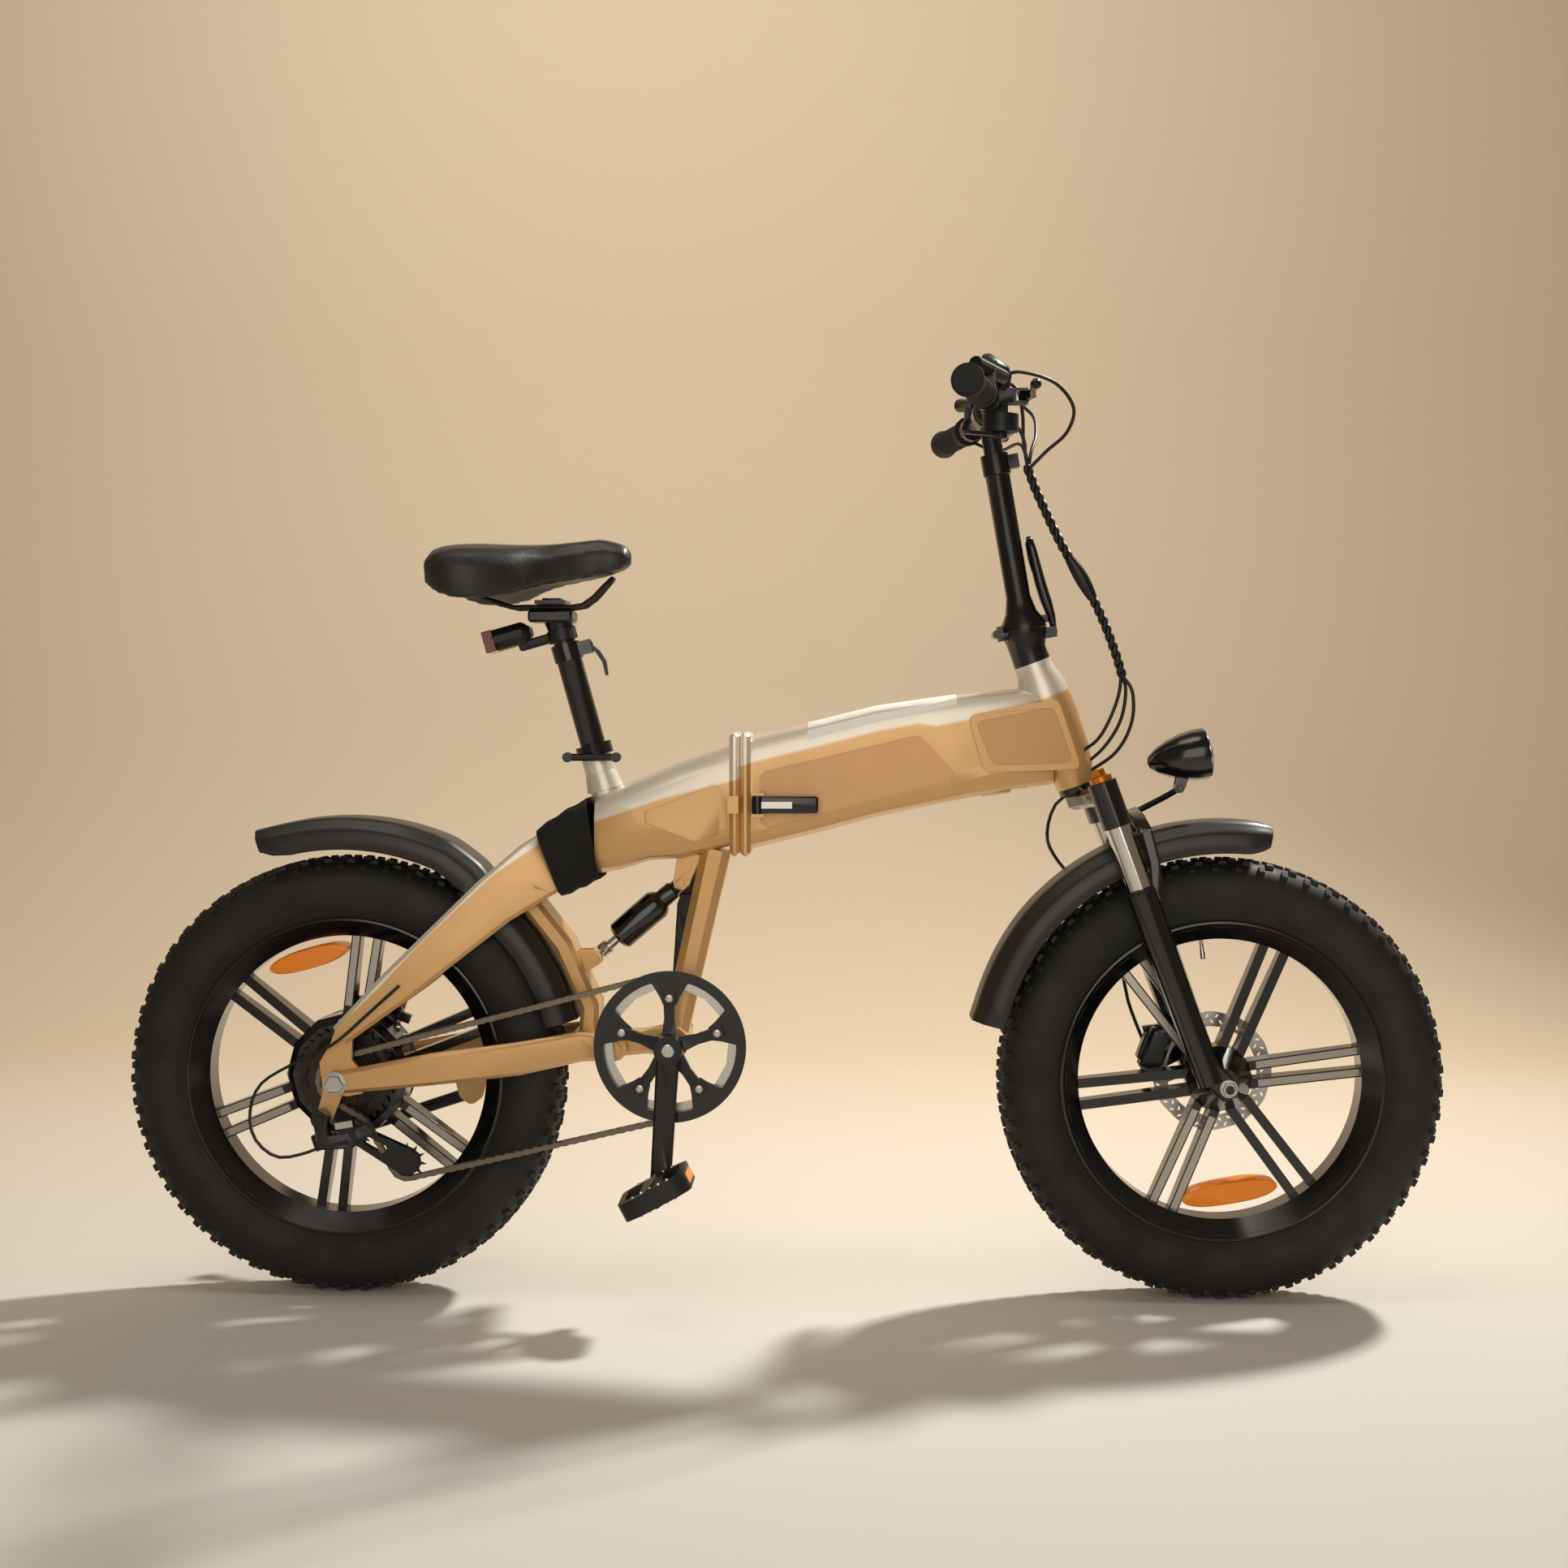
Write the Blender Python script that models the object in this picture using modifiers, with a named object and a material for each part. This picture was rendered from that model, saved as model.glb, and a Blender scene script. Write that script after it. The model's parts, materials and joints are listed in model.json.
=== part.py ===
"""Folding, fully sprung electric bicycle with wide 20 inch tyres.

Metres, +Z up, +X forward, +Y to the rider's left. The origin lies on the floor, midway
between the two axles. Every named object is one piece of the bicycle, in its place at rest.
"""

import math

import bmesh
import bpy
from mathutils import Matrix, Vector

# Wheels
WHEELBASE = 1.150
TYRE_RADIUS = 0.290
TYRE_HALF_WIDTH = 0.049
TYRE_STEPS = 28
FLANGE_RADIUS = 0.210
FLANGE_HEIGHT = 0.007
FLANGE_WALL = 0.0038
RIM_HALF_WIDTH = 0.040
RIM_DEPTH = 0.017
SPOKE_COUNT = 6
SPOKE_BAR_WIDTH = 0.0125
SPOKE_BAR_GAP = 0.0145
SPOKE_DEPTH_AT_HUB = 0.030
SPOKE_DEPTH_AT_RIM = 0.020
REAR_SPOKE_ANGLE = math.radians(22.0)
FRONT_SPOKE_ANGLE = math.radians(7.2)
AXLE_RADIUS = 0.006
FRONT_HUB_HALF_WIDTH = 0.052
FRONT_SPOKE_RING_RADIUS = 0.044
MOTOR_RADIUS = 0.082
MOTOR_RIGHT = -0.026
MOTOR_LEFT = 0.036
REAR_HUB_LEFT = 0.066
ROTOR_RADIUS = 0.080
ROTOR_BAND = 0.016
ROTOR_THICKNESS = 0.0018
ROTOR_ARMS = 6
ROTOR_HUB_RADIUS = 0.030
ROTOR_SEAT_RADIUS = 0.0175
CALIPER_HALF_WIDTH = 0.015
CALIPER_SHIFT = 0.002
REAR_CALIPER_ANGLE = math.radians(70)
FRONT_CALIPER_ANGLE = math.radians(160)
FRONT_ROTOR_Y = 0.044
REAR_ROTOR_Y = 0.050

# Drive train
CRANK_X = -0.142
CRANK_Z = 0.337
CRANK_LENGTH = 0.170
CRANK_LEAN = math.radians(3.4)
CHAIN_Y = -0.062
PITCH = 0.0127
CHAINRING_TEETH = 46
COG_TEETH = (14, 16, 18, 20, 22, 24, 32)
COG_SPACING = 0.0052
COG_THICKNESS = 0.0018
CHAINRING_THICKNESS = 0.0030
TOOTH_HEIGHT = 0.0032
PULLEY_TEETH = 11
PULLEY_THICKNESS = 0.0022
ROLLER_HALF_HEIGHT = 0.0038
WAIST_HALF_HEIGHT = 0.0028
CHAIN_INNER_HALF = 0.0026
CHAIN_OUTER_HALF = 0.0038
CHAIN_LINKS = 104
BOLT_CIRCLE_RADIUS = 0.065
SPIDER_ARMS = 5
GUARD_RADIUS = 0.099
GUARD_BAND = 0.013
GUARD_THICKNESS = 0.003
GUARD_Y = -0.069
SPINDLE_RADIUS = 0.0085
SHELL_RADIUS = 0.022
SHELL_HALF_WIDTH = 0.042
CRANK_ARM_Y = -0.092
CRANK_ARM_THICKNESS = 0.014
PEDAL_LENGTH = 0.092
PEDAL_WIDTH = 0.084
PEDAL_THICKNESS = 0.024
PEDAL_CLEARANCE = 0.006
PEDAL_TILT = math.radians(28)
UPPER_PULLEY_X = -0.558
UPPER_PULLEY_Z = 0.222
CAGE_LENGTH = 0.081
HANGER_X = -0.593
HANGER_Z = 0.245

# Rear suspension arm
PIVOT_X = -0.217
PIVOT_Z = 0.331
PIVOT_PIN_RADIUS = 0.007
PIVOT_BOSS_RADIUS = 0.017
STAY_HALF_SPACING = 0.078
STAY_HALF_WIDTH = 0.009
DROPOUT_INNER = 0.072
DROPOUT_THICKNESS = 0.008
YOKE_RADIUS = 0.337
YOKE_HALF_DEPTH = 0.0125
YOKE_HALF_WIDTH = 0.034
SHOCK_UPPER_X = -0.132
SHOCK_UPPER_Z = 0.545
SHOCK_LOWER_X = -0.245
SHOCK_LOWER_Z = 0.446
SHOCK_BODY_RADIUS = 0.020
SHOCK_EYE_RADIUS = 0.011
SHOCK_EYE_HALF_WIDTH = 0.010
SHOCK_SHAFT_RADIUS = 0.0065
SHOCK_PIN_RADIUS = 0.005
SHOCK_EAR_THICKNESS = 0.005

# Frame
BEAM_HALF_WIDTH = 0.046
BEAM_CORNER = 0.022
FOLD_X = -0.052
FOLD_Y = 0.061
FOLD_GAP = 0.0006
FLANGE_DEPTH = 0.0135
FOLD_FLANGE_BOTTOM = 0.583
FOLD_FLANGE_TOP = 0.744
FOLD_FLANGE_HALF_WIDTH = 0.051
KNUCKLE_RADIUS = 0.0085
KNUCKLE_PIN_RADIUS = 0.0045
LATCH_X = -0.028
LATCH_Y = -0.063
LATCH_Z = 0.651
LATCH_LENGTH = 0.078
LATCH_HALF_HEIGHT = 0.0115
BATTERY_SLOPE = math.radians(11.5)
BATTERY_HALF_WIDTH = 0.034
BATTERY_HALF_HEIGHT = 0.048
BATTERY_LENGTH = 0.275
BATTERY_CLEARANCE = 0.0003
BATTERY_START = 0.014
RECESS_DEPTH = 0.003
SEAT_AXIS_X = -0.2467
SEAT_AXIS_Z = 0.7185
SEAT_ANGLE = math.radians(15.5)
SEAT_TUBE_RADIUS = 0.0205

# Seat
POST_RADIUS = 0.01695
POST_INSERTION = 0.080
INNER_POST_RADIUS = 0.0148
SLIDE_CLEARANCE = 0.0003
POST_COLLAR_Z = 0.838
POST_COLLAR_HEIGHT = 0.022
RAIL_RADIUS = 0.0035
RAIL_HALF_SPACING = 0.022
RAIL_Z = 0.9080
SADDLE_SOCKETS = (
    (-0.412, 0.058, 0.9286, 0.9470),
    (-0.412, -0.058, 0.9286, 0.9470),
    (-0.219, 0.0, 0.9490, 0.9600),
)

# Steering
HEAD_TOP_X = 0.3297
HEAD_TOP_Z = 0.8344
HEAD_ANGLE = math.radians(20.2)
HEAD_LENGTH = 0.170
STEERER_RADIUS = 0.0143
LEG_OFFSET = 0.024
LEG_HALF_SPACING = 0.076
STANCHION_RADIUS = 0.016
LOWER_LEG_RADIUS = 0.020
FORK_TRAVEL = 0.045
LOWER_LEG_TOP = 0.152
BRACE_TOP_DOWN = 0.060
BRACE_FORWARD = 0.056
BRACE_HALF_DEPTH = 0.0065
STEM_ANGLE = math.radians(10.0)
STEM_HINGE_X = 0.3185
STEM_HINGE_Z = 0.878
STEM_PIN_OFFSET = 0.0365
STEM_PIN_RADIUS = 0.0026
STEM_KNUCKLE_RADIUS = 0.0058
STEM_RADIUS = 0.016
STEM_LENGTH = 0.232
STEM_LATCH_UP = -0.0090
STEM_LATCH_FORWARD = 0.0370
BAR_POST_RADIUS = 0.0127
BAR_X = 0.2690
BAR_Z = 1.158
BAR_HALF_WIDTH = 0.310
BAR_SWEEP = 0.043
BAR_RADIUS = 0.0111
BAR_CENTRE_RADIUS = 0.0135
BAR_STEP = 0.028
GRIP_RADIUS = 0.0165
GRIP_LENGTH = 0.118
LEVER_LENGTH = 0.105
MASTER_INBOARD = 0.038
SHIFTER_INBOARD = 0.042
MASTER_Y = BAR_HALF_WIDTH - GRIP_LENGTH - MASTER_INBOARD
SHIFTER_Y = MASTER_Y - SHIFTER_INBOARD

# Mudguards
MUDGUARD_HALF_WIDTH = 0.052
MUDGUARD_THICKNESS = 0.0025
REAR_PAD_ANGLE = math.radians(27.0)
REAR_PAD_TOP = 0.3203
FRONT_TAB_FOOT = 0.0890
FRONT_TAB_DROP = 0.0016

# General
GAP = 0.0003
FLAT_ANGLE = math.radians(0.5)
CABLE_RADIUS = 0.0024

# Facets round a circle
LARGE_SIDES = 18
WIDE_SIDES = 12
ROUND_SIDES = 10
SMALL_SIDES = 6

AXLE_Z = TYRE_RADIUS
REAR_AXLE = Vector((-WHEELBASE / 2, 0, AXLE_Z))
FRONT_AXLE = Vector((WHEELBASE / 2, 0, AXLE_Z))
LAMP_PIVOT = Vector((0.522, 0, 0.671))
LAMP_FRONT = Vector((0.5550, 0, 0.7160))
LAMP_WAY = Vector((0.987, 0, 0.160)).normalized()
CRANK = Vector((CRANK_X, 0, CRANK_Z))
PIVOT = Vector((PIVOT_X, 0, PIVOT_Z))
SHOCK_UPPER = Vector((SHOCK_UPPER_X, 0, SHOCK_UPPER_Z))
SHOCK_LOWER = Vector((SHOCK_LOWER_X, 0, SHOCK_LOWER_Z))
LEFTWARD = Vector((0, 1, 0))
FORWARD = Vector((1, 0, 0))
UPWARD = Vector((0, 0, 1))
HEAD_DOWN = Vector((math.sin(HEAD_ANGLE), 0, -math.cos(HEAD_ANGLE)))
HEAD_FORWARD = Vector((math.cos(HEAD_ANGLE), 0, math.sin(HEAD_ANGLE)))
HEAD_TOP = Vector((HEAD_TOP_X, 0, HEAD_TOP_Z))
HEAD_BOTTOM = HEAD_TOP + HEAD_DOWN * HEAD_LENGTH
STEM_UP = Vector((-math.sin(STEM_ANGLE), 0, math.cos(STEM_ANGLE)))
STEM_FORWARD = Vector((math.cos(STEM_ANGLE), 0, math.sin(STEM_ANGLE)))
STEM_HINGE = Vector((STEM_HINGE_X, 0, STEM_HINGE_Z))
STEM_PIN = STEM_HINGE - STEM_FORWARD * STEM_PIN_OFFSET
SEAT_UP = Vector((-math.sin(SEAT_ANGLE), 0, math.cos(SEAT_ANGLE)))
SEAT_FORWARD = Vector((math.cos(SEAT_ANGLE), 0, math.sin(SEAT_ANGLE)))
SEAT_AXIS = Vector((SEAT_AXIS_X, 0, SEAT_AXIS_Z))
BATTERY_FORWARD = Vector((math.cos(BATTERY_SLOPE), 0, math.sin(BATTERY_SLOPE)))
BATTERY_UP = Vector((-math.sin(BATTERY_SLOPE), 0, math.cos(BATTERY_SLOPE)))

PIECES = bpy.data.collections.new("folding_electric_bicycle")
HELPERS = bpy.data.collections.new("cutters")


# Scene and materials


def clear_scene():
    for obj in list(bpy.data.objects):
        bpy.data.objects.remove(obj, do_unlink=True)
    bpy.context.scene.collection.children.link(PIECES)
    bpy.context.scene.collection.children.link(HELPERS)


def material(name, colour, roughness, metallic):
    found = bpy.data.materials.get(name)
    if found:
        return found
    made = bpy.data.materials.new(name)
    made.use_nodes = True
    shader = made.node_tree.nodes["Principled BSDF"]
    shader.inputs["Base Color"].default_value = (*colour, 1.0)
    shader.inputs["Roughness"].default_value = roughness
    shader.inputs["Metallic"].default_value = metallic
    made.diffuse_color = (*colour, 1.0)
    return made


def gold_paint():
    return material("gold_paint", (0.56, 0.32, 0.13), 0.35, 0.6)


def black_metal():
    return material("black_metal", (0.02, 0.02, 0.02), 0.35, 0.5)


def black_plastic():
    return material("black_plastic", (0.03, 0.03, 0.03), 0.5, 0.0)


def rubber():
    return material("rubber", (0.025, 0.024, 0.022), 0.8, 0.0)


def bright_steel():
    return material("bright_steel", (0.6, 0.58, 0.54), 0.25, 1.0)


def dark_chain():
    return material("dark_chain", (0.09, 0.085, 0.08), 0.4, 0.9)


# Shape tools


def link_helper(obj):
    HELPERS.objects.link(obj)
    obj.hide_render = True
    obj.display_type = "WIRE"
    return obj


def helper_from(bm, name):
    bmesh.ops.recalc_face_normals(bm, faces=bm.faces)
    mesh = bpy.data.meshes.new(name)
    bm.to_mesh(mesh)
    bm.free()
    return link_helper(bpy.data.objects.new(name, mesh))


def baked(obj):
    """A plain mesh in world space, with the object's modifiers or bevel applied and its caps welded."""
    bpy.context.view_layer.update()
    graph = bpy.context.evaluated_depsgraph_get()
    mesh = bpy.data.meshes.new_from_object(obj.evaluated_get(graph))
    mesh.transform(obj.matrix_world)
    bm = bmesh.new()
    bm.from_mesh(mesh)
    bmesh.ops.remove_doubles(bm, verts=bm.verts, dist=0.00002)
    bmesh.ops.dissolve_limit(bm, angle_limit=FLAT_ANGLE, verts=bm.verts, edges=bm.edges)
    name = obj.name
    bpy.data.objects.remove(obj, do_unlink=True)
    return helper_from(bm, name)


def frame_matrix(origin, x_axis, z_axis):
    """The matrix that puts local X and Z along two square directions."""
    x = x_axis.normalized()
    z = z_axis.normalized()
    y = z.cross(x)
    return Matrix.Translation(origin) @ Matrix((x, y, z)).transposed().to_4x4()


def any_across(direction):
    side = LEFTWARD if abs(direction.normalized().dot(LEFTWARD)) < 0.9 else FORWARD
    return side.cross(direction).normalized()


def block(name, size, centre, x_axis=FORWARD, z_axis=UPWARD, bevel=0.0, segments=2):
    """A box with its local X and Z along two directions, and rounded edges."""
    bm = bmesh.new()
    bmesh.ops.create_cube(bm, size=1.0)
    bmesh.ops.scale(bm, vec=Vector(size), verts=bm.verts)
    obj = helper_from(bm, name)
    obj.matrix_world = frame_matrix(Vector(centre), x_axis, z_axis)
    if bevel:
        rounding = obj.modifiers.new("rounding", "BEVEL")
        rounding.width = bevel
        rounding.segments = segments
    return baked(obj)


def rod(name, start, end, radius, end_radius=None, sides=ROUND_SIDES):
    """A round bar, or a cone, between two points."""
    start = Vector(start)
    along = Vector(end) - start
    bm = bmesh.new()
    bmesh.ops.create_cone(
        bm,
        cap_ends=True,
        segments=sides,
        radius1=radius,
        radius2=radius if end_radius is None else end_radius,
        depth=along.length,
    )
    obj = helper_from(bm, name)
    middle = start + along / 2
    obj.matrix_world = frame_matrix(middle, any_across(along), along)
    return baked(obj)


def across_rod(name, centre, radius, right, left, sides=ROUND_SIDES):
    """A round bar along Y, from right to left."""
    return rod(name, (centre[0], right, centre[2]), (centre[0], left, centre[2]), radius, sides=sides)


def running_bore(radius, sides):
    """The corner radius of a faceted bore in which a shaft of this radius turns freely."""
    return (radius + GAP) / math.cos(math.pi / sides)


def ball(name, centre, radius):
    bm = bmesh.new()
    bmesh.ops.create_uvsphere(bm, u_segments=8, v_segments=5, radius=radius)
    bmesh.ops.translate(bm, verts=bm.verts, vec=Vector(centre))
    return helper_from(bm, name)


def turned(name, profile, origin, axis, steps=WIDE_SIDES, closed=False, start=0.0):
    """A profile of (radius, height) points turned about an axis."""
    bm = bmesh.new()
    verts = [bm.verts.new((radius, 0, height)) for radius, height in profile]
    for first, second in zip(verts, verts[1:]):
        bm.edges.new((first, second))
    if closed:
        bm.edges.new((verts[-1], verts[0]))
    mesh = bpy.data.meshes.new(name)
    bm.to_mesh(mesh)
    bm.free()
    obj = link_helper(bpy.data.objects.new(name, mesh))
    screw = obj.modifiers.new("turn", "SCREW")
    screw.axis = "Z"
    screw.steps = steps
    screw.render_steps = steps
    screw.use_merge_vertices = True
    screw.merge_threshold = 0.00005
    turn = Matrix.Rotation(start, 4, "Z")
    obj.matrix_world = frame_matrix(Vector(origin), any_across(axis), axis) @ turn
    return baked(obj)


def smooth_route(route, spacing):
    """Evenly spread points of a smooth curve through the route's points."""
    points = [Vector(point) for point in route]
    ends = [points[0] * 2 - points[1], *points, points[-1] * 2 - points[-2]]
    dense = []
    for a, b, c, d in zip(ends, ends[1:], ends[2:], ends[3:]):
        pieces = 12
        for step in range(pieces):
            t = step / pieces
            bend = (a * -1 + b * 3 - c * 3 + d) * t**3
            bow = (a * 2 - b * 5 + c * 4 - d) * t**2
            dense.append((b * 2 + (c - a) * t + bow + bend) / 2)
    dense.append(points[-1])
    lengths = [0.0]
    for first, second in zip(dense, dense[1:]):
        lengths.append(lengths[-1] + (second - first).length)
    count = max(2, round(lengths[-1] / spacing))
    found = []
    at = 0
    for step in range(count + 1):
        wanted = lengths[-1] * step / count
        while at < len(dense) - 2 and lengths[at + 1] < wanted:
            at += 1
        share = (wanted - lengths[at]) / (lengths[at + 1] - lengths[at])
        found.append(dense[at].lerp(dense[at + 1], share))
    return found


def tube(name, points, radius, resolution=2, radii=None):
    """A curve with a round bevel and filled caps, made a mesh."""
    curve = bpy.data.curves.new(name, "CURVE")
    curve.dimensions = "3D"
    curve.bevel_depth = radius
    curve.bevel_resolution = resolution
    curve.use_fill_caps = True
    spline = curve.splines.new("POLY")
    spline.points.add(len(points) - 1)
    for number, (point, place) in enumerate(zip(spline.points, points)):
        point.co = (*place, 1.0)
        point.radius = radii[number] if radii else 1.0
    return baked(link_helper(bpy.data.objects.new(name, curve)))


def plate(name, outlines, thickness, y, origin=(0, 0)):
    """Flat outlines of (x, z) points, the first outside and the others holes, given a thickness along Y."""
    curve = bpy.data.curves.new(name, "CURVE")
    curve.dimensions = "2D"
    curve.fill_mode = "BOTH"
    curve.extrude = thickness / 2
    for outline in outlines:
        spline = curve.splines.new("POLY")
        spline.use_cyclic_u = True
        spline.points.add(len(outline) - 1)
        for point, (x, z) in zip(spline.points, outline):
            point.co = (x, z, 0.0, 1.0)
    obj = link_helper(bpy.data.objects.new(name, curve))
    obj.matrix_world = frame_matrix(Vector((origin[0], y, origin[1])), FORWARD, -LEFTWARD)
    return baked(obj)


def rounded(points, radius, steps=3):
    """A polygon's outline with each corner made an arc."""
    outline = []
    count = len(points)
    for number in range(count):
        corner = Vector(points[number])
        before = (Vector(points[number - 1]) - corner).normalized()
        after = (Vector(points[(number + 1) % count]) - corner).normalized()
        half = before.angle(after) / 2
        reach = radius / math.tan(half)
        centre = corner + (before + after).normalized() * radius / math.sin(half)
        first = corner + before * reach - centre
        sweep = (corner + after * reach - centre).angle_signed(first)
        for step in range(steps + 1):
            turn = Matrix.Rotation(sweep * step / steps, 2)
            outline.append(tuple(centre + turn @ first))
    return outline


def circle(radius, count, centre=(0, 0), start=0.0):
    return [
        (
            centre[0] + radius * math.cos(start + math.tau * step / count),
            centre[1] + radius * math.sin(start + math.tau * step / count),
        )
        for step in range(count)
    ]


def ring_of(centre, across, up, half_across, half_up, corner, steps=2):
    """A rounded rectangle as a ring of points in space."""
    outline = rounded(
        [
            (-half_across, -half_up),
            (half_across, -half_up),
            (half_across, half_up),
            (-half_across, half_up),
        ],
        min(corner, half_across * 0.98, half_up * 0.98),
        steps,
    )
    return [Vector(centre) + across * a + up * b for a, b in outline]


def square_ring(centre, across, up, half_across, half_up):
    corners = ((-1, -1), (1, -1), (1, 1), (-1, 1))
    return [Vector(centre) + across * half_across * a + up * half_up * b for a, b in corners]


def round_ring(centre, across, up, radius, count=WIDE_SIDES):
    return [Vector(centre) + across * a + up * b for a, b in circle(radius, count)]


def loft(name, rings):
    """A closed body through unlike rings of equally many points."""
    bm = bmesh.new()
    rows = [[bm.verts.new(point) for point in ring] for ring in rings]
    count = len(rows[0])
    for low, high in zip(rows, rows[1:]):
        for number in range(count):
            following = (number + 1) % count
            bm.faces.new((low[number], low[following], high[following], high[number]))
    bm.faces.new(list(reversed(rows[0])))
    bm.faces.new(rows[-1])
    return helper_from(bm, name)


def bar_loft(name, stations, corner=0.006, steps=2):
    """A rectangular tube's outside through stations of (centre, half width in Y, half depth)."""
    rings = []
    for number, (centre, half_width, half_depth) in enumerate(stations):
        before = Vector(stations[max(0, number - 1)][0])
        after = Vector(stations[min(len(stations) - 1, number + 1)][0])
        along = (after - before).normalized()
        up = LEFTWARD.cross(along).normalized()
        across = along.cross(up)
        rings.append(ring_of(centre, across, up, half_width, half_depth, corner, steps))
    return loft(name, rings)


def finish(name, pieces, look, holes=(), bevel=0.0):
    """One named piece of the bicycle: the union of shapes, less the holes."""
    first = pieces[0]
    HELPERS.objects.unlink(first)
    PIECES.objects.link(first)
    first.name = name
    first.data.name = name
    first.hide_render = False
    first.display_type = "TEXTURED"
    for number, other in enumerate(pieces[1:]):
        add_boolean(first, other, "UNION", f"join_{number}")
    for number, cutter in enumerate(holes):
        add_boolean(first, cutter, "DIFFERENCE", f"cut_{number}")
    if bevel:
        rounding = first.modifiers.new("rounding", "BEVEL")
        rounding.width = bevel
        rounding.segments = 1
    flatten = first.modifiers.new("flatten", "DECIMATE")
    flatten.decimate_type = "DISSOLVE"
    flatten.angle_limit = FLAT_ANGLE
    first.data.materials.clear()
    first.data.materials.append(look)
    first.data.shade_smooth()
    first.data.set_sharp_from_angle(angle=math.radians(35))
    return first


def add_boolean(obj, other, operation, name):
    boolean = obj.modifiers.new(name, "BOOLEAN")
    boolean.operation = operation
    boolean.solver = "EXACT"
    boolean.object = other


def joint_empty(name, place, direction=LEFTWARD):
    """An empty on a joint's axis, with its Z along the axis."""
    empty = bpy.data.objects.new(name, None)
    empty.empty_display_size = 0.03
    PIECES.objects.link(empty)
    empty.matrix_world = frame_matrix(Vector(place), any_across(direction), direction)
    return empty


def hang(empty, *children):
    """Parents pieces to a joint's empty without moving them."""
    for child in children:
        child.parent = empty
        child.matrix_parent_inverse = empty.matrix_world.inverted()


def on_seat_axis(height, forward=0.0):
    """A point on the seat post's axis at a height, and so far in front of it."""
    along = (height - SEAT_AXIS_Z) / SEAT_UP.z
    return SEAT_AXIS + SEAT_UP * along + SEAT_FORWARD * forward


def on_head(distance, forward=0.0, y=0.0):
    """A point below the head tube's lower end, along the steering axis."""
    return HEAD_BOTTOM + HEAD_DOWN * distance + HEAD_FORWARD * forward + LEFTWARD * y


def on_stem(distance, forward=0.0, y=0.0):
    """A point above the stem's fold, along the stem."""
    return STEM_HINGE + STEM_UP * distance + STEM_FORWARD * forward + LEFTWARD * y


STEM_LATCH_PIN = on_stem(STEM_LATCH_UP, STEM_LATCH_FORWARD)


# Wheels


def tyre(name, axle):
    flat = TYRE_RADIUS / math.cos(math.pi / TYRE_STEPS)
    bead = FLANGE_RADIUS - FLANGE_HEIGHT + GAP
    bead_half = RIM_HALF_WIDTH - FLANGE_WALL - GAP * 2
    half = [
        (flat, 0.018),
        (flat - 0.022, TYRE_HALF_WIDTH),
        (FLANGE_RADIUS + 0.0025, RIM_HALF_WIDTH),
        (FLANGE_RADIUS + GAP * 2, bead_half),
        (bead, bead_half),
    ]
    profile = [(radius, -y) for radius, y in reversed(half)] + half
    half_step = math.pi / TYRE_STEPS
    shape = turned(name, profile, axle, LEFTWARD, TYRE_STEPS, closed=True, start=half_step)
    return finish(name, [shape], rubber())


def rim_profile():
    bead = FLANGE_RADIUS - FLANGE_HEIGHT
    inside = FLANGE_RADIUS - FLANGE_HEIGHT - RIM_DEPTH
    half = [
        (bead, RIM_HALF_WIDTH - FLANGE_WALL),
        (FLANGE_RADIUS, RIM_HALF_WIDTH - FLANGE_WALL),
        (FLANGE_RADIUS - 0.002, RIM_HALF_WIDTH),
        (inside, 0.018),
    ]
    return half + [(radius, -y) for radius, y in reversed(half)]


def spoke_bar(name, axle, angle, side, inner, outer):
    """One of a spoke's two bars, deeper at the hub than at the rim."""
    along = Vector((math.cos(angle), 0, math.sin(angle)))
    across = along.cross(LEFTWARD)
    offset = (SPOKE_BAR_WIDTH + SPOKE_BAR_GAP) / 2 * side
    rings = []
    for radius, depth, spread in (
        (inner, SPOKE_DEPTH_AT_HUB, 0.88),
        (outer, SPOKE_DEPTH_AT_RIM, 1.08),
    ):
        centre = axle + along * radius + across * offset * spread
        rings.append(square_ring(centre, across, LEFTWARD, SPOKE_BAR_WIDTH / 2, depth / 2))
    return loft(name, rings)


def cast_wheel(name, axle, first_angle, hub_profile, spoke_root):
    hub = turned(name + "_hub", hub_profile, axle, LEFTWARD, WIDE_SIDES)
    half_step = math.pi / TYRE_STEPS
    rim = turned(name + "_rim", rim_profile(), axle, LEFTWARD, TYRE_STEPS, closed=True, start=half_step)
    outer = FLANGE_RADIUS - FLANGE_HEIGHT - RIM_DEPTH / 2
    bars = [
        spoke_bar(
            f"{name}_bar_{n}_{side}",
            axle,
            first_angle + n * math.tau / SPOKE_COUNT,
            side,
            spoke_root,
            outer,
        )
        for n in range(SPOKE_COUNT)
        for side in (-1, 1)
    ]
    bore = across_rod(name + "_bore", axle, running_bore(AXLE_RADIUS, ROUND_SIDES), -0.12, 0.12)
    return finish(name, [hub, rim, *bars], black_metal(), [bore])


def front_wheel():
    half = FRONT_HUB_HALF_WIDTH
    profile = [
        (0, half),
        (ROTOR_SEAT_RADIUS, half),
        (ROTOR_SEAT_RADIUS, FRONT_ROTOR_Y - ROTOR_THICKNESS / 2 - GAP),
        (0.0300, FRONT_ROTOR_Y - ROTOR_THICKNESS / 2 - GAP),
        (FRONT_SPOKE_RING_RADIUS, 0.014),
        (FRONT_SPOKE_RING_RADIUS, -0.014),
        (0.020, -half),
        (0, -half),
    ]
    return cast_wheel("front_wheel", FRONT_AXLE, FRONT_SPOKE_ANGLE, profile, 0.036)


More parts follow.
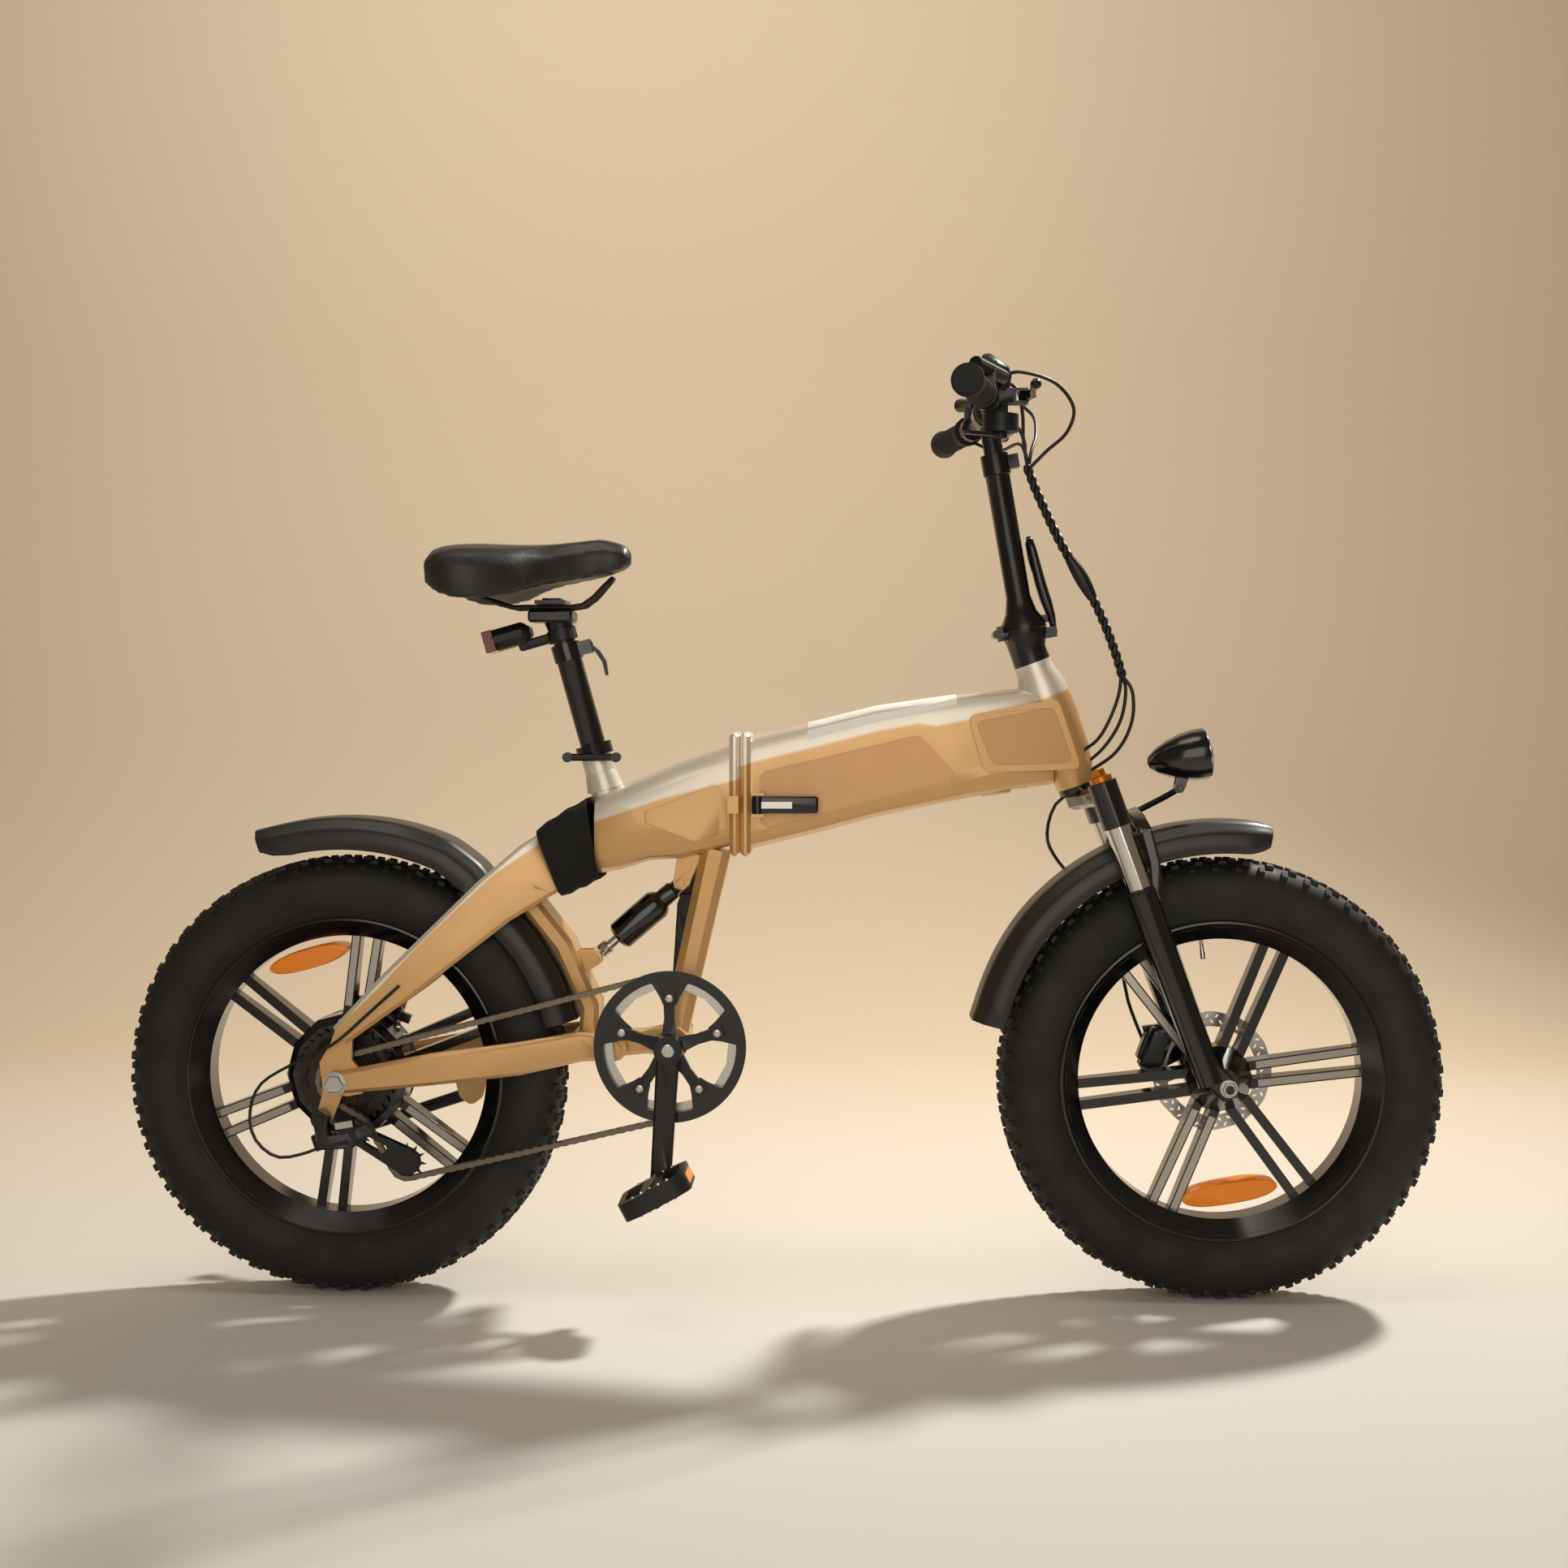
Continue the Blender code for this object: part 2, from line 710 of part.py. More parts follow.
def rear_wheel():
    profile = [
        (0, REAR_HUB_LEFT),
        (ROTOR_SEAT_RADIUS, REAR_HUB_LEFT),
        (ROTOR_SEAT_RADIUS, REAR_ROTOR_Y - ROTOR_THICKNESS / 2 - GAP),
        (0.034, REAR_ROTOR_Y - ROTOR_THICKNESS / 2 - GAP),
        (0.036, MOTOR_LEFT + 0.001),
        (MOTOR_RADIUS - 0.012, MOTOR_LEFT),
        (MOTOR_RADIUS, MOTOR_LEFT - 0.010),
        (MOTOR_RADIUS, MOTOR_RIGHT + 0.008),
        (MOTOR_RADIUS - 0.010, MOTOR_RIGHT),
        (0, MOTOR_RIGHT),
    ]
    return cast_wheel("rear_wheel", REAR_AXLE, REAR_SPOKE_ANGLE, profile, MOTOR_RADIUS - 0.006)


def brake_rotor(name, axle, y):
    windows = []
    slot = math.tau / ROTOR_ARMS
    for number in range(ROTOR_ARMS):
        start = number * slot
        low = ROTOR_HUB_RADIUS
        high = ROTOR_RADIUS - ROTOR_BAND
        corners = []
        for share in (0.16, 0.84):
            corners.append((low, start + slot * share))
        for share in (1.04, 0.63, 0.22):
            corners.append((high, start + slot * share))
        windows.append([(r * math.cos(a), r * math.sin(a)) for r, a in corners])
    centre_hole = circle(running_bore(ROTOR_SEAT_RADIUS, ROUND_SIDES), ROUND_SIDES)
    outlines = [circle(ROTOR_RADIUS, TYRE_STEPS), centre_hole, *windows]
    disc = plate(name, outlines, ROTOR_THICKNESS, y, (axle.x, axle.z))
    return finish(name, [disc], bright_steel())


# Drive train


def sprocket_outline(teeth, phase, chained=True):
    """A toothed outline. One that carries the chain sits between its rollers, with a flat root for each."""
    pitch_radius = teeth * PITCH / math.tau
    valley = pitch_radius - ROLLER_HALF_HEIGHT - 0.0006
    tip = pitch_radius + TOOTH_HEIGHT
    step = math.tau / teeth
    base = 0.0021 / valley
    corners = ((valley, -base), (tip, 0.0), (valley, base)) if chained else ((tip, 0.0), (valley, step / 2))
    points = []
    for number in range(teeth):
        middle = phase + number * step
        for radius, shift in corners:
            angle = middle + shift
            points.append((radius * math.cos(angle), radius * math.sin(angle)))
    return points


def chain_wheels(cage_turn):
    """The four wheels of the chain's loop: centre, teeth and the way the chain turns round each."""
    upper = Vector((UPPER_PULLEY_X, UPPER_PULLEY_Z))
    reach = Vector((math.cos(cage_turn), math.sin(cage_turn))) * CAGE_LENGTH
    return [
        (Vector((CRANK_X, CRANK_Z)), CHAINRING_TEETH, 1),
        (Vector((REAR_AXLE.x, REAR_AXLE.z)), COG_TEETH[0], 1),
        (upper, PULLEY_TEETH, -1),
        (upper + reach, PULLEY_TEETH, 1),
    ]


def chain_runs(wheels):
    """Straight runs between the wheels as (start, end) points, each leaving one wheel for the next."""
    runs = []
    for number, (centre, teeth, way) in enumerate(wheels):
        other, other_teeth, other_way = wheels[(number + 1) % len(wheels)]
        radius = teeth * PITCH / math.tau * way
        other_radius = other_teeth * PITCH / math.tau * other_way
        line = other - centre
        turn = -math.asin((other_radius - radius) / line.length)
        along = Matrix.Rotation(turn, 2) @ line.normalized()
        left = Vector((-along.y, along.x))
        runs.append((centre - left * radius, other - left * other_radius))
    return runs


def chain_pieces(wheels):
    """The loop as pieces in order: a straight run, then the arc round the wheel it reaches."""
    runs = chain_runs(wheels)
    pieces = []
    for number, (start, end) in enumerate(runs):
        pieces.append(("run", start, end, (end - start).length))
        centre, teeth, way = wheels[(number + 1) % len(wheels)]
        radius = teeth * PITCH / math.tau
        leaving = runs[(number + 1) % len(runs)][0]
        first = math.atan2(end.y - centre.y, end.x - centre.x)
        last = math.atan2(leaving.y - centre.y, leaving.x - centre.x)
        sweep = ((last - first) * way) % math.tau
        pieces.append(("arc", centre, (first, way, radius), sweep * radius))
    return pieces


def chain_length(cage_turn):
    return sum(piece[3] for piece in chain_pieces(chain_wheels(cage_turn)))


def taut_cage_turn():
    """The cage's angle at which the loop is a whole number of links."""
    low = math.radians(-85)
    high = math.radians(-20)
    wanted = CHAIN_LINKS * PITCH
    for _ in range(50):
        middle = (low + high) / 2
        if chain_length(middle) > wanted:
            low = middle
        else:
            high = middle
    return (low + high) / 2


def chain_point(pieces, distance):
    """The point and the outward side of the chain at a distance round the loop."""
    for kind, first, second, length in pieces:
        if distance > length:
            distance -= length
            continue
        if kind == "run":
            along = (second - first).normalized()
            return first + along * distance, Vector((along.y, -along.x))
        start, way, radius = second
        angle = start + way * distance / radius
        outward = Vector((math.cos(angle), math.sin(angle)))
        return first + outward * radius, outward * way
    kind, first, second, length = pieces[-1]
    start, way, radius = second
    outward = Vector((math.cos(start + way * length / radius), math.sin(start + way * length / radius)))
    return first + outward * radius, outward * way


def wheel_phase(pieces, number, teeth, way):
    """The angle of a tooth of the wheel that this arc goes round, midway between two rollers."""
    before = sum(piece[3] for piece in pieces[: number * 2 + 1])
    start = pieces[number * 2 + 1][2][0]
    rollers_past = before / PITCH
    share = (math.ceil(rollers_past) - rollers_past + 0.75) * math.tau / teeth
    return start + way * share


def chain(pieces):
    """Side plates all the way round, the outer one waisted, joined by a roller at every link."""
    bm = bmesh.new()
    stations = []
    for number in range(CHAIN_LINKS * 2):
        place, outward = chain_point(pieces, number * PITCH / 2)
        corners = []
        for y in (-CHAIN_OUTER_HALF, -CHAIN_INNER_HALF, CHAIN_INNER_HALF, CHAIN_OUTER_HALF):
            tall = WAIST_HALF_HEIGHT if number % 2 and y < 0 else ROLLER_HALF_HEIGHT
            for end in (-tall, tall):
                spot = place + outward * end
                corners.append(bm.verts.new((spot.x, CHAIN_Y + y, spot.y)))
        stations.append(corners)
    for number, here in enumerate(stations):
        there = stations[(number + 1) % len(stations)]
        for low in (0, 4):
            bm.faces.new((here[low], here[low + 1], there[low + 1], there[low]))
            bm.faces.new((here[low + 2], here[low + 3], there[low + 3], there[low + 2]))
            bm.faces.new((here[low], here[low + 2], there[low + 2], there[low]))
            bm.faces.new((here[low + 1], here[low + 3], there[low + 3], there[low + 1]))
    for number in range(0, len(stations), 2):
        bridge_roller(bm, stations[number], stations[number + 1])
    bmesh.ops.recalc_face_normals(bm, faces=bm.faces)
    return finish("chain", [helper_from(bm, "chain_links")], dark_chain())


def bridge_roller(bm, here, there):
    """Opens the plates' inner faces over half a link and joins them across."""
    right = (here[2], here[3], there[3], there[2])
    left = (here[4], here[5], there[5], there[4])
    for corners in (right, left):
        bm.faces.remove(bm.faces.get(corners))
    for number in range(4):
        following = (number + 1) % 4
        bm.faces.new((right[number], right[following], left[following], left[number]))


def lobed_hole(outer, inner, half_lobe, count=3):
    """A hole's outline with spokes' ends reaching in to the inner radius."""
    points = []
    slot = math.tau / SPIDER_ARMS
    for number in range(SPIDER_ARMS):
        arm = math.pi / 2 + number * slot
        points.append((inner, arm - half_lobe * 0.8))
        points.append((inner, arm + half_lobe * 0.8))
        points.append((inner + 0.012, arm + half_lobe * 1.05))
        for step in range(count):
            share = step / (count - 1)
            points.append((outer, arm + half_lobe * 1.45 + (slot - half_lobe * 2.9) * share))
        points.append((inner + 0.012, arm + slot - half_lobe * 1.05))
    return [(r * math.cos(a), r * math.sin(a)) for r, a in points]


def chain_bolt_places():
    slot = math.tau / SPIDER_ARMS
    angles = [math.pi / 2 + number * slot for number in range(SPIDER_ARMS)]
    return [(BOLT_CIRCLE_RADIUS * math.cos(a), BOLT_CIRCLE_RADIUS * math.sin(a)) for a in angles]


def chainring(phase):
    holes = [circle(0.0058, SMALL_SIDES, place) for place in chain_bolt_places()]
    outlines = [sprocket_outline(CHAINRING_TEETH, phase), lobed_hole(0.076, 0.057, 0.16), *holes]
    disc = plate("chainring_disc", outlines, CHAINRING_THICKNESS, CHAIN_Y, (CRANK_X, CRANK_Z))
    return finish("chainring", [disc], bright_steel())


def chain_guard():
    holes = [circle(0.0058, SMALL_SIDES, place) for place in chain_bolt_places()]
    inner = lobed_hole(GUARD_RADIUS - GUARD_BAND, 0.055, 0.19)
    outlines = [circle(GUARD_RADIUS, TYRE_STEPS), inner, *holes]
    disc = plate("chain_guard_disc", outlines, GUARD_THICKNESS, GUARD_Y, (CRANK_X, CRANK_Z))
    return finish("chain_guard", [disc], black_plastic())


def crank_arm_bar(name, side, tip):
    """The tapered bar of one crank, from the spindle to the pedal."""
    y = CRANK_ARM_Y * side
    half = CRANK_ARM_THICKNESS / 2
    middle = CRANK.lerp(tip, 0.5)
    stations = [(CRANK, 0.0150, half), (middle, 0.0140, half * 0.85), (tip, 0.0135, half * 0.85)]
    along = (tip - CRANK).normalized()
    across = along.cross(LEFTWARD)
    rings = []
    for centre, half_width, half_depth in stations:
        place = Vector((centre.x, y, centre.z))
        rings.append(ring_of(place, across, LEFTWARD, half_width, half_depth, 0.003, 1))
    return loft(name, rings)


def crank_tip(side):
    """The pedal axle's place in side view: the right crank hangs down and the left one stands up."""
    down = Vector((-math.sin(CRANK_LEAN), 0, -math.cos(CRANK_LEAN)))
    return CRANK + down * CRANK_LENGTH * side


def pedal_inner_y():
    return abs(CRANK_ARM_Y) + CRANK_ARM_THICKNESS / 2 + PEDAL_CLEARANCE


def crank_arm_right():
    tip = crank_tip(1)
    y = CRANK_ARM_Y
    face = GUARD_Y - GUARD_THICKNESS / 2 - GAP
    spider_y = face - 0.004
    pieces = [across_rod("right_crank_boss", CRANK, 0.019, y - 0.009, face, WIDE_SIDES)]
    for number, (x, z) in enumerate(chain_bolt_places()):
        outward = Vector((x, 0, z)).normalized()
        centre = Vector((CRANK_X, spider_y, CRANK_Z))
        rings = [
            square_ring(centre + outward * reach, outward.cross(LEFTWARD), LEFTWARD, half, 0.004)
            for reach, half in ((0.010, 0.011), (0.038, 0.0065), (0.0730, 0.0080))
        ]
        pieces.append(loft(f"spider_arm_{number}", rings))
        place = (CRANK_X + x, 0, CRANK_Z + z)
        back = CHAIN_Y + CHAINRING_THICKNESS / 2 + 0.001
        pieces.append(across_rod(f"chain_bolt_{number}", place, 0.005, spider_y - 0.006, back, SMALL_SIDES))
    pieces.append(crank_arm_bar("right_crank_bar", 1, tip))
    pieces.append(across_rod("right_pedal_boss", tip, 0.0135, y - 0.0075, y + 0.0075))
    axle_end = -(pedal_inner_y() + PEDAL_WIDTH * 0.9)
    pieces.append(across_rod("right_pedal_axle", tip, 0.0045, axle_end, y, ROUND_SIDES))
    return finish("crank_arm_right", pieces, black_metal())


def crank_arm_left():
    tip = crank_tip(-1)
    y = -CRANK_ARM_Y
    pieces = [across_rod("left_crank_boss", CRANK, 0.017, SHELL_HALF_WIDTH + 0.006, y + 0.009, WIDE_SIDES)]
    pieces.append(crank_arm_bar("left_crank_bar", -1, tip))
    pieces.append(across_rod("left_pedal_boss", tip, 0.0135, y - 0.0075, y + 0.0075))
    axle_end = pedal_inner_y() + PEDAL_WIDTH * 0.9
    pieces.append(across_rod("left_pedal_axle", tip, 0.0045, y, axle_end, ROUND_SIDES))
    right_end = CRANK_ARM_Y + 0.014
    pieces.append(across_rod("spindle", CRANK, SPINDLE_RADIUS, right_end, y, WIDE_SIDES))
    return finish("crank_arm_left", pieces, black_metal())


def spindle_socket():
    return across_rod(
        "spindle_socket", CRANK, SPINDLE_RADIUS + GAP, CRANK_ARM_Y + 0.014 - GAP, 0, WIDE_SIDES
    )


def pedal(name, side):
    """A caged platform pedal round its axle, with a window each side of the axle."""
    tip = crank_tip(side)
    centre_y = -side * (pedal_inner_y() + PEDAL_WIDTH / 2)
    half_length = PEDAL_LENGTH / 2
    half_width = PEDAL_WIDTH / 2
    tilt = PEDAL_TILT if side > 0 else math.radians(90)
    along = Vector((math.cos(tilt), 0, math.sin(tilt)))
    up = LEFTWARD.cross(along) * -1
    curve = bpy.data.curves.new(name, "CURVE")
    curve.dimensions = "2D"
    curve.fill_mode = "BOTH"
    curve.extrude = PEDAL_THICKNESS / 2
    outside = rounded(
        [
            (-half_length, -half_width * 0.82),
            (-half_length * 0.55, -half_width),
            (half_length * 0.55, -half_width),
            (half_length, -half_width * 0.82),
            (half_length, half_width * 0.82),
            (half_length * 0.55, half_width),
            (-half_length * 0.55, half_width),
            (-half_length, half_width * 0.82),
        ],
        0.006,
        1,
    )
    windows = []
    for way in (-1, 1):
        near = 0.0155 * way
        far = (half_length - 0.009) * way
        windows.append(
            [
                (near, -half_width + 0.010),
                (far, -half_width + 0.014),
                (far, half_width - 0.014),
                (near, half_width - 0.010),
            ],
        )
    for outline in [outside, *windows]:
        spline = curve.splines.new("POLY")
        spline.use_cyclic_u = True
        spline.points.add(len(outline) - 1)
        for point, (x, y) in zip(spline.points, outline):
            point.co = (x, y, 0.0, 1.0)
    frame = link_helper(bpy.data.objects.new(name + "_cage", curve))
    frame.matrix_world = frame_matrix(Vector((tip.x, centre_y, tip.z)), along, up)
    cage = baked(frame)
    ends = sorted((centre_y - half_width * 0.98, centre_y + half_width * 0.98))
    boss = across_rod(name + "_boss", tip, 0.0135, ends[0], ends[1])
    inner = -side * (pedal_inner_y() - 0.02)
    outer = -side * (pedal_inner_y() + PEDAL_WIDTH * 0.9 + GAP * 3)
    bore = across_rod(
        name + "_bore", tip, running_bore(0.0045, ROUND_SIDES), *sorted((inner, outer)), ROUND_SIDES
    )
    return finish(name, [cage, boss], black_plastic(), [bore])


def freewheel(phase):
    pieces = []
    axle = (REAR_AXLE.x, REAR_AXLE.z)
    for number, teeth in enumerate(COG_TEETH):
        y = CHAIN_Y + number * COG_SPACING
        hidden = 1 < number < len(COG_TEETH) - 1
        rim = circle(teeth * PITCH / math.tau, LARGE_SIDES)
        outline = rim if hidden else sprocket_outline(teeth, phase, number == 0)
        pieces.append(plate(f"cog_{teeth}", [outline], COG_THICKNESS, y, axle))
    profile = [
        (0, MOTOR_RIGHT - GAP * 2),
        (0.048, MOTOR_RIGHT - GAP * 2),
        (0.048, CHAIN_Y + COG_SPACING * 5.5),
        (0.030, CHAIN_Y + COG_SPACING * 3.5),
        (0.023, CHAIN_Y + COG_SPACING * 0.5),
        (0.018, CHAIN_Y - 0.004),
        (0, CHAIN_Y - 0.004),
    ]
    pieces.insert(0, turned("cog_carrier", profile, (REAR_AXLE.x, 0, REAR_AXLE.z), LEFTWARD, ROUND_SIDES))
    bore = across_rod("cog_bore", REAR_AXLE, running_bore(AXLE_RADIUS, ROUND_SIDES), -0.12, 0)
    return finish("freewheel", pieces, dark_chain(), [bore])


def pulley(name, centre, phase):
    disc = plate(name + "_disc", [sprocket_outline(PULLEY_TEETH, phase)], PULLEY_THICKNESS, CHAIN_Y, centre)
    place = Vector((centre[0], CHAIN_Y, centre[1]))
    boss = across_rod(name + "_boss", place, 0.0073, CHAIN_Y - 0.0042, CHAIN_Y + 0.0042, ROUND_SIDES)
    bore = across_rod(
        name + "_bore",
        place,
        running_bore(0.0030, SMALL_SIDES),
        CHAIN_Y - 0.02,
        CHAIN_Y + 0.02,
        SMALL_SIDES,
    )
    return finish(name, [disc, boss], black_plastic(), [bore])


def cage_outline(length, top, bottom):
    """A plate's outline round two unlike ends, along +X."""
    slope = math.asin((bottom - top) / length)
    points = []
    for step in range(5):
        angle = math.pi / 2 + slope + (math.pi - slope * 2) * step / 4
        points.append((top * math.cos(angle), top * math.sin(angle)))
    for step in range(6):
        angle = -math.pi / 2 - slope + (math.pi + slope * 2) * step / 5
        points.append((length + bottom * math.cos(angle), bottom * math.sin(angle)))
    return points


def derailleur_cage(cage_turn, upper, lower):
    turn = Matrix.Rotation(cage_turn, 2)
    outline = [tuple(turn @ Vector(point)) for point in cage_outline(CAGE_LENGTH, 0.011, 0.017)]
    window = rounded([(0.018, -0.006), (0.050, -0.0065), (0.050, 0.0065), (0.018, 0.006)], 0.003, 1)
    window = [tuple(turn @ Vector(point)) for point in window]
    pieces = []
    for side in (-1, 1):
        y = CHAIN_Y + side * 0.0068
        pieces.append(plate(f"cage_plate_{side}", [outline, window], 0.0014, y, upper))
    for number, place in enumerate((upper, lower)):
        spot = (place[0], 0, place[1])
        pieces.append(
            across_rod(f"cage_bolt_{number}", spot, 0.0030, CHAIN_Y - 0.0078, CHAIN_Y + 0.0082, SMALL_SIDES)
        )
    return finish("derailleur_cage", pieces, black_metal())


def derailleur_body(upper):
    outer = CHAIN_Y - 0.0068 - 0.0007 - GAP
    hanger_face = -(DROPOUT_INNER + DROPOUT_THICKNESS) - GAP
    hanger = Vector((HANGER_X, 0, HANGER_Z))
    lower = Vector((upper[0], 0, upper[1]))
    knuckle = across_rod("upper_knuckle", hanger, 0.0115, hanger_face - 0.020, hanger_face)
    bolt = across_rod("hanger_bolt", hanger, 0.0065, hanger_face - 0.024, hanger_face - 0.019, SMALL_SIDES)
    low_knuckle = across_rod("lower_knuckle", lower, 0.0135, hanger_face - 0.018, outer)
    y = hanger_face - 0.011
    start = Vector((HANGER_X, y, HANGER_Z))
    bow = Vector((HANGER_X + 0.006, y - 0.003, HANGER_Z - 0.030))
    end = Vector((upper[0], y, upper[1] - 0.004))
    nose = Vector((upper[0] + 0.028, y + 0.003, upper[1] + 0.010))
    link = bar_loft(
        "body_link", [(start, 0.008, 0.010), (bow, 0.008, 0.012), (end, 0.008, 0.011)], 0.003, 1
    )
    spring_box = bar_loft("spring_box", [(end, 0.008, 0.0125), (nose, 0.006, 0.008)], 0.003, 1)
    return finish("derailleur_body", [knuckle, bolt, low_knuckle, link, spring_box], black_metal())


# Rear suspension arm


def stay_points(side):
    """Stations of one chain stay and one seat stay: centre, half width, half depth."""
    y = STAY_HALF_SPACING * side
    chain_stay = [
        (Vector((-0.566, y, 0.291)), STAY_HALF_WIDTH, 0.0150),
        (Vector((-0.450, y, 0.308)), STAY_HALF_WIDTH, 0.0205),
        (Vector((-0.340, 0.068 * side, 0.3205)), STAY_HALF_WIDTH, 0.0215),
        (Vector((-0.262, 0.045 * side, 0.3330)), STAY_HALF_WIDTH, 0.0195),
        (Vector((PIVOT_X - 0.002, 0.0395 * side, PIVOT_Z)), STAY_HALF_WIDTH, 0.0160),
    ]
    seat_stay = [
        (Vector((-0.569, y, 0.352)), STAY_HALF_WIDTH, 0.0140),
        (Vector((-0.500, 0.077 * side, 0.4125)), STAY_HALF_WIDTH, 0.0230),
        (Vector((-0.371, 0.065 * side, 0.5250)), STAY_HALF_WIDTH, 0.0330),
        (Vector((-0.318, 0.051 * side, 0.5640)), STAY_HALF_WIDTH + 0.001, 0.0385),
        (Vector((-0.296, 0.046 * side, 0.5765)), STAY_HALF_WIDTH + 0.001, 0.0400),
    ]
    return chain_stay, seat_stay


def dropout(side):
    """The forged end of the arm, which holds the axle, with the gear hanger below it on the right."""
    axle_x, axle_z = REAR_AXLE.x, REAR_AXLE.z
    corners = [
        (axle_x - 0.018, axle_z - 0.012),
        (axle_x + 0.014, axle_z - 0.018),
        (axle_x + 0.034, axle_z - 0.014),
        (axle_x + 0.034, axle_z + 0.012),
        (axle_x + 0.020, axle_z + 0.030),
        (axle_x + 0.022, axle_z + 0.078),
        (axle_x + 0.004, axle_z + 0.082),
        (axle_x - 0.008, axle_z + 0.050),
        (axle_x - 0.022, axle_z + 0.026),
    ]
    pieces = []
    y = side * (DROPOUT_INNER + DROPOUT_THICKNESS / 2)
    pieces.append(plate(f"dropout_{side}", [corners], DROPOUT_THICKNESS, y))
    if side < 0:
        hanger = rounded(
            [
                (axle_x - 0.016, axle_z - 0.004),
                (HANGER_X - 0.011, HANGER_Z - 0.008),
                (HANGER_X + 0.009, HANGER_Z - 0.011),
                (axle_x + 0.010, axle_z - 0.010),
            ],
            0.004,
            1,
        )
        pieces.append(plate("gear_hanger", [hanger], DROPOUT_THICKNESS * 0.8, y))
    return pieces


def yoke_stations():
    """The front tube of the arm, which follows the tyre from the seat stays down to the pivot."""
    stations = []
    for degrees, shrink in ((46, 1.0), (31, 1.0), (16, 1.0)):
        angle = math.radians(degrees)
        centre = REAR_AXLE + Vector((math.cos(angle), 0, math.sin(angle))) * YOKE_RADIUS
        stations.append((centre, YOKE_HALF_WIDTH, YOKE_HALF_DEPTH * shrink))
    stations.append((Vector((-0.2530, 0, 0.3440)), YOKE_HALF_WIDTH, YOKE_HALF_DEPTH * 1.05))
    return stations


def shock_ears(name, centre, root, half_gap):
    """Two ears with a pin between them, each reaching from its root to the eye's centre."""
    pieces = []
    thickness = SHOCK_EAR_THICKNESS
    along = (Vector(centre) - Vector(root)).normalized()
    across = along.cross(LEFTWARD)
    for side in (-1, 1):
        y = side * (half_gap + thickness / 2)
        rings = []
        for place, half in (
            (Vector(root), 0.016), (Vector(centre), 0.0105), (Vector(centre) + along * 0.008, 0.006)
        ):
            spot = Vector((place.x, y, place.z))
            rings.append(square_ring(spot, across, LEFTWARD, half, thickness / 2))
        pieces.append(loft(f"{name}_ear_{side}", rings))
    reach = half_gap + thickness + 0.004
    pieces.append(across_rod(name + "_pin", centre, SHOCK_PIN_RADIUS, -reach, reach, ROUND_SIDES))
    return pieces


def swingarm():
    pieces = [bar_loft("yoke", yoke_stations(), 0.006, 1)]
    for side in (-1, 1):
        chain_stay, seat_stay = stay_points(side)
        pieces.append(bar_loft(f"chain_stay_{side}", chain_stay, 0.005, 1))
        pieces.append(bar_loft(f"seat_stay_{side}", seat_stay, 0.005, 1))
        pieces.extend(dropout(side))
        eye_out = 0.0500 * side
        eye_in = (0.0300 + GAP) * side
        pieces.append(
            across_rod(
                f"pivot_eye_{side}", PIVOT, PIVOT_BOSS_RADIUS, *sorted((eye_in, eye_out)), WIDE_SIDES
            ),
        )
    pieces.append(block("lower_bridge", (0.026, 0.092, 0.030), (-0.2600, 0, 0.3330)))
    pieces.append(
        block(
            "upper_bridge",
            (0.030, 0.128, 0.026),
            (-0.3370, 0, 0.5410),
            Vector((1, 0, 1)),
            Vector((-1, 0, 1)),
        ),
    )
    crown_centre = Vector((-0.2985, 0, 0.5745))
    stay_way = Vector((0.82, 0, 0.57)).normalized()
    pieces.append(
        block(
            "top_block",
            (0.022, 0.108, 0.078),
            crown_centre,
            stay_way,
            LEFTWARD.cross(stay_way) * -1,
            0.006,
            1,
        ),
    )
    pieces.extend(
        shock_ears("lower_shock", SHOCK_LOWER, Vector((-0.2655, 0, 0.4400)), SHOCK_EYE_HALF_WIDTH + GAP * 3)
    )
    pieces.append(
        caliper_mount("rear_caliper_mount", REAR_AXLE, REAR_CALIPER_ANGLE, REAR_ROTOR_Y, (-0.535, 0.385))
    )
    reach = DROPOUT_INNER + DROPOUT_THICKNESS
    pieces.append(
        across_rod("rear_axle_bar", REAR_AXLE, AXLE_RADIUS, -reach - 0.014, reach + 0.014, ROUND_SIDES)
    )
    for side in (-1, 1):
        ends = sorted((side * (reach - 0.001), side * (reach + 0.008)))
        pieces.append(across_rod(f"rear_nut_{side}", REAR_AXLE, 0.0095, *ends, SMALL_SIDES))
    bore = across_rod(
        "swingarm_bore", PIVOT, running_bore(PIVOT_PIN_RADIUS, WIDE_SIDES), -0.07, 0.07, WIDE_SIDES
    )
    return finish("swingarm", pieces, gold_paint(), [bore])


def shock_directions():
    along = (SHOCK_LOWER - SHOCK_UPPER).normalized()
    return along, (SHOCK_LOWER - SHOCK_UPPER).length


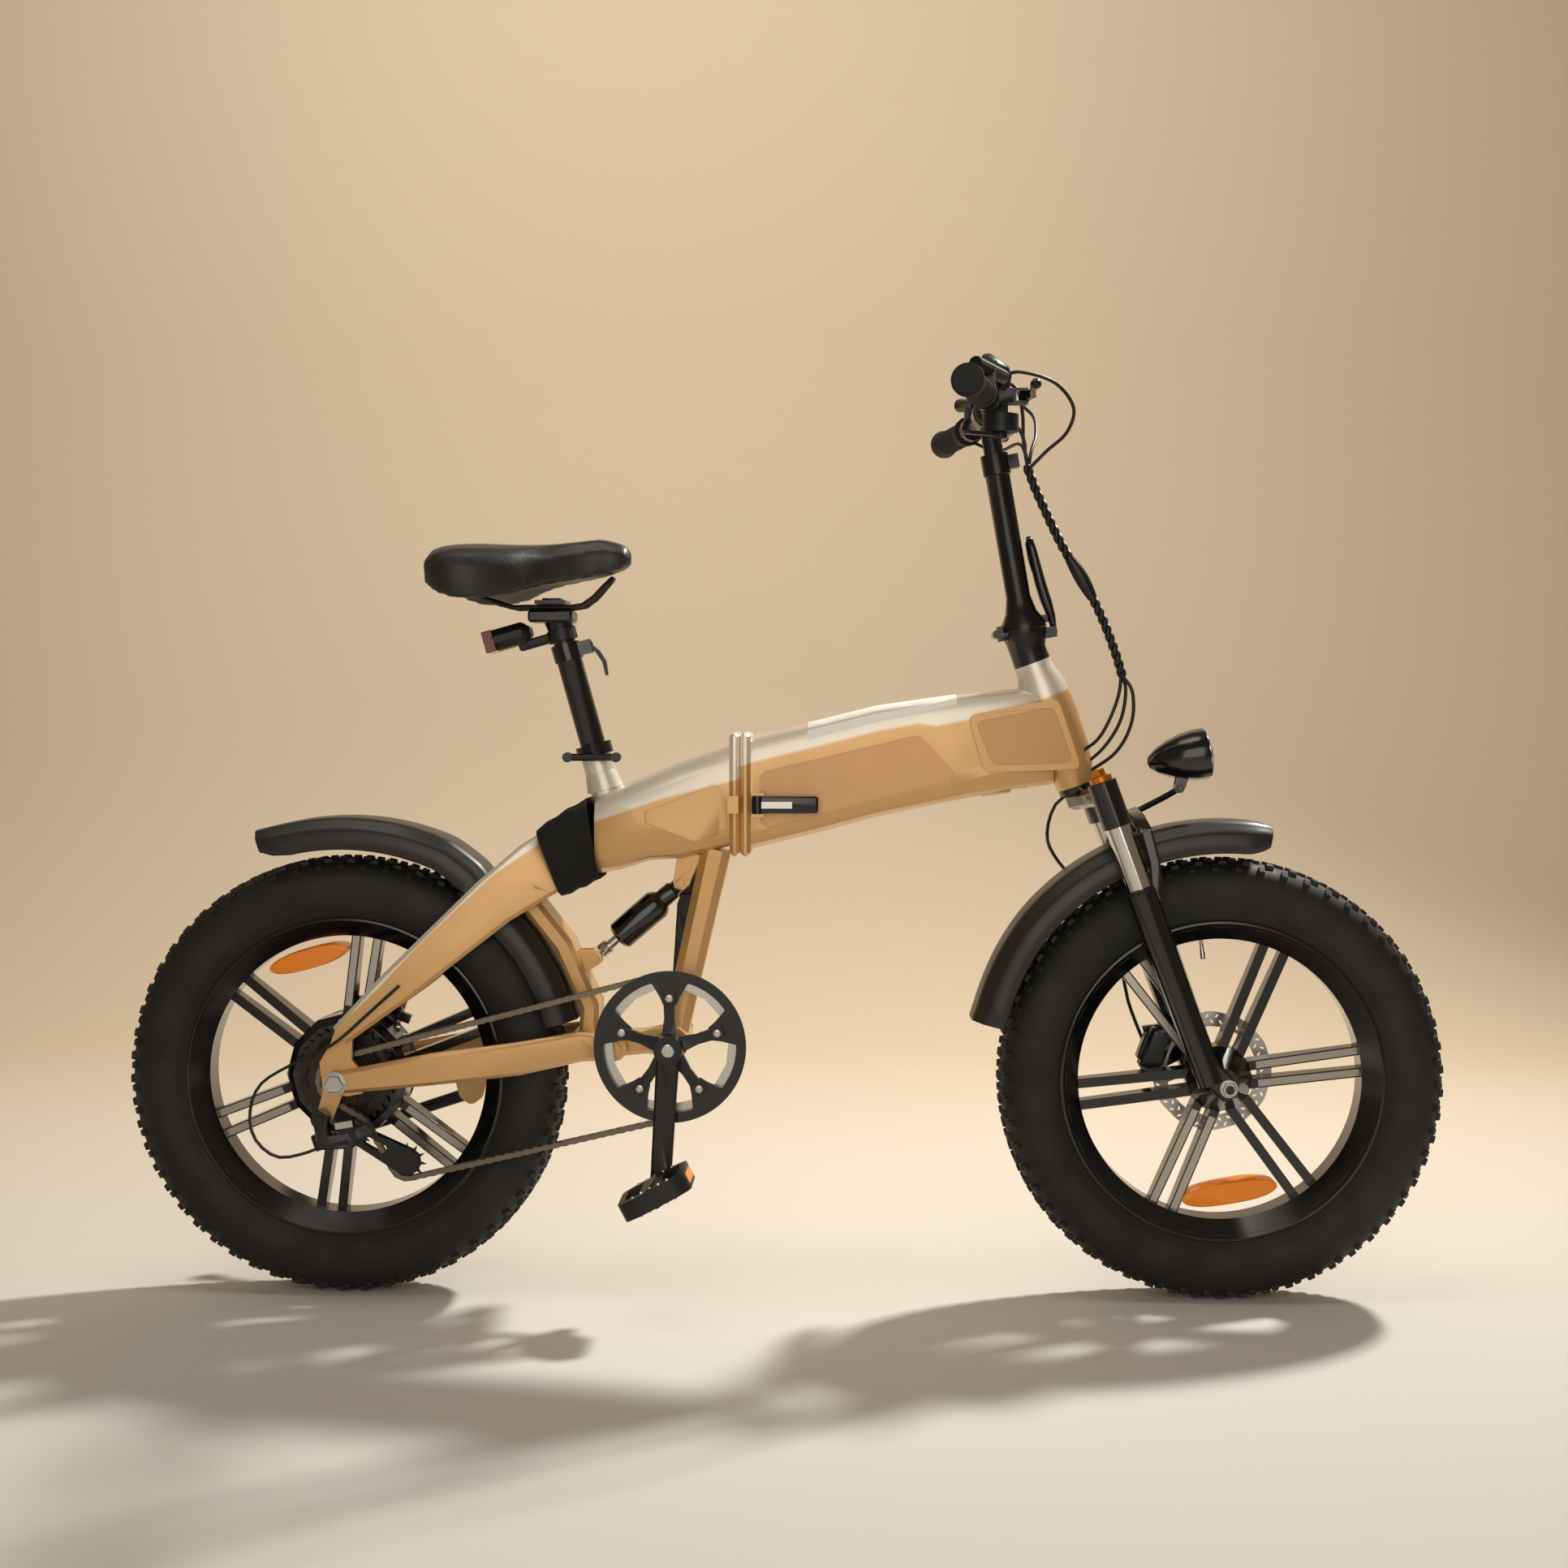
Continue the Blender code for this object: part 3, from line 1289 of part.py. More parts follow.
def shock_body():
    """The damper's case, from the upper eye down to the end where the shaft comes out."""
    along, length = shock_directions()
    stop = length - 0.038
    profile = [
        (0, 0.006),
        (0.0095, 0.006),
        (0.0095, 0.0125),
        (0.0125, 0.0155),
        (0.0125, 0.034),
        (0.0165, 0.038),
        (SHOCK_BODY_RADIUS, 0.044),
        (SHOCK_BODY_RADIUS, stop - 0.004),
        (SHOCK_BODY_RADIUS - 0.004, stop),
        (0, stop),
    ]
    case = turned("shock_case", profile, SHOCK_UPPER, along, WIDE_SIDES)
    eye = across_rod(
        "upper_eye", SHOCK_UPPER, SHOCK_EYE_RADIUS, -SHOCK_EYE_HALF_WIDTH, SHOCK_EYE_HALF_WIDTH
    )
    pin_hole = across_rod(
        "upper_eye_hole", SHOCK_UPPER, running_bore(SHOCK_PIN_RADIUS, ROUND_SIDES), -0.03, 0.03, ROUND_SIDES
    )
    shaft_hole = rod(
        "shaft_hole",
        SHOCK_UPPER + along * 0.055,
        SHOCK_UPPER + along * (stop + 0.01),
        SHOCK_SHAFT_RADIUS + GAP,
    )
    return finish("shock_body", [case, eye], black_metal(), [pin_hole, shaft_hole])


def shock_shaft():
    along, length = shock_directions()
    shaft = rod("shaft", SHOCK_UPPER + along * 0.085, SHOCK_LOWER - along * 0.004, SHOCK_SHAFT_RADIUS)
    collar = rod("shaft_collar", SHOCK_LOWER - along * 0.022, SHOCK_LOWER - along * 0.009, 0.0105)
    eye = across_rod(
        "lower_eye", SHOCK_LOWER, SHOCK_EYE_RADIUS, -SHOCK_EYE_HALF_WIDTH, SHOCK_EYE_HALF_WIDTH
    )
    hole = across_rod("lower_eye_hole", SHOCK_LOWER, SHOCK_PIN_RADIUS + 0.0012, -0.03, 0.03, ROUND_SIDES)
    return finish("shock_shaft", [shaft, collar, eye], black_metal(), [hole])


def caliper(name, axle, angle, disc_y):
    """A hydraulic caliper that straddles the disc's rim, with a slot for it."""
    outward = Vector((math.cos(angle), 0, math.sin(angle)))
    along = LEFTWARD.cross(outward)
    centre = axle + outward * ROTOR_RADIUS + LEFTWARD * (disc_y + CALIPER_SHIFT)
    body = block(name + "_body", (0.058, CALIPER_HALF_WIDTH * 2, 0.030), centre, along, outward, 0.004, 1)
    ears = block(
        name + "_ears",
        (0.084, 0.010, 0.012),
        centre + LEFTWARD * (CALIPER_HALF_WIDTH - 0.005),
        along,
        outward,
    )
    bridge = block(
        name + "_bridge",
        (0.036, CALIPER_HALF_WIDTH * 1.5, 0.008),
        centre + outward * 0.017,
        along,
        outward,
        0.002,
        1,
    )
    slot_height = 0.080
    slot_centre = axle + outward * (ROTOR_RADIUS + 0.0025 - slot_height / 2) + LEFTWARD * disc_y
    slot = block(name + "_slot", (0.12, ROTOR_THICKNESS + 0.0018, slot_height), slot_centre, along, outward)
    return finish(name, [body, ears, bridge], black_metal(), [slot])


def caliper_mount(name, axle, angle, disc_y, root):
    """The lug that the caliper's ears sit on, reaching out of a leg or stay."""
    outward = Vector((math.cos(angle), 0, math.sin(angle)))
    face = disc_y + CALIPER_SHIFT + CALIPER_HALF_WIDTH + GAP
    centre = axle + outward * ROTOR_RADIUS
    along = (Vector((root[0], 0, root[1])) - centre).normalized()
    across = along.cross(LEFTWARD)
    rings = []
    for place, half in ((centre - along * 0.006, 0.032), (Vector((root[0], 0, root[1])), 0.024)):
        spot = Vector((place.x, face + 0.0045, place.z))
        rings.append(square_ring(spot, across, LEFTWARD, half, 0.0045))
    return loft(name, rings)


def kickstand():
    """The stand folded up along the left chain stay, with its pivot boss and rubber foot."""
    pivot = Vector((-0.430, 0.104, 0.244))
    fold = math.radians(199)
    along = Vector((math.cos(fold), 0.10, math.sin(fold))).normalized()
    end = pivot + along * 0.236
    boss = across_rod("stand_boss", pivot, 0.0130, 0.0935, 0.1145)
    leg = bar_loft(
        "stand_leg",
        [(pivot, 0.0065, 0.0085), (pivot + along * 0.10, 0.006, 0.0075), (end, 0.0055, 0.007)],
        0.002,
        1,
    )
    foot = bar_loft(
        "stand_foot", [(end - along * 0.026, 0.009, 0.010), (end + along * 0.006, 0.011, 0.012)], 0.003, 1
    )
    return finish("kickstand", [boss, leg, foot], black_metal())


def stand_bracket():
    """The plate that carries the stand, welded under the left chain stay."""
    plate_outline = rounded(
        [(-0.462, 0.300), (-0.446, 0.240), (-0.430, 0.228), (-0.414, 0.240), (-0.398, 0.300)], 0.006, 1
    )
    return plate("stand_bracket", [plate_outline], 0.008, 0.0890)


# Frame


def beam_ring(x, bottom, top, half_width=None, corner=None):
    half_width = BEAM_HALF_WIDTH if half_width is None else half_width
    corner = BEAM_CORNER if corner is None else corner
    centre = Vector((x, 0, (bottom + top) / 2))
    return ring_of(centre, LEFTWARD, UPWARD, half_width, (top - bottom) / 2, corner, 2)


def fold_flange(name, x):
    centre = (x, 0, (FOLD_FLANGE_BOTTOM + FOLD_FLANGE_TOP) / 2)
    size = (FLANGE_DEPTH, FOLD_FLANGE_HALF_WIDTH * 2, FOLD_FLANGE_TOP - FOLD_FLANGE_BOTTOM)
    return block(name, size, centre, bevel=0.005, segments=1)


def knuckle(name, low, high, x_side):
    """A hinge knuckle round the fold's axis with the web that carries it."""
    pieces = [rod(name, (FOLD_X, FOLD_Y, low), (FOLD_X, FOLD_Y, high), KNUCKLE_RADIUS)]
    web_x = FOLD_X + x_side * (FLANGE_DEPTH + FOLD_GAP) / 2
    web_y = (FOLD_FLANGE_HALF_WIDTH + FOLD_Y) / 2 - 0.003
    web_size = (FLANGE_DEPTH - FOLD_GAP, FOLD_Y - FOLD_FLANGE_HALF_WIDTH + 0.008, high - low - 0.002)
    pieces.append(block(name + "_web", web_size, (web_x, web_y, (low + high) / 2)))
    return pieces


def side_recess(name, outline, half_width):
    """Cutters for a shallow panel sunk into both sides of the beam."""
    cutters = []
    for side in (-1, 1):
        y = side * (half_width - RECESS_DEPTH + 0.010)
        cutters.append(plate(f"{name}_{side}", [rounded(outline, 0.008, 1)], 0.020, y))
    return cutters


def rear_frame():
    """The rear half of the main frame: beam, seat tube, down tube, crank shell and pivot lug."""
    half_gap = FOLD_GAP / 2
    beam = loft(
        "rear_beam",
        [
            beam_ring(-0.2430, 0.5580, 0.6560, 0.041),
            beam_ring(-0.2090, 0.5640, 0.6740),
            beam_ring(-0.1720, 0.5760, 0.6890),
            beam_ring(-0.1300, 0.5790, 0.7060),
            beam_ring(-0.0660, 0.5950, 0.7260),
            beam_ring(FOLD_X - half_gap - 0.004, 0.5950, 0.7290),
        ],
    )
    flange = fold_flange("rear_flange", FOLD_X - half_gap - FLANGE_DEPTH / 2)
    seat_tube = rod(
        "seat_tube", on_seat_axis(0.570), on_seat_axis(0.7120), SEAT_TUBE_RADIUS, sides=WIDE_SIDES
    )
    seat_root = rod("seat_tube_root", on_seat_axis(0.668), on_seat_axis(0.690), 0.0250, 0.0210, WIDE_SIDES)
    down_low = CRANK + Vector((0.002, 0, 0.010))
    down_high = Vector((-0.0850, 0, 0.5900))
    down_middle = down_low.lerp(down_high, 0.5)
    down_tube = bar_loft(
        "down_tube",
        [(down_low, 0.028, 0.0170), (down_middle, 0.026, 0.0180), (down_high, 0.028, 0.0190)],
        0.010,
        1,
    )
    shell = across_rod("crank_shell", CRANK, SHELL_RADIUS, -SHELL_HALF_WIDTH, SHELL_HALF_WIDTH, WIDE_SIDES)
    lug = bar_loft(
        "pivot_lug",
        [(CRANK, 0.029, 0.0190), (CRANK.lerp(PIVOT, 0.5), 0.027, 0.0140), (PIVOT, 0.029, 0.0150)],
        0.006,
        1,
    )
    lug_boss = across_rod("pivot_lug_boss", PIVOT, PIVOT_BOSS_RADIUS, -0.0298, 0.0298, WIDE_SIDES)
    pin = across_rod("pivot_pin", PIVOT, PIVOT_PIN_RADIUS, -0.0535, 0.0535, WIDE_SIDES)
    pieces = [beam, flange, seat_tube, seat_root, down_tube, shell, lug, lug_boss, pin]
    for side in (-1, 1):
        ends = sorted((side * (0.0500 + GAP), side * 0.0545))
        pieces.append(across_rod(f"pivot_cap_{side}", PIVOT, 0.0105, *ends, SMALL_SIDES))
    pieces.extend(
        shock_ears("upper_shock", SHOCK_UPPER, Vector((-0.1200, 0, 0.5860)), SHOCK_EYE_HALF_WIDTH + GAP)
    )
    pieces.extend(knuckle("rear_knuckle_low", 0.6000, 0.6300, -1))
    pieces.extend(knuckle("rear_knuckle_high", 0.6900, 0.7200, -1))
    pieces.append(
        rod(
            "fold_pin",
            (FOLD_X, FOLD_Y, 0.5980),
            (FOLD_X, FOLD_Y, 0.7220),
            KNUCKLE_PIN_RADIUS,
            sides=ROUND_SIDES,
        ),
    )
    catch_size = (0.0145, 0.016, LATCH_HALF_HEIGHT * 2)
    catch_centre = (FOLD_X - half_gap - 0.0080, -(FOLD_FLANGE_HALF_WIDTH + 0.0065), LATCH_Z)
    pieces.append(block("latch_catch", catch_size, catch_centre))
    bore = rod(
        "seat_bore",
        on_seat_axis(0.550),
        on_seat_axis(0.740),
        POST_RADIUS + SLIDE_CLEARANCE,
        sides=WIDE_SIDES,
    )
    spindle_bore = across_rod(
        "spindle_bore", CRANK, running_bore(SPINDLE_RADIUS, WIDE_SIDES), -0.06, 0.06, WIDE_SIDES
    )
    panel = [(-0.195, 0.634), (-0.076, 0.680), (-0.076, 0.612), (-0.112, 0.602)]
    holes = [bore, spindle_bore, *side_recess("rear_panel", panel, BEAM_HALF_WIDTH)]
    return finish("rear_frame", pieces, gold_paint(), holes)


def head_tube():
    profile = [
        (0, 0),
        (0.0245, 0),
        (0.0255, -0.012),
        (0.0325, -0.034),
        (0.0345, -0.070),
        (0.0330, -0.125),
        (0.0260, -HEAD_LENGTH),
        (0, -HEAD_LENGTH),
    ]
    return turned("head_tube", profile, HEAD_TOP, HEAD_DOWN * -1, LARGE_SIDES)


def battery_box(name, grow, length, start):
    """The battery's straight block along the beam, grown all round by a clearance."""
    base = Vector((FOLD_X + start, 0, 0.6650 + (start - 0.02) * math.tan(BATTERY_SLOPE)))
    centre = base + BATTERY_FORWARD * length / 2
    size = (length, (BATTERY_HALF_WIDTH + grow) * 2, (BATTERY_HALF_HEIGHT + grow) * 2)
    return block(name, size, centre, BATTERY_FORWARD, BATTERY_UP, 0.008, 1)


def front_frame():
    """The front half of the main frame: the hollow beam that holds the battery, and the head tube."""
    half_gap = FOLD_GAP / 2
    beam = loft(
        "front_beam",
        [
            beam_ring(FOLD_X + half_gap + 0.004, 0.5900, 0.7350),
            beam_ring(-0.0350, 0.5925, 0.7395),
            beam_ring(0.0560, 0.6150, 0.7605),
            beam_ring(0.1260, 0.6340, 0.7780),
            beam_ring(0.2200, 0.6540, 0.7915),
            beam_ring(0.3000, 0.6690, 0.8005, 0.0400),
            beam_ring(0.3560, 0.6760, 0.8020, 0.0260, 0.018),
        ],
    )
    flange = fold_flange("front_flange", FOLD_X + half_gap + FLANGE_DEPTH / 2)
    cable_exit = rod(
        "cable_exit", (0.262, -0.014, 0.668), (0.300, -0.014, 0.6735), 0.0085, sides=ROUND_SIDES
    )
    pieces = [beam, flange, head_tube(), cable_exit]
    pieces.extend(knuckle("front_knuckle", 0.6300 + FOLD_GAP, 0.6900 - FOLD_GAP, 1))
    for side in (-1, 1):
        ear_z = LATCH_Z + side * (LATCH_HALF_HEIGHT + 0.0024)
        ear = plate_ear(f"latch_ear_{side}", ear_z)
        pieces.append(ear)
    latch_pin_half = LATCH_HALF_HEIGHT + 0.0045
    pieces.append(
        rod(
            "latch_pin",
            (LATCH_X, LATCH_Y, LATCH_Z - latch_pin_half),
            (LATCH_X, LATCH_Y, LATCH_Z + latch_pin_half),
            0.003,
            sides=SMALL_SIDES,
        ),
    )
    steerer_bore = rod(
        "steerer_bore",
        HEAD_TOP - HEAD_DOWN * 0.01,
        HEAD_BOTTOM + HEAD_DOWN * 0.01,
        running_bore(STEERER_RADIUS, WIDE_SIDES),
        sides=WIDE_SIDES,
    )
    pin_bore = rod(
        "fold_pin_bore",
        (FOLD_X, FOLD_Y, 0.600),
        (FOLD_X, FOLD_Y, 0.720),
        running_bore(KNUCKLE_PIN_RADIUS, ROUND_SIDES),
        sides=ROUND_SIDES,
    )
    bay = battery_box("battery_bay", BATTERY_CLEARANCE, BATTERY_LENGTH + 0.05, -0.02)
    cable_hole = rod(
        "cable_hole", (0.285, -0.014, 0.6713), (0.320, -0.014, 0.6764), 0.0055, sides=SMALL_SIDES
    )
    panel = [(-0.026, 0.692), (0.181, 0.741), (0.234, 0.683), (0.125, 0.657), (-0.026, 0.617)]
    small_panel = [(0.250, 0.748), (0.312, 0.762), (0.312, 0.702), (0.276, 0.702)]
    holes = [steerer_bore, pin_bore, bay, cable_hole]
    holes += side_recess("front_panel", panel, BEAM_HALF_WIDTH)
    holes += side_recess("nose_panel", small_panel, 0.0420)
    return finish("front_frame", pieces, gold_paint(), holes)


def plate_ear(name, z):
    """A flat ear from the beam's side out to the latch's pin."""
    size = (0.016, 0.028, 0.0040)
    return block(name, size, (LATCH_X, LATCH_Y + 0.0105, z))


def battery_pack():
    pack = battery_box("pack", 0, BATTERY_LENGTH, BATTERY_START)
    return finish("battery_pack", [pack], black_plastic())


def frame_latch():
    """The lever on the right of the fold, which turns out on its upright pin."""
    low = LATCH_Z - LATCH_HALF_HEIGHT + GAP
    high = LATCH_Z + LATCH_HALF_HEIGHT - GAP
    boss = rod("latch_boss", (LATCH_X, LATCH_Y, low), (LATCH_X, LATCH_Y, high), 0.0085)
    handle_size = (LATCH_LENGTH, 0.0095, high - low)
    handle = block(
        "latch_handle", handle_size, (LATCH_X + LATCH_LENGTH / 2, LATCH_Y - 0.002, LATCH_Z), bevel=0.003
    )
    bore = rod(
        "latch_bore",
        (LATCH_X, LATCH_Y, low - 0.01),
        (LATCH_X, LATCH_Y, high + 0.01),
        running_bore(0.003, SMALL_SIDES),
        sides=SMALL_SIDES,
    )
    return finish("frame_latch", [boss, handle], black_metal(), [bore])


def frame_sleeve():
    """The soft sleeve that hides the gap between the frame and the suspension arm, with a raised band."""
    stations = []
    for x, z, half_width, half_height, degrees in (
        (-0.3010, 0.5735, 0.0665, 0.0455, 21),
        (-0.2870, 0.5815, 0.0675, 0.0495, 19),
        (-0.2770, 0.5875, 0.0645, 0.0490, 17),
        (-0.2650, 0.5940, 0.0630, 0.0525, 14),
        (-0.2550, 0.5995, 0.0560, 0.0515, 12),
        (-0.2450, 0.6050, 0.0500, 0.0535, 10),
    ):
        angle = math.radians(degrees)
        up = Vector((-math.sin(angle), 0, math.cos(angle)))
        stations.append((Vector((x, 0, z)), up, half_width, half_height))
    wall = 0.0035
    outside = [ring_of(place, LEFTWARD, up, wide, tall, 0.016, 2) for place, up, wide, tall in stations]
    inside = [
        ring_of(
            place, LEFTWARD, up, wide - wall, tall - wall, 0.0125, 2
        ) for place, up, wide, tall in stations
    ]
    inside[0] = [point - FORWARD * 0.004 for point in inside[0]]
    inside[-1] = [point + FORWARD * 0.004 for point in inside[-1]]
    return finish(
        "frame_sleeve", [loft("sleeve_outside", outside)], rubber(), [loft("sleeve_inside", inside)]
    )


# Seat


def seat_collar():
    low = on_seat_axis(0.7125)
    high = on_seat_axis(0.7275)
    ring = rod("collar_ring", low, high, 0.0240, sides=WIDE_SIDES)
    bar_start = on_seat_axis(0.7200, -0.0330) - LEFTWARD * 0.0270
    bar_end = on_seat_axis(0.7200, 0.0330) - LEFTWARD * 0.0270
    level = Vector((bar_end.x - bar_start.x, 0, 0))
    bar_end = bar_start + level
    bar = rod("collar_bar", bar_start, bar_end, 0.0050, sides=ROUND_SIDES)
    knobs = [
        across_rod(f"collar_knob_{number}", place, 0.0068, -0.0340, -0.0215)
        for number, place in enumerate((bar_start, bar_end))
    ]
    bore = rod(
        "collar_bore",
        on_seat_axis(0.70),
        on_seat_axis(0.74),
        POST_RADIUS + SLIDE_CLEARANCE,
        sides=WIDE_SIDES,
    )
    return finish("seat_collar", [ring, bar, *knobs], black_metal(), [bore])


def post_collar_span():
    return on_seat_axis(POST_COLLAR_Z), on_seat_axis(POST_COLLAR_Z + POST_COLLAR_HEIGHT)


def seatpost_outer():
    """The lower post, with the clamp at its top that holds the inner post."""
    bottom = on_seat_axis(SEAT_AXIS_Z - POST_INSERTION * SEAT_UP.z)
    low, high = post_collar_span()
    post = rod("outer_post", bottom, high, POST_RADIUS, sides=WIDE_SIDES)
    collar = rod("post_collar", low, high, 0.0195, sides=WIDE_SIDES)
    lug = block(
        "post_clamp_lug",
        (0.020, 0.020, 0.018),
        low.lerp(high, 0.5) + SEAT_FORWARD * 0.0240,
        SEAT_FORWARD,
        SEAT_UP,
    )
    bore = rod(
        "outer_post_bore",
        bottom - SEAT_UP * 0.01,
        high + SEAT_UP * 0.01,
        INNER_POST_RADIUS + SLIDE_CLEARANCE,
        sides=WIDE_SIDES,
    )
    lever_slot = block(
        "post_lever_slot",
        (0.020, 0.0086, 0.030),
        low.lerp(high, 0.5) + SEAT_FORWARD * 0.0345,
        SEAT_FORWARD,
        SEAT_UP,
    )
    outer = finish("seatpost_outer", [post, collar, lug], black_metal(), [bore, lever_slot])
    add_boolean(
        outer,
        across_rod("seat_lever_pin", seat_lever_pin(), 0.0020, -0.0085, 0.0085, SMALL_SIDES),
        "UNION",
        "pin",
    )
    return outer


def seat_lever_pin():
    low, high = post_collar_span()
    return low.lerp(high, 0.62) + SEAT_FORWARD * 0.0310


def seat_lever():
    """The quick release lever, closed, which hangs down in front of the post."""
    pin = seat_lever_pin()
    boss = across_rod("seat_lever_boss", pin, 0.0052, -0.0040, 0.0040, ROUND_SIDES)
    rings = []
    route = [
        (0.000, 0.000, 0.0038), (0.0085, -0.012, 0.0040), (0.0135, -0.028, 0.0036), (0.0120, -0.046, 0.0026)
    ]
    for forward, up, half in route:
        place = pin + SEAT_FORWARD * forward + SEAT_UP * up
        rings.append(square_ring(place, LEFTWARD, SEAT_FORWARD, half + 0.0002, half * 0.75))
    lever = loft("seat_lever_blade", rings)
    bore = across_rod("seat_lever_bore", pin, running_bore(0.0020, SMALL_SIDES), -0.02, 0.02, SMALL_SIDES)
    return finish("seat_lever", [boss, lever], bright_steel(), [bore])


def seatpost_inner():
    """The upper post with the saddle's clamp: rails pass through the notches between its plates."""
    top = on_seat_axis(0.8880)
    bottom = on_seat_axis(0.7000)
    post = rod("inner_post", bottom, top, INNER_POST_RADIUS, sides=WIDE_SIDES)
    neck = rod("post_neck", on_seat_axis(0.866), on_seat_axis(0.894), 0.0150, 0.0190, WIDE_SIDES)
    cradle_top = RAIL_Z - RAIL_RADIUS - GAP * 2
    head_x = top.x - 0.008
    cradle = block(
        "rail_cradle", (0.058, 0.060, 0.016), (head_x, 0, cradle_top - 0.008), bevel=0.003, segments=1
    )
    column = block("clamp_column", (0.024, 0.026, 0.020), (head_x, 0, RAIL_Z + 0.002))
    cap = block("clamp_cap", (0.040, 0.056, 0.005), (head_x, 0, RAIL_Z + RAIL_RADIUS + GAP + 0.0025))
    return finish("seatpost_inner", [post, neck, cradle, column, cap], black_metal())


def saddle_rails():
    """One bent rod under the saddle: up both sides and round the nose."""
    half = []
    for x, y, z in (
        (-0.412, 0.058, 0.9250),
        (-0.385, 0.048, 0.9180),
        (-0.355, 0.030, RAIL_Z),
        (-0.330, RAIL_HALF_SPACING, RAIL_Z),
        (-0.270, RAIL_HALF_SPACING, RAIL_Z),
        (-0.248, 0.020, 0.9180),
        (-0.226, 0.012, 0.9420),
    ):
        half.append((x, y, z))
    nose = [(-0.219, 0.0, 0.9470)]
    route = [*half, *nose, *[(x, -y, z) for x, y, z in reversed(half)]]
    shape = tube("rails", smooth_route(route, 0.018), RAIL_RADIUS, 1)
    return finish("saddle_rails", [shape], bright_steel())


def saddle_stations():
    """Along the saddle: place, half width, top, height of the skirt's edge and of the hollow underside."""
    return [
        (-0.4640, 0.060, 0.9640, 0.9400, 0.9480),
        (-0.4560, 0.092, 0.9760, 0.9300, 0.9460),
        (-0.4300, 0.116, 0.9840, 0.9160, 0.9420),
        (-0.3900, 0.117, 0.9860, 0.9110, 0.9410),
        (-0.3450, 0.096, 0.9850, 0.9180, 0.9420),
        (-0.3050, 0.064, 0.9860, 0.9330, 0.9450),
        (-0.2650, 0.042, 0.9900, 0.9430, 0.9480),
        (-0.2300, 0.032, 0.9935, 0.9500, 0.9530),
        (-0.2020, 0.024, 0.9900, 0.9580, 0.9600),
        (-0.1930, 0.012, 0.9800, 0.9660, 0.9670),
    ]


def saddle():
    """The cushion: a crowned top with a shallow channel, rolled edges and a hollow underside."""
    rings = []
    for x, half, top, skirt, under in saddle_stations():
        dip = 0.004 if half > 0.030 else 0.0
        side = top - min(0.018, (top - skirt) * 0.5)
        right = [
            (0.0, top - dip),
            (half * 0.42, top),
            (half * 0.78, top - 0.005),
            (half * 0.98, side),
            (half, (side + skirt) / 2),
            (half * 0.93, skirt),
            (half * 0.82, skirt + 0.0015),
            (half * 0.55, under),
            (0.0, under),
        ]
        left = [(-y, z) for y, z in reversed(right[1:-1])]
        rings.append([Vector((x, y, z)) for y, z in right + left])
    pieces = [loft("cushion", rings)]
    for x, y, low, high in SADDLE_SOCKETS:
        pieces.append(rod("rail_socket", (x, y, low), (x, y, high), 0.0065, sides=SMALL_SIDES))
    return finish("saddle", pieces, rubber())


def rear_light():
    """The lamp behind the seat post, on a strap round the inner post."""
    strap_low = on_seat_axis(0.8640)
    strap_high = on_seat_axis(0.8800)
    strap = rod("light_strap", strap_low, strap_high, 0.0195, sides=WIDE_SIDES)
    arm_way = Vector((0.962, 0, 0.272))
    arm = block(
        "light_arm",
        (0.050, 0.016, 0.013),
        strap_low.lerp(strap_high, 0.5) - arm_way * 0.034,
        arm_way,
        Vector((-0.272, 0, 0.962)),
        0.002,
        1,
    )
    body = block(
        "light_body",
        (0.062, 0.050, 0.028),
        (-0.3600, 0, 0.8690),
        arm_way,
        Vector((-0.272, 0, 0.962)),
        0.009,
        1,
    )
    bore = rod("light_strap_bore", on_seat_axis(0.855), on_seat_axis(0.890), 0.0150 + GAP, sides=WIDE_SIDES)
    room = rod("light_strap_room", on_seat_axis(0.8655), on_seat_axis(0.900), 0.0153, 0.0196, WIDE_SIDES)
    return finish("rear_light", [strap, arm, body], black_plastic(), [bore, room])


# Steering


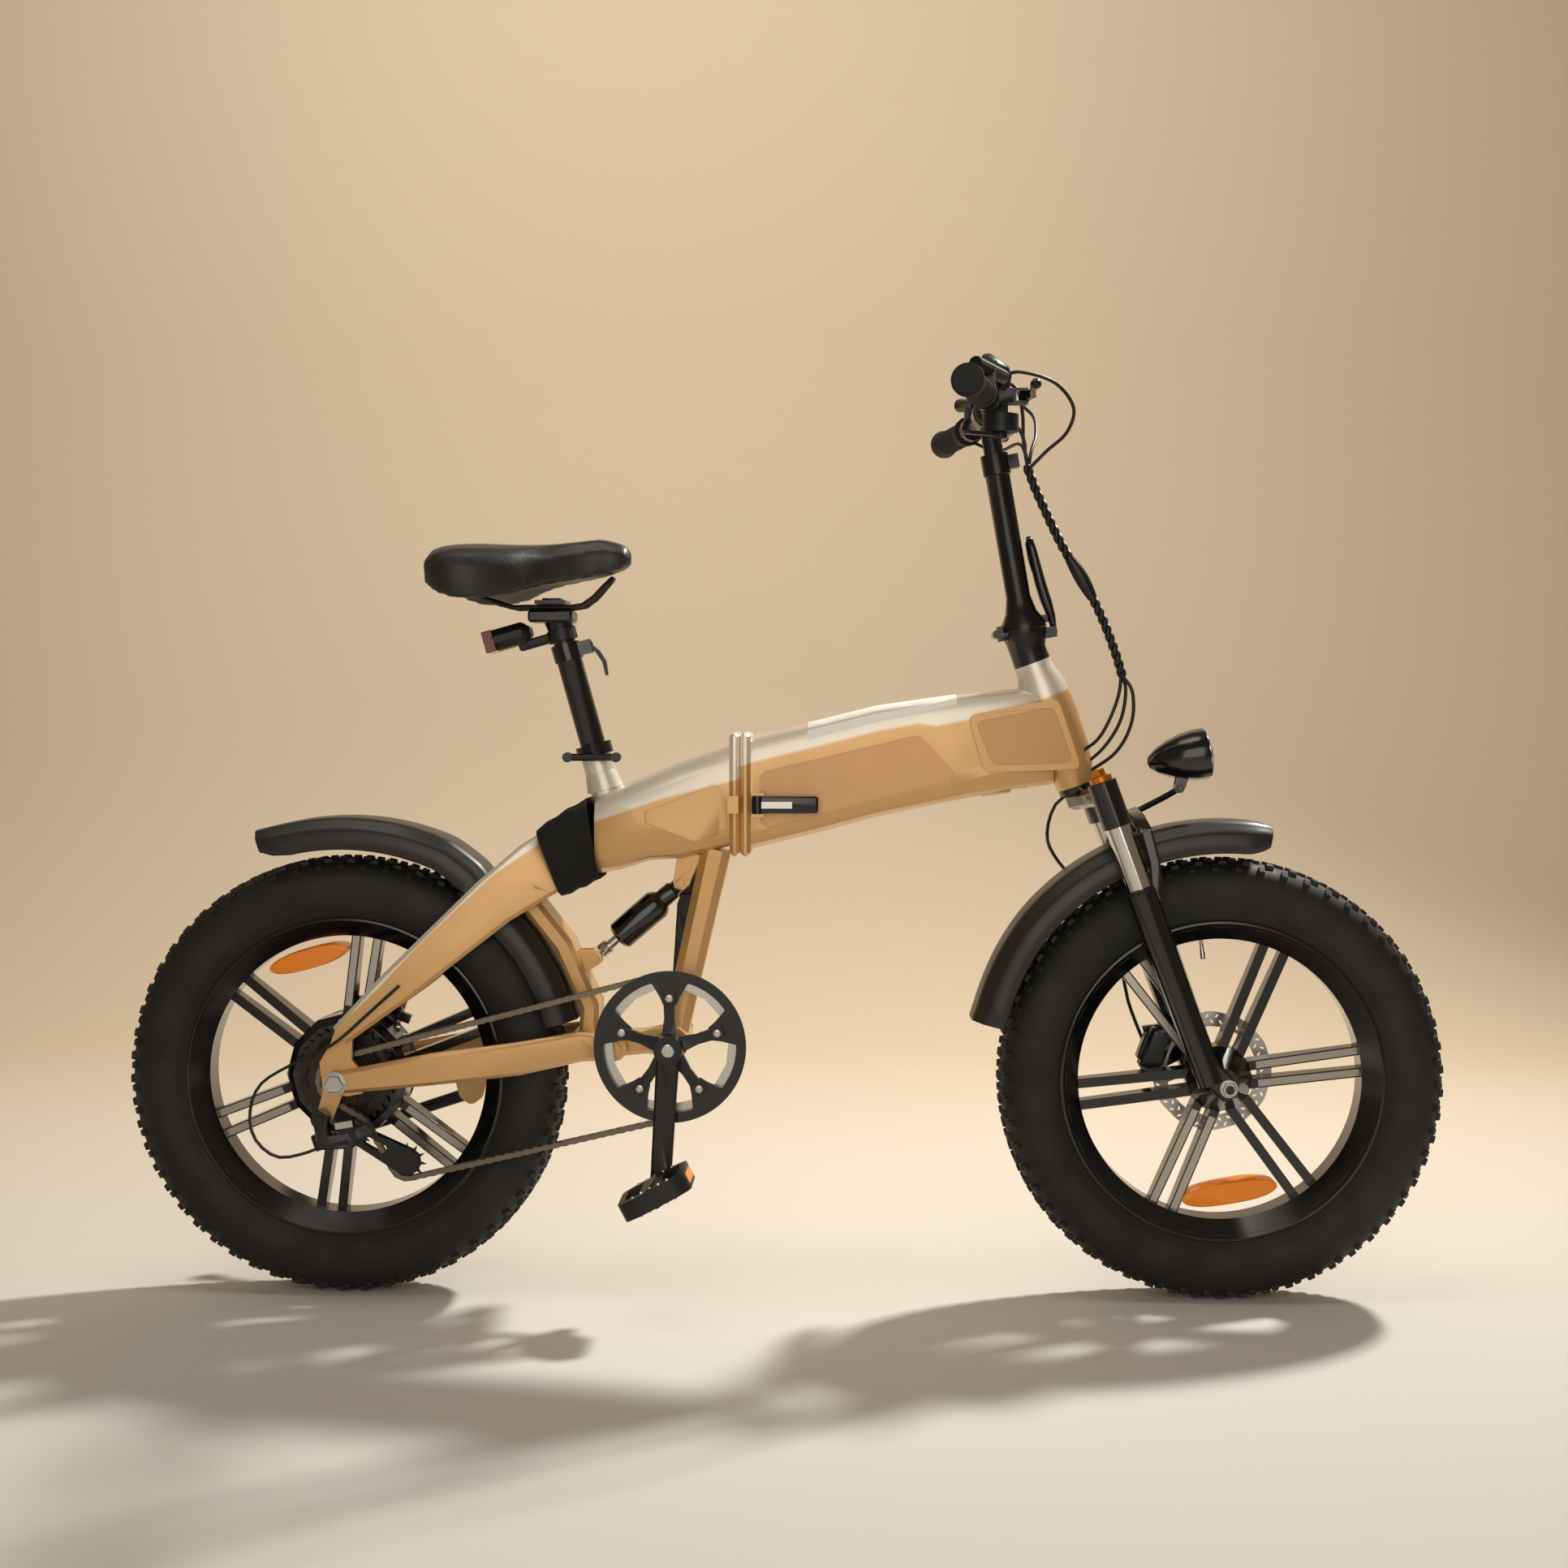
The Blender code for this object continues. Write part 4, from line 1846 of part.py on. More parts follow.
def fork_crown():
    """Steerer, crown and stanchions, pressed together as one carrier."""
    top = HEAD_TOP - HEAD_DOWN * 0.030
    steerer = rod("steerer", top, on_head(0.010), STEERER_RADIUS, sides=WIDE_SIDES)
    race = rod("crown_race", on_head(GAP * 2), on_head(0.008), 0.0255, sides=WIDE_SIDES)
    bridge_rings = []
    for y, forward, half, thick in (
        (-LEG_HALF_SPACING, LEG_OFFSET, 0.016, 0.013),
        (-0.040, 0.014, 0.019, 0.012),
        (0.0, 0.004, 0.024, 0.0125),
        (0.040, 0.014, 0.019, 0.012),
        (LEG_HALF_SPACING, LEG_OFFSET, 0.016, 0.013),
    ):
        centre = on_head(0.018, forward, y)
        bridge_rings.append(ring_of(centre, HEAD_FORWARD, HEAD_DOWN, half, thick, 0.006, 1))
    pieces = [steerer, race, loft("crown_bridge", bridge_rings)]
    for side in (-1, 1):
        y = side * LEG_HALF_SPACING
        pieces.append(
            rod(
                f"crown_arm_{side}",
                on_head(0.002, LEG_OFFSET, y),
                on_head(0.062, LEG_OFFSET, y),
                0.0192,
                sides=WIDE_SIDES,
            ),
        )
        pieces.append(
            rod(
                f"stanchion_{side}",
                on_head(0.010, LEG_OFFSET, y),
                on_head(0.290, LEG_OFFSET, y),
                STANCHION_RADIUS,
                sides=ROUND_SIDES,
            ),
        )
    cap = rod(
        "left_cap",
        on_head(-0.006, LEG_OFFSET, LEG_HALF_SPACING),
        on_head(0.004, LEG_OFFSET, LEG_HALF_SPACING),
        0.0150,
    )
    pieces.append(cap)
    knob_stub = rod(
        "knob_stub",
        on_head(-0.012, LEG_OFFSET, -LEG_HALF_SPACING),
        on_head(0.004, LEG_OFFSET, -LEG_HALF_SPACING),
        0.0040,
        sides=SMALL_SIDES,
    )
    pieces.append(knob_stub)
    return finish("fork_crown", pieces, black_metal())


def preload_knob():
    """The adjuster on the right leg's cap."""
    y = -LEG_HALF_SPACING
    base = rod(
        "knob_base",
        on_head(-0.0060, LEG_OFFSET, y),
        on_head(0.002 - GAP, LEG_OFFSET, y),
        0.0150,
        sides=WIDE_SIDES,
    )
    grip = rod(
        "knob_grip",
        on_head(-0.0150, LEG_OFFSET, y),
        on_head(-0.0050, LEG_OFFSET, y),
        0.0095,
        sides=SMALL_SIDES,
    )
    bore = rod(
        "knob_bore",
        on_head(-0.0125, LEG_OFFSET, y),
        on_head(0.010, LEG_OFFSET, y),
        running_bore(0.0040, SMALL_SIDES),
        sides=SMALL_SIDES,
    )
    return finish("preload_knob", [base, grip], black_plastic(), [bore])


def fork_lowers():
    """Both lower legs with their brace, dropouts, fixed axle and the lamp's bracket."""
    pieces = []
    holes = []
    dropout_s = (FRONT_AXLE - HEAD_BOTTOM).dot(HEAD_DOWN)
    dropout_forward = (FRONT_AXLE - HEAD_BOTTOM).dot(HEAD_FORWARD)
    leg_end = dropout_s - 0.012
    for side in (-1, 1):
        y = side * LEG_HALF_SPACING
        pieces.append(
            rod(
                f"lower_leg_{side}",
                on_head(LOWER_LEG_TOP, LEG_OFFSET, y),
                on_head(leg_end, LEG_OFFSET, y),
                LOWER_LEG_RADIUS,
                0.0175,
                WIDE_SIDES,
            ),
        )
        pieces.append(
            rod(
                f"leg_seal_{side}",
                on_head(LOWER_LEG_TOP - 0.006, LEG_OFFSET, y),
                on_head(LOWER_LEG_TOP + 0.004, LEG_OFFSET, y),
                0.0185,
                sides=WIDE_SIDES,
            ),
        )
        lug_rings = [
            ring_of(
                on_head(dropout_s - 0.040, LEG_OFFSET, y), HEAD_FORWARD, LEFTWARD, 0.014, 0.0110, 0.003, 1
            ),
            ring_of(
                on_head(dropout_s - 0.014, LEG_OFFSET + 0.010, y),
                HEAD_FORWARD,
                LEFTWARD,
                0.017,
                0.0100,
                0.003,
                1,
            ),
            ring_of(
                on_head(dropout_s + 0.014, dropout_forward, y),
                HEAD_FORWARD,
                LEFTWARD,
                0.012,
                0.0090,
                0.003,
                1,
            ),
        ]
        pieces.append(loft(f"dropout_lug_{side}", lug_rings))
        nut = sorted((side * (LEG_HALF_SPACING + 0.007), side * (LEG_HALF_SPACING + 0.017)))
        pieces.append(across_rod(f"front_nut_{side}", FRONT_AXLE, 0.0095, *nut, SMALL_SIDES))
        holes.append(
            rod(
                f"leg_bore_{side}",
                on_head(LOWER_LEG_TOP - 0.02, LEG_OFFSET, y),
                on_head(0.290 + FORK_TRAVEL + 0.012, LEG_OFFSET, y),
                STANCHION_RADIUS + SLIDE_CLEARANCE,
                sides=ROUND_SIDES,
            ),
        )
        post = [
            (on_head(LOWER_LEG_TOP + 0.016, 0.040, y), 0.0090, 0.0085),
            (on_head(LOWER_LEG_TOP - 0.030, 0.052, y * 0.98), 0.0080, 0.0075),
            (on_head(0.082, 0.056, y * 0.93), 0.0080, 0.0080),
        ]
        pieces.append(bar_loft(f"brace_post_{side}", post, 0.003, 1))
    brace = []
    arch = ((-0.072, 0.026), (-0.045, 0.007), (0.0, 0.0), (0.045, 0.007), (0.072, 0.026))
    for y, drop in arch:
        place = on_head(BRACE_TOP_DOWN + drop, BRACE_FORWARD, y)
        brace.append(ring_of(place, HEAD_FORWARD, HEAD_DOWN, 0.0085, BRACE_HALF_DEPTH, 0.002, 1))
    pieces.append(loft("brace_arch", brace))
    pieces.append(
        caliper_mount("front_caliper_mount", FRONT_AXLE, FRONT_CALIPER_ANGLE, FRONT_ROTOR_Y, (0.541, 0.330))
    )
    reach = LEG_HALF_SPACING + 0.020
    pieces.append(across_rod("front_axle_bar", FRONT_AXLE, AXLE_RADIUS, -reach, reach, ROUND_SIDES))
    bracket = [on_head(0.060, 0.058), (0.486, 0, 0.650), (0.512, 0, 0.664), LAMP_PIVOT]
    pieces.append(tube("lamp_bracket", smooth_route(bracket, 0.010), 0.0045, 1))
    pieces.append(across_rod("lamp_pin", LAMP_PIVOT, 0.0035, -0.0100, 0.0100, SMALL_SIDES))
    pieces.append(across_rod("lamp_bracket_eye", LAMP_PIVOT, 0.0070, -0.0048, 0.0048, ROUND_SIDES))
    return finish("fork_lowers", pieces, black_metal(), holes)


def headlight():
    """A bullet lamp with a recessed front and two ears on its pivot."""
    profile = [
        (0, 0.000),
        (0.0270, 0.000),
        (0.0270, 0.004),
        (0.0325, 0.004),
        (0.0335, 0.000),
        (0.0335, -0.014),
        (0.0305, -0.030),
        (0.0245, -0.048),
        (0.0160, -0.064),
        (0.0070, -0.074),
        (0, -0.076),
    ]
    shell = turned("lamp_shell", profile, LAMP_FRONT, LAMP_WAY, WIDE_SIDES)
    pieces = [shell]
    for side in (-1, 1):
        rings = []
        for place, half in (
            (LAMP_PIVOT + Vector((-0.001, 0, -0.005)), 0.005),
            (LAMP_PIVOT, 0.007),
            (Vector((0.528, 0, 0.692)), 0.008),
        ):
            spot = Vector((place.x, side * (0.0048 + GAP * 2 + 0.002), place.z))
            rings.append(square_ring(spot, FORWARD, LEFTWARD, half, 0.002))
        pieces.append(loft(f"lamp_ear_{side}", rings))
    hole = across_rod(
        "lamp_pin_hole", LAMP_PIVOT, running_bore(0.0035, SMALL_SIDES), -0.03, 0.03, SMALL_SIDES
    )
    return finish("headlight", pieces, black_plastic(), [hole])


def stem_base():
    """The foot clamped on the steerer, with the stem's hinge ears at its rear."""
    foot = HEAD_TOP - HEAD_DOWN * GAP
    rings = [
        round_ring(foot, HEAD_FORWARD, LEFTWARD, 0.0245),
        round_ring(foot - HEAD_DOWN * 0.016, HEAD_FORWARD, LEFTWARD, 0.0240),
        round_ring(on_stem(-0.014), STEM_FORWARD, LEFTWARD, 0.0265),
        round_ring(on_stem(-0.007), STEM_FORWARD, LEFTWARD, 0.0300),
        round_ring(on_stem(-GAP), STEM_FORWARD, LEFTWARD, 0.0300),
    ]
    pieces = [loft("stem_foot", rings)]
    for side in (-1, 1):
        ends = sorted((side * (0.0090 + GAP), side * 0.0190))
        pieces.append(across_rod(f"base_knuckle_{side}", STEM_PIN, STEM_KNUCKLE_RADIUS, *ends))
        web = block(
            f"base_web_{side}",
            (0.012, 0.0096, 0.009),
            on_stem(-0.0052, -STEM_PIN_OFFSET + 0.0075, side * 0.0142),
            STEM_FORWARD,
            STEM_UP,
        )
        pieces.append(web)
    pieces.append(across_rod("stem_pin", STEM_PIN, STEM_PIN_RADIUS, -0.0185, 0.0185, SMALL_SIDES))
    for side in (-1, 1):
        ear_centre = on_stem(STEM_LATCH_UP, 0.0325, side * 0.0085)
        pieces.append(
            block(f"stem_latch_ear_{side}", (0.016, 0.0040, 0.014), ear_centre, STEM_FORWARD, STEM_UP)
        )
    pieces.append(across_rod("stem_latch_pin", STEM_LATCH_PIN, 0.0025, -0.0105, 0.0105, SMALL_SIDES))
    bore = rod(
        "stem_base_bore",
        HEAD_TOP + HEAD_DOWN * 0.01,
        HEAD_TOP - HEAD_DOWN * 0.0305,
        STEERER_RADIUS + GAP,
        sides=WIDE_SIDES,
    )
    return finish("stem_base", pieces, black_metal(), [bore])


def stem_tube():
    """The folding part of the stem, flared at its foot and clamped round the bar post at its top."""
    rings = [
        round_ring(on_stem(GAP), STEM_FORWARD, LEFTWARD, 0.0300),
        round_ring(on_stem(0.008), STEM_FORWARD, LEFTWARD, 0.0295),
        round_ring(on_stem(0.024), STEM_FORWARD, LEFTWARD, 0.0205),
        round_ring(on_stem(0.044), STEM_FORWARD, LEFTWARD, STEM_RADIUS),
        round_ring(on_stem(STEM_LENGTH - 0.028), STEM_FORWARD, LEFTWARD, STEM_RADIUS),
        round_ring(on_stem(STEM_LENGTH - 0.027), STEM_FORWARD, LEFTWARD, 0.0182),
        round_ring(on_stem(STEM_LENGTH), STEM_FORWARD, LEFTWARD, 0.0182),
    ]
    pieces = [loft("stem_outside", rings)]
    pieces.append(across_rod("stem_knuckle", STEM_PIN, STEM_KNUCKLE_RADIUS, -0.0090, 0.0090))
    pieces.append(
        block(
            "stem_web",
            (0.012, 0.018, 0.009),
            on_stem(0.0052, -STEM_PIN_OFFSET + 0.0075),
            STEM_FORWARD,
            STEM_UP,
        ),
    )
    pieces.append(
        block(
            "stem_clamp_lug",
            (0.016, 0.018, 0.018),
            on_stem(STEM_LENGTH - 0.013, 0.0220),
            STEM_FORWARD,
            STEM_UP,
        ),
    )
    pieces.append(
        block("stem_catch", (0.010, 0.012, 0.010), on_stem(0.0100, 0.0276), STEM_FORWARD, STEM_UP)
    )
    bore = rod(
        "stem_bore",
        on_stem(0.060),
        on_stem(STEM_LENGTH + 0.01),
        BAR_POST_RADIUS + SLIDE_CLEARANCE,
        sides=WIDE_SIDES,
    )
    pin_bore = across_rod(
        "stem_pin_bore", STEM_PIN, running_bore(STEM_PIN_RADIUS, SMALL_SIDES), -0.03, 0.03, SMALL_SIDES
    )
    return finish("stem_tube", pieces, black_metal(), [bore, pin_bore])


def stem_latch():
    """The lever in front of the stem that locks its fold."""
    boss = across_rod("stem_latch_boss", STEM_LATCH_PIN, 0.0055, -0.0060, 0.0060, ROUND_SIDES)
    rings = []
    for up, forward, wide, thick in (
        (STEM_LATCH_UP, 0.0385, 0.0060, 0.0035),
        (0.012, 0.0375, 0.0062, 0.0038),
        (0.050, 0.0290, 0.0070, 0.0035),
        (0.090, 0.0235, 0.0065, 0.0030),
        (0.112, 0.0225, 0.0050, 0.0020),
    ):
        rings.append(ring_of(on_stem(up, forward), LEFTWARD, STEM_FORWARD, wide, thick, 0.0015, 1))
    bore = across_rod(
        "stem_latch_bore", STEM_LATCH_PIN, running_bore(0.0025, SMALL_SIDES), -0.03, 0.03, SMALL_SIDES
    )
    return finish("stem_latch", [boss, loft("stem_latch_blade", rings)], black_metal(), [bore])


def bar_post():
    """The inner stem, which slides in the outer one and clamps the handlebar at its top."""
    top = Vector((BAR_X, 0, BAR_Z))
    along = (top - on_stem(0)).dot(STEM_UP)
    post = rod("inner_stem", on_stem(0.110), on_stem(along), BAR_POST_RADIUS, sides=WIDE_SIDES)
    clamp = across_rod("bar_clamp", top, BAR_CENTRE_RADIUS + 0.0065, -0.0240, 0.0240, WIDE_SIDES)
    front = block(
        "bar_clamp_front",
        (0.012, 0.040, 0.030),
        top + STEM_FORWARD * 0.0185,
        STEM_FORWARD,
        STEM_UP,
        0.003,
        1,
    )
    return finish("bar_post", [post, clamp, front], black_metal(), [bar_cutter("bar_bore")])


def bar_route():
    """The handlebar's centre line, swept back towards the grips."""
    half = [
        (BAR_X, 0.045, BAR_Z),
        (BAR_X + 0.001, 0.090, BAR_Z + 0.001),
        (BAR_X - BAR_SWEEP * 0.30, 0.165, BAR_Z + 0.001),
        (BAR_X - BAR_SWEEP * 0.62, 0.235, BAR_Z),
        (BAR_X - BAR_SWEEP, BAR_HALF_WIDTH, BAR_Z - 0.001),
    ]
    right = [(x, -y, z) for x, y, z in reversed(half)]
    return [*right, (BAR_X, 0, BAR_Z), *half]


def handlebar():
    points = smooth_route(bar_route(), BAR_STEP)
    radii = [1.0 if abs(point.y) > 0.060 else BAR_CENTRE_RADIUS / BAR_RADIUS for point in points]
    shape = tube("bar", points, BAR_RADIUS, 2, radii)
    return finish("handlebar", [shape], black_metal())


def bar_point(y):
    """The bar's centre at a distance to the side, and its outward direction there."""
    points = smooth_route(bar_route(), 0.004)
    at = min(range(1, len(points) - 1), key=lambda number: abs(points[number].y - y))
    along = (points[at + 1] - points[at - 1]).normalized()
    return points[at], along if y > 0 else along * -1


def grip(name, side):
    end, outward = bar_point(side * (BAR_HALF_WIDTH - 0.004))
    start, _ = bar_point(side * (BAR_HALF_WIDTH - GRIP_LENGTH))
    outward = (end - start).normalized()
    end = start + outward * (GRIP_LENGTH + 0.004)
    shape = rod(name + "_sleeve", start, end, GRIP_RADIUS, sides=WIDE_SIDES)
    ring = rod(name + "_ring", start, start + outward * 0.008, GRIP_RADIUS + 0.0015, sides=WIDE_SIDES)
    bore = bar_cutter(name + "_bore")
    return finish(name, [shape, ring], rubber(), [bore])


def bar_cutter(name, grow=GAP):
    points = smooth_route(bar_route(), BAR_STEP)
    radii = [1.0 if abs(point.y) > 0.060 else BAR_CENTRE_RADIUS / BAR_RADIUS for point in points]
    return tube(name, points, BAR_RADIUS + grow, 2, radii)


def brake_master(side):
    """The hydraulic master cylinder with its clamp round the bar and its lever ears."""
    name = "brake_master_right" if side < 0 else "brake_master_left"
    place, outward = bar_point(side * MASTER_Y)
    clamp = rod(
        name + "_clamp",
        place - outward * 0.0080,
        place + outward * 0.0080,
        BAR_RADIUS + 0.0055,
        sides=WIDE_SIDES,
    )
    forward = Vector((0.94, 0, -0.10)).normalized()
    inner = place - outward * 0.030 + forward * 0.016 + UPWARD * 0.030
    outer = place + outward * 0.030 - forward * 0.010 + UPWARD * 0.036
    cylinder = rod(name + "_cylinder", inner, outer, 0.0095, sides=ROUND_SIDES)
    riser = block(name + "_riser", (0.022, 0.016, 0.030), place + UPWARD * 0.020)
    bridge = block(
        name + "_bridge", (0.034, 0.014, 0.014), place + forward * 0.016 + UPWARD * 0.002, forward, UPWARD
    )
    lever_pin = master_lever_pin(side)
    ears = [
        block(
            f"{name}_ear_{number}", (0.024, 0.020, 0.0035), lever_pin + UPWARD * up + Vector((-0.008, 0, 0))
        )
        for number, up in enumerate((-0.0078, 0.0078))
    ]
    ear_root = block(name + "_ear_root", (0.012, 0.018, 0.019), lever_pin + Vector((-0.0165, 0, 0)))
    pin = rod(
        name + "_lever_pin",
        lever_pin - UPWARD * 0.0085,
        lever_pin + UPWARD * 0.0085,
        0.0025,
        sides=SMALL_SIDES,
    )
    return finish(
        name,
        [clamp, cylinder, riser, bridge, ear_root, *ears, pin],
        black_metal(),
        [bar_cutter(name + "_bore")],
    )


def master_lever_pin(side):
    place, outward = bar_point(side * MASTER_Y)
    return place + Vector((0.046, 0, 0.001)) - outward * 0.004


def brake_lever(side):
    """The curved two finger blade, which ends in a ball."""
    name = "brake_lever_right" if side < 0 else "brake_lever_left"
    pin = master_lever_pin(side)
    boss = rod(name + "_boss", pin - UPWARD * 0.0057, pin + UPWARD * 0.0057, 0.0065, sides=ROUND_SIDES)
    rings = []
    for out, forward, half, thick in (
        (0.000, 0.000, 0.0052, 0.0042),
        (0.030, 0.014, 0.0050, 0.0034),
        (0.065, 0.016, 0.0052, 0.0030),
        (0.095, 0.020, 0.0050, 0.0030),
        (LEVER_LENGTH, 0.024, 0.0045, 0.0035),
    ):
        place = pin + Vector((forward - out * 0.18, side * out, 0))
        rings.append(square_ring(place, FORWARD, UPWARD, thick, half))
    tip = pin + Vector((0.024 - LEVER_LENGTH * 0.18, side * LEVER_LENGTH, 0))
    bore = rod(
        name + "_bore",
        pin - UPWARD * 0.02,
        pin + UPWARD * 0.02,
        running_bore(0.0025, SMALL_SIDES),
        sides=SMALL_SIDES,
    )
    return finish(
        name, [boss, loft(name + "_blade", rings), ball(name + "_tip", tip, 0.0068)], black_metal(), [bore]
    )


def shifter_place():
    place, outward = bar_point(-SHIFTER_Y)
    return place, outward


def shifter():
    """The gear shifter's pod under the bar, with its round window above."""
    place, outward = shifter_place()
    clamp = rod(
        "shifter_clamp",
        place - outward * 0.007,
        place + outward * 0.007,
        BAR_RADIUS + 0.005,
        sides=WIDE_SIDES,
    )
    pod_centre = place + Vector((0.012, 0, -0.0270))
    pod = rod(
        "shifter_pod", pod_centre - UPWARD * 0.011, pod_centre + UPWARD * 0.011, 0.0230, sides=WIDE_SIDES
    )
    neck = block("shifter_neck", (0.022, 0.014, 0.020), place + Vector((0.010, 0, -0.0140)))
    window = rod(
        "gear_window",
        place + Vector((0.010, 0.004, 0.006)),
        place + Vector((0.017, 0.004, 0.038)),
        0.0120,
        0.0105,
        ROUND_SIDES,
    )
    pin = rod("shift_pin", pod_centre - UPWARD * 0.0185, pod_centre, 0.0030, sides=SMALL_SIDES)
    return finish("shifter", [clamp, pod, neck, window, pin], black_plastic(), [bar_cutter("shifter_bore")])


def shift_lever_pin():
    place, _ = shifter_place()
    return place + Vector((0.012, 0, -0.0430))


def shift_lever():
    """The thumb lever under the pod."""
    pin = shift_lever_pin()
    boss = rod(
        "shift_lever_boss", pin - UPWARD * 0.0020, pin + UPWARD * (0.0050 - GAP), 0.0090, sides=ROUND_SIDES
    )
    rings = []
    for x, y, half in (
        (0.0, 0.0, 0.0075), (-0.022, -0.016, 0.0060), (-0.040, -0.026, 0.0068), (-0.048, -0.029, 0.0045)
    ):
        rings.append(square_ring(pin + Vector((x, y, 0.0014)), LEFTWARD, UPWARD, half, 0.0020))
    bore = rod(
        "shift_lever_bore",
        pin - UPWARD * 0.02,
        pin + UPWARD * 0.02,
        running_bore(0.0030, SMALL_SIDES),
        sides=SMALL_SIDES,
    )
    return finish("shift_lever", [boss, loft("shift_lever_blade", rings)], bright_steel(), [bore])


def throttle():
    """The half twist throttle, a ring inboard of the left grip."""
    start, outward = bar_point(BAR_HALF_WIDTH - GRIP_LENGTH - 0.008)
    inner = start - outward * 0.0120
    drum = rod("throttle_drum", inner, start + outward * 0.0040, 0.0185, sides=WIDE_SIDES)
    rim = rod("throttle_rim", inner, inner + outward * 0.004, 0.0205, sides=WIDE_SIDES)
    bore_radius = running_bore(BAR_RADIUS + GAP, ROUND_SIDES)
    throttle_bore = rod("throttle_bore", inner - outward * 0.01, start + outward * 0.02, bore_radius)
    return finish("throttle", [drum, rim], black_plastic(), [throttle_bore])


def display():
    """The display above the middle of the bar, on two hoops."""
    centre = Vector((BAR_X + 0.009, 0.0, BAR_Z + 0.0600))
    way = Vector((0.82, 0, -0.57)).normalized()
    up = Vector((0.57, 0, 0.82)).normalized()
    body = block("display_body", (0.042, 0.066, 0.016), centre, way, up, 0.005, 1)
    pieces = [body]
    for side in (-1, 1):
        place, outward = bar_point(side * 0.036)
        hoop = rod(
            f"display_hoop_{side}",
            place - LEFTWARD * 0.004,
            place + LEFTWARD * 0.004,
            BAR_CENTRE_RADIUS + 0.0045,
            sides=WIDE_SIDES,
        )
        post = block(
            f"display_post_{side}",
            (0.010, 0.008, 0.054),
            Vector((BAR_X + 0.005, side * 0.036, BAR_Z + 0.0370)),
        )
        pieces.extend((hoop, post))
    return finish("display", pieces, black_plastic(), [bar_cutter("display_bore")])


# Mudguards


def mudguard_ring(axle, angle, radius, half_width, flare):
    """The open section across a mudguard: a crown with a skirt on each side."""
    outward = Vector((math.cos(angle), 0, math.sin(angle)))
    section = [
        (-1.0, -0.040),
        (-0.92, -0.017),
        (-0.45, -0.001),
        (0.45, -0.001),
        (0.92, -0.017),
        (1.0, -0.040),
    ]
    return [
        axle + outward * (radius + flare + drop) + LEFTWARD * half_width * share for share, drop in section
    ]


def mudguard(name, axle, stations):
    """A shell through stations of (angle in degrees, crown radius, half width, flare)."""
    bm = bmesh.new()
    rows = []
    for degrees, radius, half_width, flare in stations:
        ring = mudguard_ring(axle, math.radians(degrees), radius, half_width, flare)
        rows.append([bm.verts.new(point) for point in ring])
    for low, high in zip(rows, rows[1:]):
        for number in range(len(low) - 1):
            bm.faces.new((low[number], high[number], high[number + 1], low[number + 1]))
    mesh = bpy.data.meshes.new(name)
    bm.to_mesh(mesh)
    bm.free()
    obj = link_helper(bpy.data.objects.new(name, mesh))
    wall = obj.modifiers.new("wall", "SOLIDIFY")
    wall.thickness = MUDGUARD_THICKNESS
    wall.offset = 0
    wall.use_even_offset = True
    return baked(obj)


def spread(stations, step):
    """Stations filled in evenly between the given ones."""
    filled = []
    for low, high in zip(stations, stations[1:]):
        count = max(1, round(abs(high[0] - low[0]) / step))
        for number in range(count):
            share = number / count
            filled.append(tuple(a + (b - a) * share for a, b in zip(low, high)))
    filled.append(stations[-1])
    return filled


def rear_mudguard():
    wide = MUDGUARD_HALF_WIDTH
    stations = [
        (14, 0.3175, wide - 0.004, 0.0),
        (48, 0.3180, wide - 0.002, 0.0),
        (57, 0.3350, wide, 0.0),
        (66, 0.3430, wide, 0.0),
        (95, 0.3430, wide, 0.0),
        (103, 0.3430, wide, 0.0),
        (107, 0.3430, wide, 0.004),
        (110, 0.3430, wide * 0.96, 0.011),
    ]
    shell = mudguard("rear_mudguard_shell", REAR_AXLE, spread(stations, 15))
    pad_way = Vector((math.cos(REAR_PAD_ANGLE), 0, math.sin(REAR_PAD_ANGLE)))
    pad_depth = 0.006
    pad_centre = REAR_AXLE + pad_way * (REAR_PAD_TOP - pad_depth / 2)
    pad = block("yoke_pad", (pad_depth, 0.030, 0.018), pad_centre, pad_way)
    pieces = [shell, pad]
    for side in (-1, 1):
        for number, degrees in enumerate((66.5, 30.0)):
            angle = math.radians(degrees)
            outward = Vector((math.cos(angle), 0, math.sin(angle)))
            radius = 0.3190 if degrees > 60 else 0.3000
            place = REAR_AXLE + outward * radius
            gap_y = 0.0560
            ends = sorted((side * (wide - 0.010), side * gap_y))
            pieces.append(across_rod(f"mudguard_boss_{side}_{number}", place, 0.005, *ends, SMALL_SIDES))
    return finish("rear_mudguard", pieces, black_plastic())


def front_mudguard():
    wide = MUDGUARD_HALF_WIDTH
    stations = [
        (79.0, 0.3390, wide, 0.0),
        (84.0, 0.3410, wide, 0.0),
        (100.0, 0.3400, wide, 0.0),
        (112.0, 0.3400, wide, 0.0),
        (140.0, 0.3380, wide, 0.0),
        (158.0, 0.3340, wide, 0.0),
        (163.0, 0.3330, wide, 0.004),
        (166.5, 0.3310, wide * 0.96, 0.011),
    ]
    shell = mudguard("front_mudguard_shell", FRONT_AXLE, spread(stations, 15))
    tab_top = BRACE_TOP_DOWN + BRACE_HALF_DEPTH + FRONT_TAB_DROP
    tab_centre = on_head((tab_top + FRONT_TAB_FOOT) / 2, BRACE_FORWARD)
    tab = block("brace_tab", (0.014, 0.014, FRONT_TAB_FOOT - tab_top), tab_centre, HEAD_FORWARD, HEAD_DOWN)
    return finish("front_mudguard", [shell, tab], black_plastic())


# Cables


def cable(name, route, radius=CABLE_RADIUS):
    points = smooth_route(route, radius * 6)
    return finish(name, [tube(name + "_run", points, radius, 1)], rubber())


